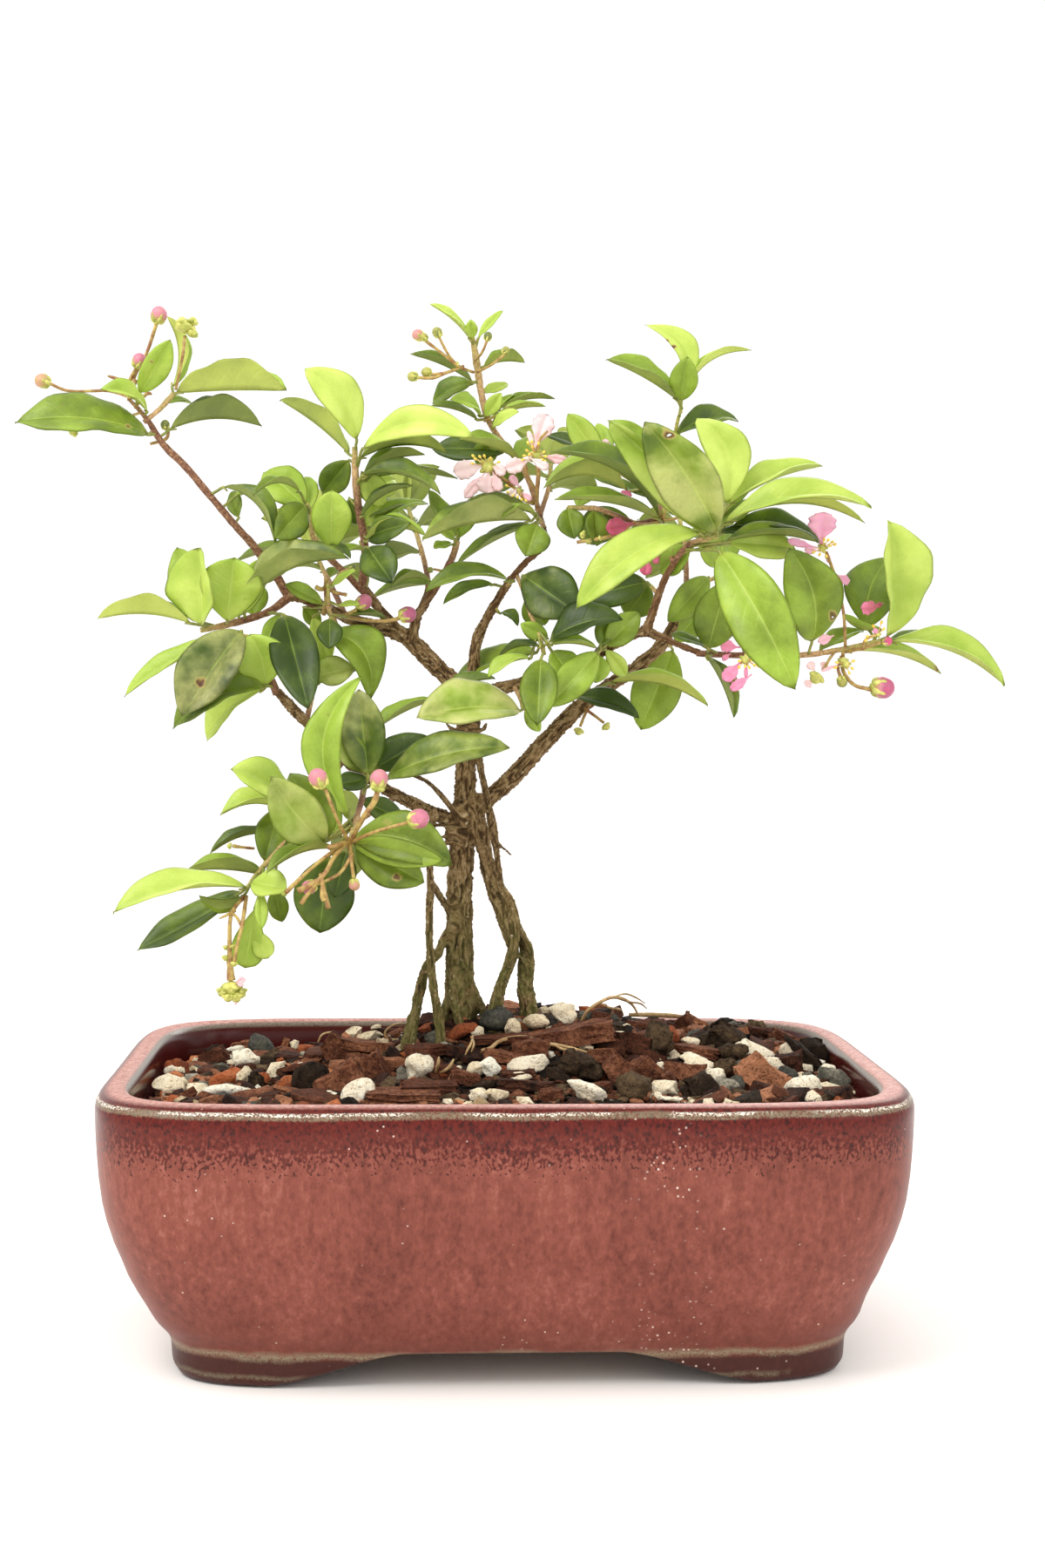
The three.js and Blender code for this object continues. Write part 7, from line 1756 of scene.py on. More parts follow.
# Flower sprigs: stalks as twigs, buds as x, z, y, radius and tone, spent flowers and hearts without the tone,
# pollen as x, z, y, petals as leaves
sprays = {
    "buds_left_tip": {
        "stalks": [
            [[-98.7, 245.2, -2.4, 0.45], [-97.2, 251, 0, 0.45], [-94.5, 256, 1, 0.45],
             [-91.6, 264.6, 1, 0.5]],
            [[-98.7, 245.2, -2.4, 0.45], [-98.8, 249, -0.5, 0.45], [-97, 252.6, -1, 0.5]],
            [[-98.7, 245.2, -2.4, 0.45], [-104, 246.8, 3, 0.4], [-115, 246.8, 2, 0.4],
             [-119.5, 248.6, 1, 0.45]],
            [[-98.9, 247, -1.4, 0.3], [-101.2, 249.6, 2, 0.65], [-104.3, 250.8, 2, 0.25]],
            [[-98.4, 247, -1.4, 0.35], [-97, 249.8, -1, 0.8]],
            [[-96.6, 243.2, -3, 0.35], [-94, 246.3, -2, 0.55], [-92.8, 246.2, -2, 0.3]],
            [[-92.4, 233.4, 0, 0.4], [-89, 234.6, 1, 0.5], [-88.4, 237, 1, 0.4]],
            [[-96, 241.2, -3, 0.35], [-106, 238.2, -2, 0.35], [-112.6, 236.9, -2, 0.4]],
        ],
        "buds": [
            [-91, 266.9, 1, 2.1, 60], [-96.1, 254.8, -1, 1.9, 66], [-121.3, 249.2, 1, 1.9, 35],
            [-89.3, 238.2, 1, 1.2, 0],
        ],
        "spent": [[-98.8, 245.5, -2.3, 0.6], [-113, 236.2, -2, 1.5]],
    },
    "buds_left_spent": {
        "stalks": [[[-86.4, 248.2, -4.4, 0.4], [-84.8, 256, -5, 0.4], [-84.2, 261.5, -4, 0.4]]],
        "spent": [
            [-84.2, 263.4, -4, 2.5], [-84.9, 265, -4.6, 1.5], [-82.2, 265, -4, 1.5], [-82.4, 262, -4, 1.7],
        ],
    },
    "buds_top": {
        "stalks": [
            [[-8.6, 253.2, 3.6, 0.4], [-12.6, 254.8, -3, 0.42], [-16, 257.5, -4, 0.4],
             [-21, 261.2, -4, 0.45]],
            [[-12.6, 254.8, -2.4, 0.45], [-15, 257.8, -5, 0.36], [-17.4, 262.2, -6, 0.36]],
            [[-11.5, 254.4, -1.5, 0.4], [-15.5, 252.8, -5, 0.4], [-19.8, 252.2, -5, 0.4]],
            [[-15.5, 252.8, -5, 0.4], [-19, 251.4, -6, 0.42], [-23, 251.5, -6, 0.42]],
            [[-7.4, 256.6, 3, 0.4], [-5.8, 258.6, -1, 0.36], [-4.6, 261.6, -2, 0.36]],
            [[-6.6, 253.4, 3, 0.4], [-3, 255.4, 0, 0.36], [0.2, 258, 0, 0.36]],
            [[-4.6, 240.6, 4, 0.45], [-2.4, 241.6, 2, 0.4], [0.4, 243.2, 1, 0.35]],
        ],
        "buds": [
            [-22.9, 262.6, -4, 1.5, 45], [-17.9, 263.4, -6, 1.3, 5], [-20.7, 252.9, -5, 1.25, 12],
            [-24.3, 251.7, -6, 1.3, 12], [-4.4, 262.6, -2, 1.1, 0], [0.3, 259, 0, 1, 10],
            [0.6, 243.6, 1, 0.75, 8], [-2.3, 242.2, 2, 0.8, 0], [-21.5, 262.1, -4.4, 1.1, 14],
        ],
        "spent": [[-12.8, 255.2, -2.8, 0.8]],
    },
    "buds_centre_left": {
        "stalks": [
            [[-44.5, 188.6, 2.4, 0.5], [-38, 187.4, -1.5, 0.5], [-31, 187.1, -3, 0.5],
             [-27, 188, -3, 0.55]],
            [[-43, 188.3, 1.1, 0.45], [-41, 189, -2.5, 0.5], [-38.8, 190, -3, 0.5]],
            [[-47.4, 189.6, 0.4, 0.6], [-46.9, 193, -2, 0.6], [-47, 196, -3, 0.6], [-47, 198.4, -4, 0.55]],
            [[-47, 195.6, -2.8, 0.5], [-48.2, 195.4, -4, 0.6], [-49.6, 195.8, -5, 0.7]],
            [[-46.9, 195.6, -2.8, 0.5], [-44.5, 194.6, -5, 0.42], [-41.6, 193.9, -6, 0.55]],
            [[-47, 196, -3, 0.5], [-45.2, 196.8, -5, 0.5], [-43.6, 199, -6, 0.55]],
            [[-45.2, 196.8, -5, 0.4], [-43.2, 199.6, -4, 0.4], [-40.8, 200.8, -4, 0.5]],
            [[-46.7, 190.4, 0, 0.5], [-45, 187.8, -2, 0.5], [-44.2, 186.2, -2, 0.6]],
            [[-16.9, 200.6, 3, 0.4], [-18.4, 200.9, 2, 0.3], [-19.2, 200.8, 1, 0.3]],
        ],
        "buds": [
            [-25.3, 188.9, -3, 2.15, 78], [-37, 192.1, -3, 2.05, 72], [-19.5, 200.7, 1, 0.8, 6],
            [-40, 200.9, -4, 0.9, 4],
        ],
        "spent": [[-46.6, 191.8, -2, 0.8]],
    },
    "buds_low_front": {
        "stalks": [
            [[-40.4, 128, -41, 0.5], [-43, 132.5, -47, 0.45], [-45.6, 138.6, -50, 0.45],
             [-47, 142.4, -50, 0.5]],
            [[-40.4, 128, -41, 0.55], [-37.2, 134.4, -45, 0.65], [-33.8, 139.6, -45, 0.75],
             [-33, 143, -45, 0.6]],
            [[-40.4, 128, -41, 0.5], [-34, 131, -49, 0.45], [-25, 133.6, -52, 0.45]],
            [[-40.4, 128, -41, 0.5], [-40, 123, -47, 0.5], [-39.4, 118.6, -48, 0.45]],
            [[-40.2, 124.5, -46, 0.45], [-43.4, 119.8, -49, 0.42], [-49.6, 116.8, -50, 0.42]],
            [[-40.4, 128, -41, 0.5], [-46, 125, -48, 0.45], [-52.5, 119.6, -53, 0.45],
             [-57.4, 114.8, -53, 0.6]],
            [[-41, 128.6, -41, 0.6], [-44.8, 124, -50, 0.55], [-48, 118.8, -53, 0.6],
             [-54.2, 115.2, -54, 0.75]],
            [[-48.4, 118.4, -53, 0.5], [-51.4, 114.6, -54, 0.5], [-53.4, 111.8, -54, 0.6]],
            [[-48, 118.8, -53, 0.5], [-47.4, 115.6, -54, 0.6], [-46.1, 110.6, -54, 0.65]],
            [[-47.6, 116.4, -53.6, 0.4], [-47.8, 114.4, -54.4, 0.6], [-47.2, 112.6, -54.6, 0.75]],
            [[-41, 128.4, -41, 0.6], [-43.5, 127.6, -47, 0.55], [-46.2, 126.8, -49, 0.6]],
        ],
        "buds": [
            [-48.9, 145.3, -50, 2.3, 56], [-32.8, 145.2, -45, 2.2, 54], [-22.2, 134.6, -52, 2.4, 66],
            [-39.2, 116.9, -48, 1.35, 40], [-51.3, 116.3, -50, 1.75, 66],
        ],
        "spent": [[-40.4, 128, -41.2, 0.8], [-57.8, 114.6, -53, 0.75], [-33.2, 142.4, -45, 1.7]],
    },
    "stalks_low_left": {
        "stalks": [
            [[-69, 113, -43.6, 0.5], [-71.8, 109.2, -48, 0.5], [-72.3, 103, -49, 0.5],
             [-72.2, 96.5, -49, 0.7]],
            [[-72.2, 97, -49, 0.7], [-72.1, 94, -49, 0.85], [-71.9, 91.4, -49, 1.1]],
            [[-68, 113, -43.6, 0.5], [-69, 106, -50, 0.5], [-70.2, 101, -51, 0.45], [-71, 96.4, -51, 0.5]],
            [[-71.4, 109.6, -47.8, 0.35], [-72.6, 109, -49, 0.4], [-75, 107.8, -50, 0.15]],
            [[-71.8, 109.2, -48, 0.35], [-70.4, 108.2, -49.5, 0.35], [-69.2, 106, -50, 0.35]],
            [[-66.6, 126.6, -38, 0.35], [-69.4, 126.9, -40, 0.35], [-71.4, 127.2, -41, 0.5]],
        ],
        "spent": [
            [-71.8, 89.9, -49, 2.5], [-74, 88.6, -49.4, 1.6], [-72.6, 87.2, -50, 1.5],
            [-70.6, 87, -50, 1.5], [-69.4, 88.3, -49.4, 1.6], [-73.2, 100.3, -49, 0.8],
            [-71.4, 100.6, -49.4, 0.8], [-73.3, 97.6, -49.2, 1], [-71, 96, -51, 0.9],
            [-72.2, 127.2, -41, 0.8],
        ],
        "petals": [
            [-70.6, 91, -49.6, -67.9, 91.8, -52, 1.8, 0, 25, 0, 25],
            [-70.4, 90.6, -50, -68.4, 90.2, -52, 1.5, 0, 25, 0, 28],
            [-70.8, 87, -50, -70.6, 84.8, -50.4, 0.8, 0, 15, 0, 22],
        ],
    },
    "buds_right_hanging": {
        "stalks": [
            [[91.5, 179.3, -12.5, 0.5], [91.6, 174.6, -16, 0.55], [94.6, 171, -17, 0.5],
             [99.4, 169.7, -17, 0.6]],
            [[88.8, 179.3, -12.5, 0.4], [87.3, 177, -17, 0.4], [86.2, 174.8, -17, 0.5]],
            [[90.8, 178, -13.6, 0.4], [90.2, 175, -17, 0.4], [90.9, 173, -17, 0.5]],
            [[93, 180, -12, 0.45], [97, 180.9, -15, 0.45], [101.6, 182.4, -17, 0.5]],
            [[97, 180.9, -15, 0.35], [97.4, 183, -18, 0.35], [100.4, 184.6, -18, 0.4]],
        ],
        "buds": [[102.4, 170.3, -17, 2.8, 84], [91.3, 171.8, -17, 1.4, 8], [103.4, 182.8, -17, 1.2, 96]],
        "spent": [[84.5, 173.2, -17, 2.1], [91.4, 176.9, -17, 1.5]],
        "hearts": [[92.2, 176.6, -17.4, 1.3], [100.8, 184.6, -18, 0.9]],
        "petals": [
            [84, 174.4, -16.6, 82.2, 177, -16, 2.4, 0, 15, 0, 12],
            [83.4, 172.4, -16.6, 81.4, 170.6, -16, 2.4, 0, 15, 0, 12],
            [85.6, 174.8, -16.6, 86.6, 177, -16, 2, 0, 15, 0, 16],
            [88.9, 184.2, -15, 84.6, 182.4, -18, 2.8, 0, 20, 0, 34],
            [101.4, 192.4, -14, 96, 191.6, -18, 4, 20, 15, 0, 76],
            [102.2, 193, -13, 100, 192.2, -14.6, 1.6, 20, 15, 0, 92],
            [90.6, 176.6, -17.6, 85.6, 174.6, -18.6, 1, 0, 15, 0, 30],
            [101, 184.6, -18, 99.6, 186.2, -19, 1.4, 0, 15, 0, 60],
        ],
        "pollen": [
            [89.4, 175.6, -18.6], [89.8, 177, -18.6], [94.3, 177.4, -18.6], [94, 175.4, -18.6],
            [93.2, 174.2, -18.6], [98, 184, -19], [99.6, 186.8, -19], [101.8, 187.8, -19],
            [102.4, 186, -19], [97.6, 183, -19],
        ],
    },
    "bloom_right_fan": {
        "stalks": [
            [[92, 181.9, -12.2, 0.45], [91.5, 190, -15, 0.4], [89.4, 199, -17, 0.4],
             [86.6, 206.6, -19, 0.4]],
        ],
        "hearts": [[85.6, 207.6, -19.3, 1.3]],
        "petals": [
            [85.2, 208.4, -19.5, 85.8, 217.2, -21, 7.4, 6, 12, 0.6, 48],
            [84.4, 207.6, -19.7, 75.9, 209.4, -21.8, 2.2, -16, 15, 0, 50],
            [84.6, 206.8, -19.9, 80.6, 207, -21.9, 2.2, 4, 15, 0, 40],
            [89.2, 200.6, -16, 92.8, 198.2, -15, 2.6, 24, 15, 0, 50],
            [86, 207.4, -18, 87.5, 203.6, -17, 1.6, 24, 15, 0, 24],
        ],
        "pollen": [
            [86, 209.8, -21.4], [87.1, 209.7, -21.4], [88.2, 209.2, -21.4], [88.9, 208.6, -21.2],
            [87.6, 208.2, -21.4], [82, 207.4, -21.4], [83.2, 206.4, -21.4], [86.6, 205.4, -21],
            [84.8, 205.8, -21],
        ],
    },
    "bloom_right_low": {
        "stalks": [
            [[64.6, 180.2, -14, 0.45], [63.9, 183, -17, 0.45], [63.7, 187.4, -16, 0.4]],
            [[64.6, 180.2, -14, 0.45], [65.2, 179.4, -18, 0.45], [65.1, 178.2, -20.4, 0.45]],
        ],
        "hearts": [[65, 177.5, -20.6, 1.5]],
        "petals": [
            [66, 179.4, -17, 64.9, 187, -17, 2, 0, 15, 0, 62],
            [63.6, 180.8, -17, 58.2, 181.4, -17, 3.4, 0, 15, 0, 66],
            [61, 179.2, -17, 58.8, 177.4, -18, 1.6, 0, 15, 0, 66],
            [63.8, 177, -21, 59.2, 171.8, -23, 3.8, 0, 15, 0, 68],
            [65.2, 177, -21, 65.3, 172.6, -22, 1.1, 0, 15, 0, 68],
            [66.8, 173.6, -22, 61, 169.3, -23, 2.8, 0, 20, 0, 68],
        ],
        "pollen": [
            [63.5, 177.2, -22], [63.4, 175.5, -22], [65, 175.8, -22], [66.8, 177.4, -22],
            [67.5, 176.1, -22], [68.7, 175.8, -22], [68.6, 177.2, -22], [66.1, 175.5, -22],
        ],
    },
    "bloom_top_left": {
        "stalks": [
            [[7.4, 219.4, 4.6, 0.5], [3, 222.6, 1, 0.5], [0, 225, 0, 0.5], [-3, 227, 0, 0.6]],
            [[7.4, 218.6, 4.6, 0.4], [5.6, 219.4, 1, 0.4], [4.2, 221.2, 0, 0.4]],
        ],
        "hearts": [[-4.2, 228.2, -0.2, 2.3], [4, 222, 0, 1.2]],
        "petals": [
            [-5, 228.6, -0.6, -13.4, 226.6, -3, 5.2, 0, 15, 0, 4],
            [-4.6, 227, -0.6, -10.4, 219.8, -3, 3.2, 0, 15, 0, 14],
            [-4, 227, -0.6, -4.4, 221, -2, 6.2, 0, 15, 0, 10],
            [-3, 227, -1, -1, 221.6, -4, 3, 0, 15, 0, 22],
            [-3.6, 228.6, -1, 0.6, 226.4, -3, 3, 0, 15, 0, 8],
            [4.4, 222.6, -0.6, 1.6, 226, -2, 2.2, 0, 15, 0, 36],
            [3.6, 222.4, -0.6, 1.4, 220.4, -2, 2.4, 0, 15, 0, 4],
            [4.6, 221.6, -0.6, 7.4, 219.4, -2, 1.8, 0, 15, 0, 34],
        ],
        "pollen": [
            [-8.3, 229, -2.6], [-7.6, 230.2, -2.6], [-8.2, 231, -2.6], [-6.4, 230.8, -2.6],
            [-5.2, 231, -2.6], [-1.4, 229.4, -2.6], [0.8, 223.2, -2], [1.1, 221.5, -2.4],
            [2.4, 220.6, -2.4], [3.7, 220.2, -2.4], [4.8, 219.6, -2.4], [5.9, 219.3, -2.4],
            [-3.6, 230.4, -2.6],
        ],
    },
    "bloom_top_right": {
        "stalks": [
            [[8.8, 217.6, 5.2, 0.5], [8.9, 222, 1, 0.55], [9.2, 226, 0, 0.6], [9, 229.4, -1, 0.7]],
            [[8.9, 231.4, -1.4, 0.35], [9.6, 235.6, -3, 0.4], [11.6, 237.8, -4, 0.35]],
            [[8.8, 222, 2, 0.35], [6.4, 226, 0, 0.35], [5.8, 228.8, -1, 0.35]],
        ],
        "hearts": [[8.8, 231, -1.4, 1.9]],
        "petals": [
            [7.2, 230.2, -2, 0.4, 227.6, -4, 4.4, 0, 15, 0, 6],
            [6.4, 231, -2.6, 12, 227.8, -4, 2.6, 0, 15, 0, 2],
            [9.6, 231.4, -2, 17.2, 229.8, -2, 2.6, 0, 15, 0, 24],
            [8, 232.8, -2, 11.4, 242.2, -1, 6, 0, 15, 0, 14],
            [8.2, 232.4, -2, 6.4, 237.8, -1, 1.6, 0, 15, 0, 10],
        ],
        "pollen": [
            [6.1, 232.6, -3.6], [5.4, 231.2, -3.6], [6.4, 234.6, -3.6], [7.4, 234.9, -3.6],
            [10.6, 232.2, -3.6], [11.1, 231.1, -3.6], [10.9, 229.8, -3.6], [7.6, 233.5, -3.6],
            [5, 230.1, -3.6], [9.2, 234.4, -3.6], [6.8, 231.6, -3.8], [10.2, 230.2, -3.8],
        ],
    },
    "bloom_crown": {
        "stalks": [
            [[41.3, 213.9, -7, 0.5], [37.6, 213.4, -7.4, 0.42], [34.6, 213.6, -7, 0.4]],
            [[44.8, 204.8, -14, 0.5], [40, 205.8, -9, 0.55], [35.4, 204.8, -7, 0.45]],
            [[41.6, 214.6, -6.6, 0.5], [42.4, 219, -7, 0.55], [41.9, 222.6, -7, 0.6],
             [41, 225.2, -6, 0.75]],
            [[43.6, 214.8, -8, 0.45], [46.2, 215.2, -8, 0.4], [46.7, 216.8, -8, 0.45]],
            [[42.2, 215.2, -7, 0.4], [42.9, 215.8, -9, 0.4], [42.9, 216.6, -9, 0.4]],
            [[41.2, 224.6, -6, 0.35], [39.6, 227.2, -7, 0.4], [38, 228.6, -7, 0.45]],
            [[31, 210.6, -6, 0.5], [25.6, 209.5, -7, 0.5], [19.6, 208.4, -6, 0.45]],
            [[34.6, 213.6, -7, 0.4], [32.4, 211.8, -7, 0.45], [31, 210.6, -6, 0.5]],
            [[35.4, 204.8, -7, 0.22], [31.6, 200.2, -7, 0.2], [29.6, 201.2, -6, 0.18]],
        ],
        "buds": [
            [46.7, 217.8, -8, 1.7, 70], [42.9, 217.8, -9, 1.25, 48], [22.6, 208.6, -8, 0.7, 12],
            [38.2, 228.8, -8, 0.75, 12],
        ],
        "spent": [
            [21.4, 210.4, -6, 1.1], [37.6, 229.3, -7, 1.6], [25.8, 209.6, -7, 0.7], [41, 225.4, -6, 1],
        ],
        "petals": [
            [34.8, 213.6, -7, 27.2, 212.2, -10, 4.8, 0, 15, 0, 100],
            [29.6, 220.8, -6, 34.2, 221.2, -9, 2.8, 0, 15, 0, 84],
            [39.4, 206.2, -8, 44, 207.2, -10, 3, 0, 15, 0, 78],
            [38.6, 204.6, -9, 37.8, 199.8, -10, 3.4, 0, 15, 0, 96],
            [39, 204.8, -8, 36.1, 202.6, -10, 2, 0, 15, 0, 96],
            [39.4, 204.8, -8, 41.8, 203.4, -10, 2.2, 0, 15, 0, 92],
            [41.4, 224, -6, 41.8, 220.4, -8, 2.4, 0, 15, 0, 44],
            [37.2, 229.8, -7, 38.4, 231.8, -8, 2, 0, 15, 0, 40],
            [25.2, 233.8, -4, 28.4, 234.8, -6, 3, 0, 15, 0, 24],
        ],
    },
    "buds_low_right": {
        "stalks": [
            [[22.6, 163.8, 8.2, 0.45], [21.6, 161.5, 6.5, 0.4], [20.8, 159.4, 6, 0.4]],
            [[22.6, 163.8, 8.2, 0.45], [25, 162, 6.5, 0.4], [27.2, 160.4, 6, 0.4]],
        ],
        "spent": [[20.5, 158.4, 6, 1.4], [27.6, 159.6, 6, 1.3]],
    },
}

# Flowers, buds and what is left of spent ones
spray = {
    "sepals": 5,
    "sepalReach": 0.60,
    "folds": 0.05,
    "thread": 0.13,
    "anther": 0.46,
    "crinkle": 0.12,
    "seed": 700,
}


def alongTurn(heading):
    return heading.to_track_quat("Z", "Y").to_matrix().to_4x4()


def addBud(bm, centre, radius, heading, tone):
    turn = alongTurn(heading)
    look = bm.verts.layers.float_color["look"]
    skin = addBead(bm, centre, radius, 3, 3, (1, 1, 1.08), turn)
    for v in skin:
        out = v.co - centre
        high = out.dot(heading) / radius
        side = out - heading * out.dot(heading)
        angle = math.atan2(side.dot(turn.col[1].xyz), side.dot(turn.col[0].xyz))
        fold = spray["folds"] * math.cos(angle * 5 + high * 2.6) * max(1 - high * high, 0)
        v.co = centre + out * (1 + fold)
        v[look] = (hold(tone / 100 * min(max(high + 1.1, 0.35), 1)), 0, 0, 1)
    for i in range(spray["sepals"]):
        angle = i / spray["sepals"] * math.tau
        out = turn @ Vector((math.cos(angle), math.sin(angle), 0))
        for share, size in ((0.60, 0.44), (0.18, 0.40)):
            outward = radius * (spray["sepalReach"] + 0.3 * (0.6 - share))
            spot = centre + out * outward - heading * (radius * share)
            lean = alongTurn((heading * 0.9 + out * 0.3).normalized()) @ Matrix.Rotation(angle, 4, "Z")
            addBead(bm, spot, radius * size, 2, 2, (0.85, 0.7, 1.2), lean)
    addBead(bm, centre - heading * radius * 0.82, radius * 0.5, 2, 2)


def addSpent(bm, centre, radius, heading):
    turn = alongTurn(heading)
    addBead(bm, centre + heading * radius * 0.25, radius * 0.78, 2, 2)
    for i in range(spray["sepals"]):
        angle = i / spray["sepals"] * math.tau
        out = turn @ Vector((math.cos(angle), math.sin(angle), 0))
        lean = alongTurn((heading * 0.5 + out).normalized())
        addBead(bm, centre + out * radius * 0.58, radius * 0.56, 2, 2, (0.85, 0.6, 1.1), lean)


def makeSprays(finishes):
    for number, (name, made) in enumerate(sprays.items()):
        draw = random.Random(spray["seed"] + number)
        bm = startPiece()
        for stalk in made["stalks"]:
            addTwig(bm, stalk, draw, 1)
        ends = [(seen(*stalk[-1][:3]), seen(*stalk[-2][:3])) for stalk in made["stalks"]]

        def headingAt(centre):
            end, before = min(ends, key=lambda pair: (pair[0] - centre).length)
            return (centre - before).normalized()

        for x, z, y, radius, tone in made.get("buds", []):
            centre = seen(x, z, y)
            addBud(bm, centre, radius, headingAt(centre), tone)
        for x, z, y, radius in made.get("spent", []):
            centre = seen(x, z, y)
            addSpent(bm, centre, radius, headingAt(centre))
        hearts = [(seen(*heart[:3]), heart[3]) for heart in made.get("hearts", [])]
        for centre, radius in hearts:
            addSpent(bm, centre, radius, (readingEye - centre).normalized())
        for spot in made.get("pollen", []):
            top = seen(*spot)
            root = min((centre for centre, radius in hearts), key=lambda centre: (centre - top).length)
            bend = (root + top) / 2 + (readingEye - top).normalized() * 0.5
            thread = spray["thread"]
            addTube(bm, [root, bend, top], [thread, thread, thread * 0.8], 5, 4, 0)
            addBead(bm, top, spray["anther"], 5, 2, (0.85, 0.85, 1.25), alongTurn((top - root).normalized()))
        for petal in made.get("petals", []):
            addBlade(bm, petal, draw, petalWidth, (4, 4), spray["crinkle"])
        slotName = "petal" if name.startswith("bloom") else "bud_skin" if "buds" in made else "seed_green"
        finishPiece(bm, "sprig_" + name, finishes, [name])


# Drain screens and their staples keep their CAD shape
def makeScreens():
    plastic = Finish("screen_plastic")
    tone = plastic.grain(plastic.place(), 800, 3, 0.6)
    color = plastic.along(tone, [(0.3, (0.012, 0.013, 0.012)), (0.7, (0.035, 0.037, 0.034))])
    bump = plastic.bump(tone, 0.2, 0.0002)
    plasticSkin = plastic.close(plastic.skin(color, 0.5, bump))
    wire = Finish("staple_wire")
    drawn = wire.grain(wire.place((1, 1, 0.2)), 1500, 3, 0.6)
    wireColor = wire.along(drawn, [(0.3, (0.42, 0.42, 0.44)), (0.7, (0.62, 0.62, 0.64))])
    wireSkin = wire.close(wire.node("BsdfPrincipled", {}, {
        "Base Color": wireColor, "Roughness": 0.38, "Metallic": 1.0}))
    for side in ("left", "right"):
        for kind, skin in (("drain_screen_", plasticSkin), ("screen_staple_", wireSkin)):
            for slot in bpy.data.objects[kind + side].material_slots:
                slot.material = skin


# Floor, light and world
studio = {
    "floorHalf": 3.0,
    "floorColor": (1.0, 0.975, 0.94),
    "world": 1.08,
    "keyPower": 5,
    "fillPower": 1.0,
    "rimPower": 2,
}


def floorFinish():
    f = Finish("pale_floor")
    tone = f.grain(f.place(), 3.0, 2, 0.5)
    color = f.mix(tone * 0.2, studio["floorColor"], (0.99, 0.955, 0.915))
    return f.close(f.node("BsdfPrincipled", {}, {"Base Color": color, "Roughness": 0.9}))


def makeFloor():
    bm = bmesh.new()
    bmesh.ops.create_grid(bm, x_segments=2, y_segments=2, size=studio["floorHalf"])
    bmesh.ops.translate(bm, verts=bm.verts, vec=(0, 0, potMiddle.z - 0.0002))
    mesh = bpy.data.meshes.new("studio_floor")
    bm.to_mesh(mesh)
    bm.free()
    mesh.materials.append(floorFinish())
    floor = bpy.data.objects.new("studio_floor", mesh)
    bpy.context.collection.objects.link(floor)


def addLight(name, spot, aim, size, power, color):
    data = bpy.data.lights.new(name, "AREA")
    data.shape = "DISK"
    data.size = size
    data.energy = power
    data.color = color
    lamp = bpy.data.objects.new(name, data)
    place = inRow(spot)
    lamp.matrix_world = Matrix.Translation(place) @ alongTurn((place - inRow(aim)).normalized())
    bpy.context.collection.objects.link(lamp)


def lightStudio():
    world = bpy.data.worlds.new("studio")
    world.use_nodes = True
    sky = world.node_tree.nodes["Background"].inputs
    sky["Color"].default_value = (1, 0.995, 0.985, 1)
    sky["Strength"].default_value = studio["world"]
    bpy.context.scene.world = world
    addLight("key", (-420, -380, 760), (0, 0, 150), 0.5, studio["keyPower"], (1, 0.985, 0.96))
    addLight("fill", (520, -420, 420), (0, 0, 140), 0.6, studio["fillPower"], (1, 1, 1))
    addLight("rim", (180, 560, 520), (0, 0, 160), 0.5, studio["rimPower"], (1, 1, 1))
    bpy.context.scene.view_settings.view_transform = "Standard"


# Everything, in turn
makePot()
print("pot made")
makeWood(barkFinish())
print("wood made")
makeSoil(soilFinish("soil_filling_mix", (0.006, 0.004, 0.003), (0.040, 0.022, 0.013), 1.0))
chipFinishes = [
    chipFinish("bark_chip", (0.014, 0.007, 0.005), (0.120, 0.040, 0.020), (0.47, 0.20, 0.10)),
    chipFinish("pumice", (0.32, 0.21, 0.10), (0.84, 0.70, 0.48), (1.0, 0.95, 0.80)),
    chipFinish("fired_clay", (0.13, 0.035, 0.018), (0.40, 0.105, 0.035), (0.62, 0.24, 0.10)),
    chipFinish("humus", (0.006, 0.004, 0.003), (0.036, 0.021, 0.012), (0.165, 0.105, 0.052)),
    chipFinish("grit", (0.030, 0.032, 0.028), (0.14, 0.13, 0.10), (0.50, 0.44, 0.33)),
]
scatterChips(chipFinishes, setChips(chipFinishes))
makeRootlets(stalkFinish("rootlet", (0.26, 0.14, 0.05), (0.56, 0.38, 0.17)))
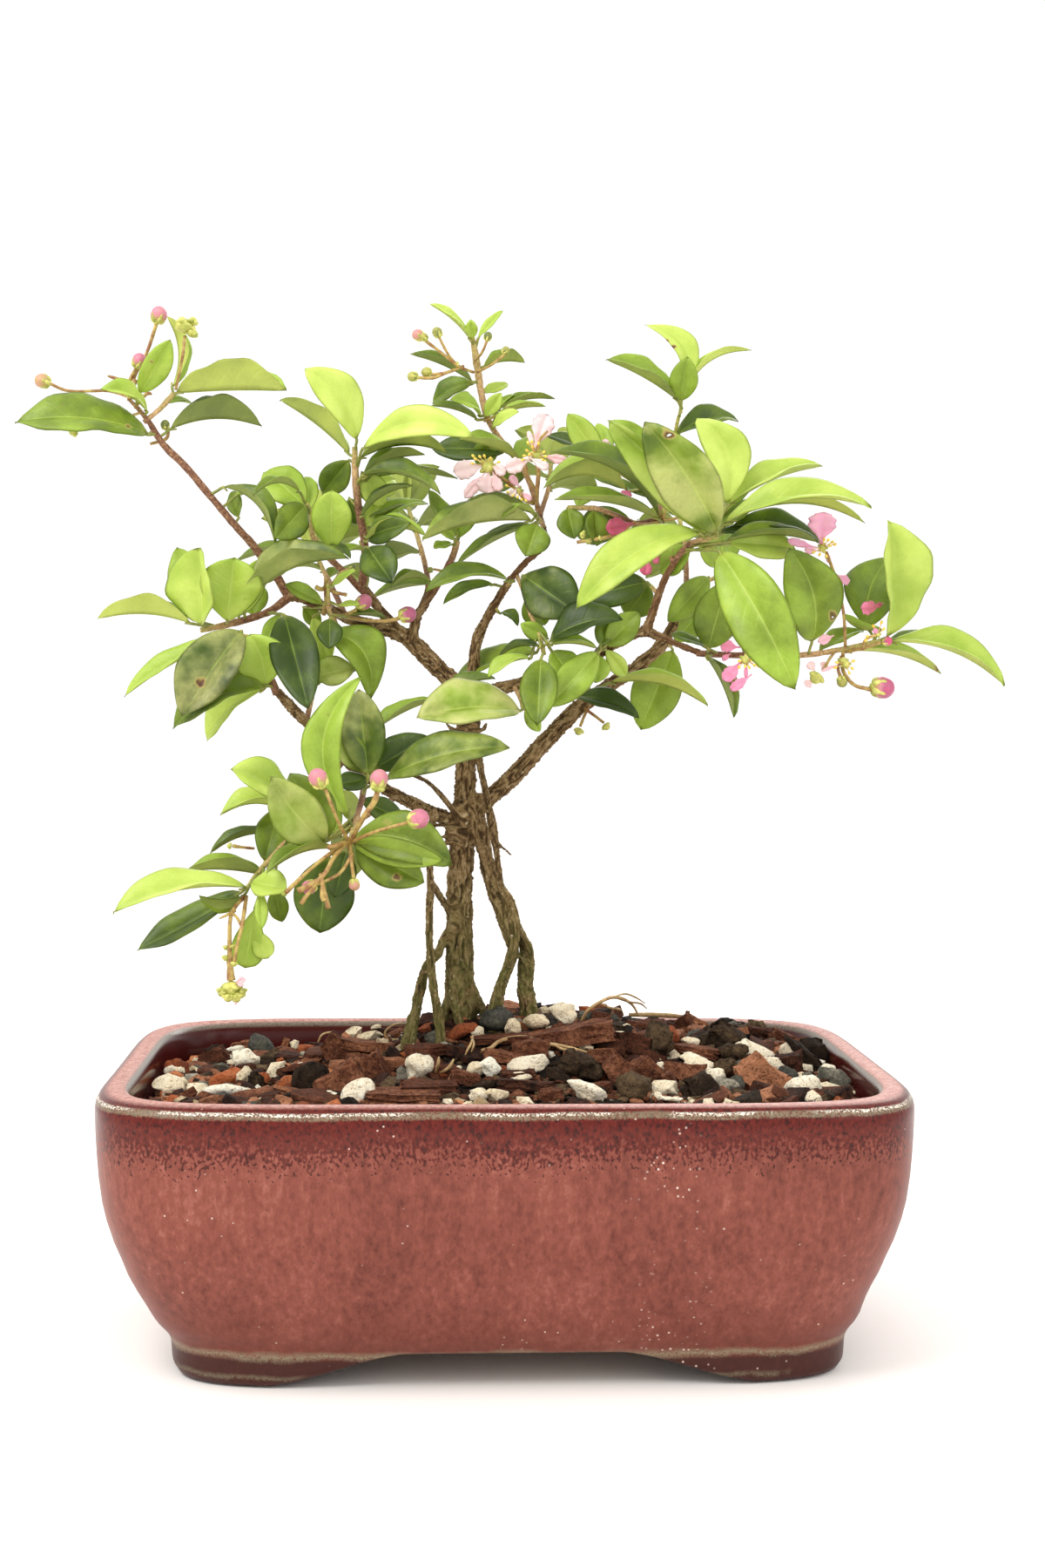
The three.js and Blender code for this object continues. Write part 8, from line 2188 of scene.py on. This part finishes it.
print("soil made")
leafStops = [
    (0.0, (0.026, 0.046, 0.008)), (0.15, (0.064, 0.100, 0.014)), (0.35, (0.190, 0.262, 0.026)),
    (0.55, (0.335, 0.475, 0.055)), (0.75, (0.485, 0.610, 0.105)), (0.95, (0.64, 0.765, 0.165))]
underStops = [
    (0.0, (0.15, 0.19, 0.07)), (0.35, (0.31, 0.36, 0.10)), (0.65, (0.52, 0.58, 0.13)),
    (0.95, (0.70, 0.78, 0.20))]
leafUpper = leafFinish("leaf_upper", leafStops, (0.50, 0.72, 0.08), 0.2, 0.42, 0.35, 0.6)
leafUnder = leafFinish("leaf_under", underStops, (0.50, 0.72, 0.08), 0.2, 0.6, 0.2, 0.8)
twig = twigFinish()
stalk = stalkFinish("leaf_stalk", (0.16, 0.20, 0.03), (0.34, 0.33, 0.07))
makeShoots([leafUpper, leafUnder, twig, stalk])
print("leaves made")
petalStops = [
    (0.0, (0.95, 0.86, 0.82)), (0.25, (0.95, 0.66, 0.66)), (0.5, (0.93, 0.50, 0.74)),
    (0.75, (0.93, 0.28, 0.48)), (1.0, (0.62, 0.10, 0.19))]
budStops = [
    (0.0, (0.14, 0.18, 0.04)), (0.12, (0.44, 0.43, 0.09)), (0.35, (0.56, 0.33, 0.17)),
    (0.58, (0.66, 0.235, 0.30)), (0.8, (0.46, 0.115, 0.21)), (1.0, (0.74, 0.07, 0.20))]
makeSprays([
    stalkFinish("filament", (0.58, 0.34, 0.10), (0.80, 0.60, 0.22)),
    stalkFinish("flower_stalk", (0.26, 0.110, 0.035), (0.50, 0.37, 0.10)),
    stalkFinish("calyx", (0.30, 0.33, 0.05), (0.66, 0.64, 0.17)),
    petalFinish("bud_skin", budStops, (0.84, 0.40, 0.42), 0.12),
    petalFinish("petal", petalStops, (0.95, 0.55, 0.66), 0.3),
    stalkFinish("pollen", (0.76, 0.48, 0.05), (0.92, 0.74, 0.14)),
])
print("flowers made")
makeScreens()
makeFloor()
lightStudio()
print("studio lit")
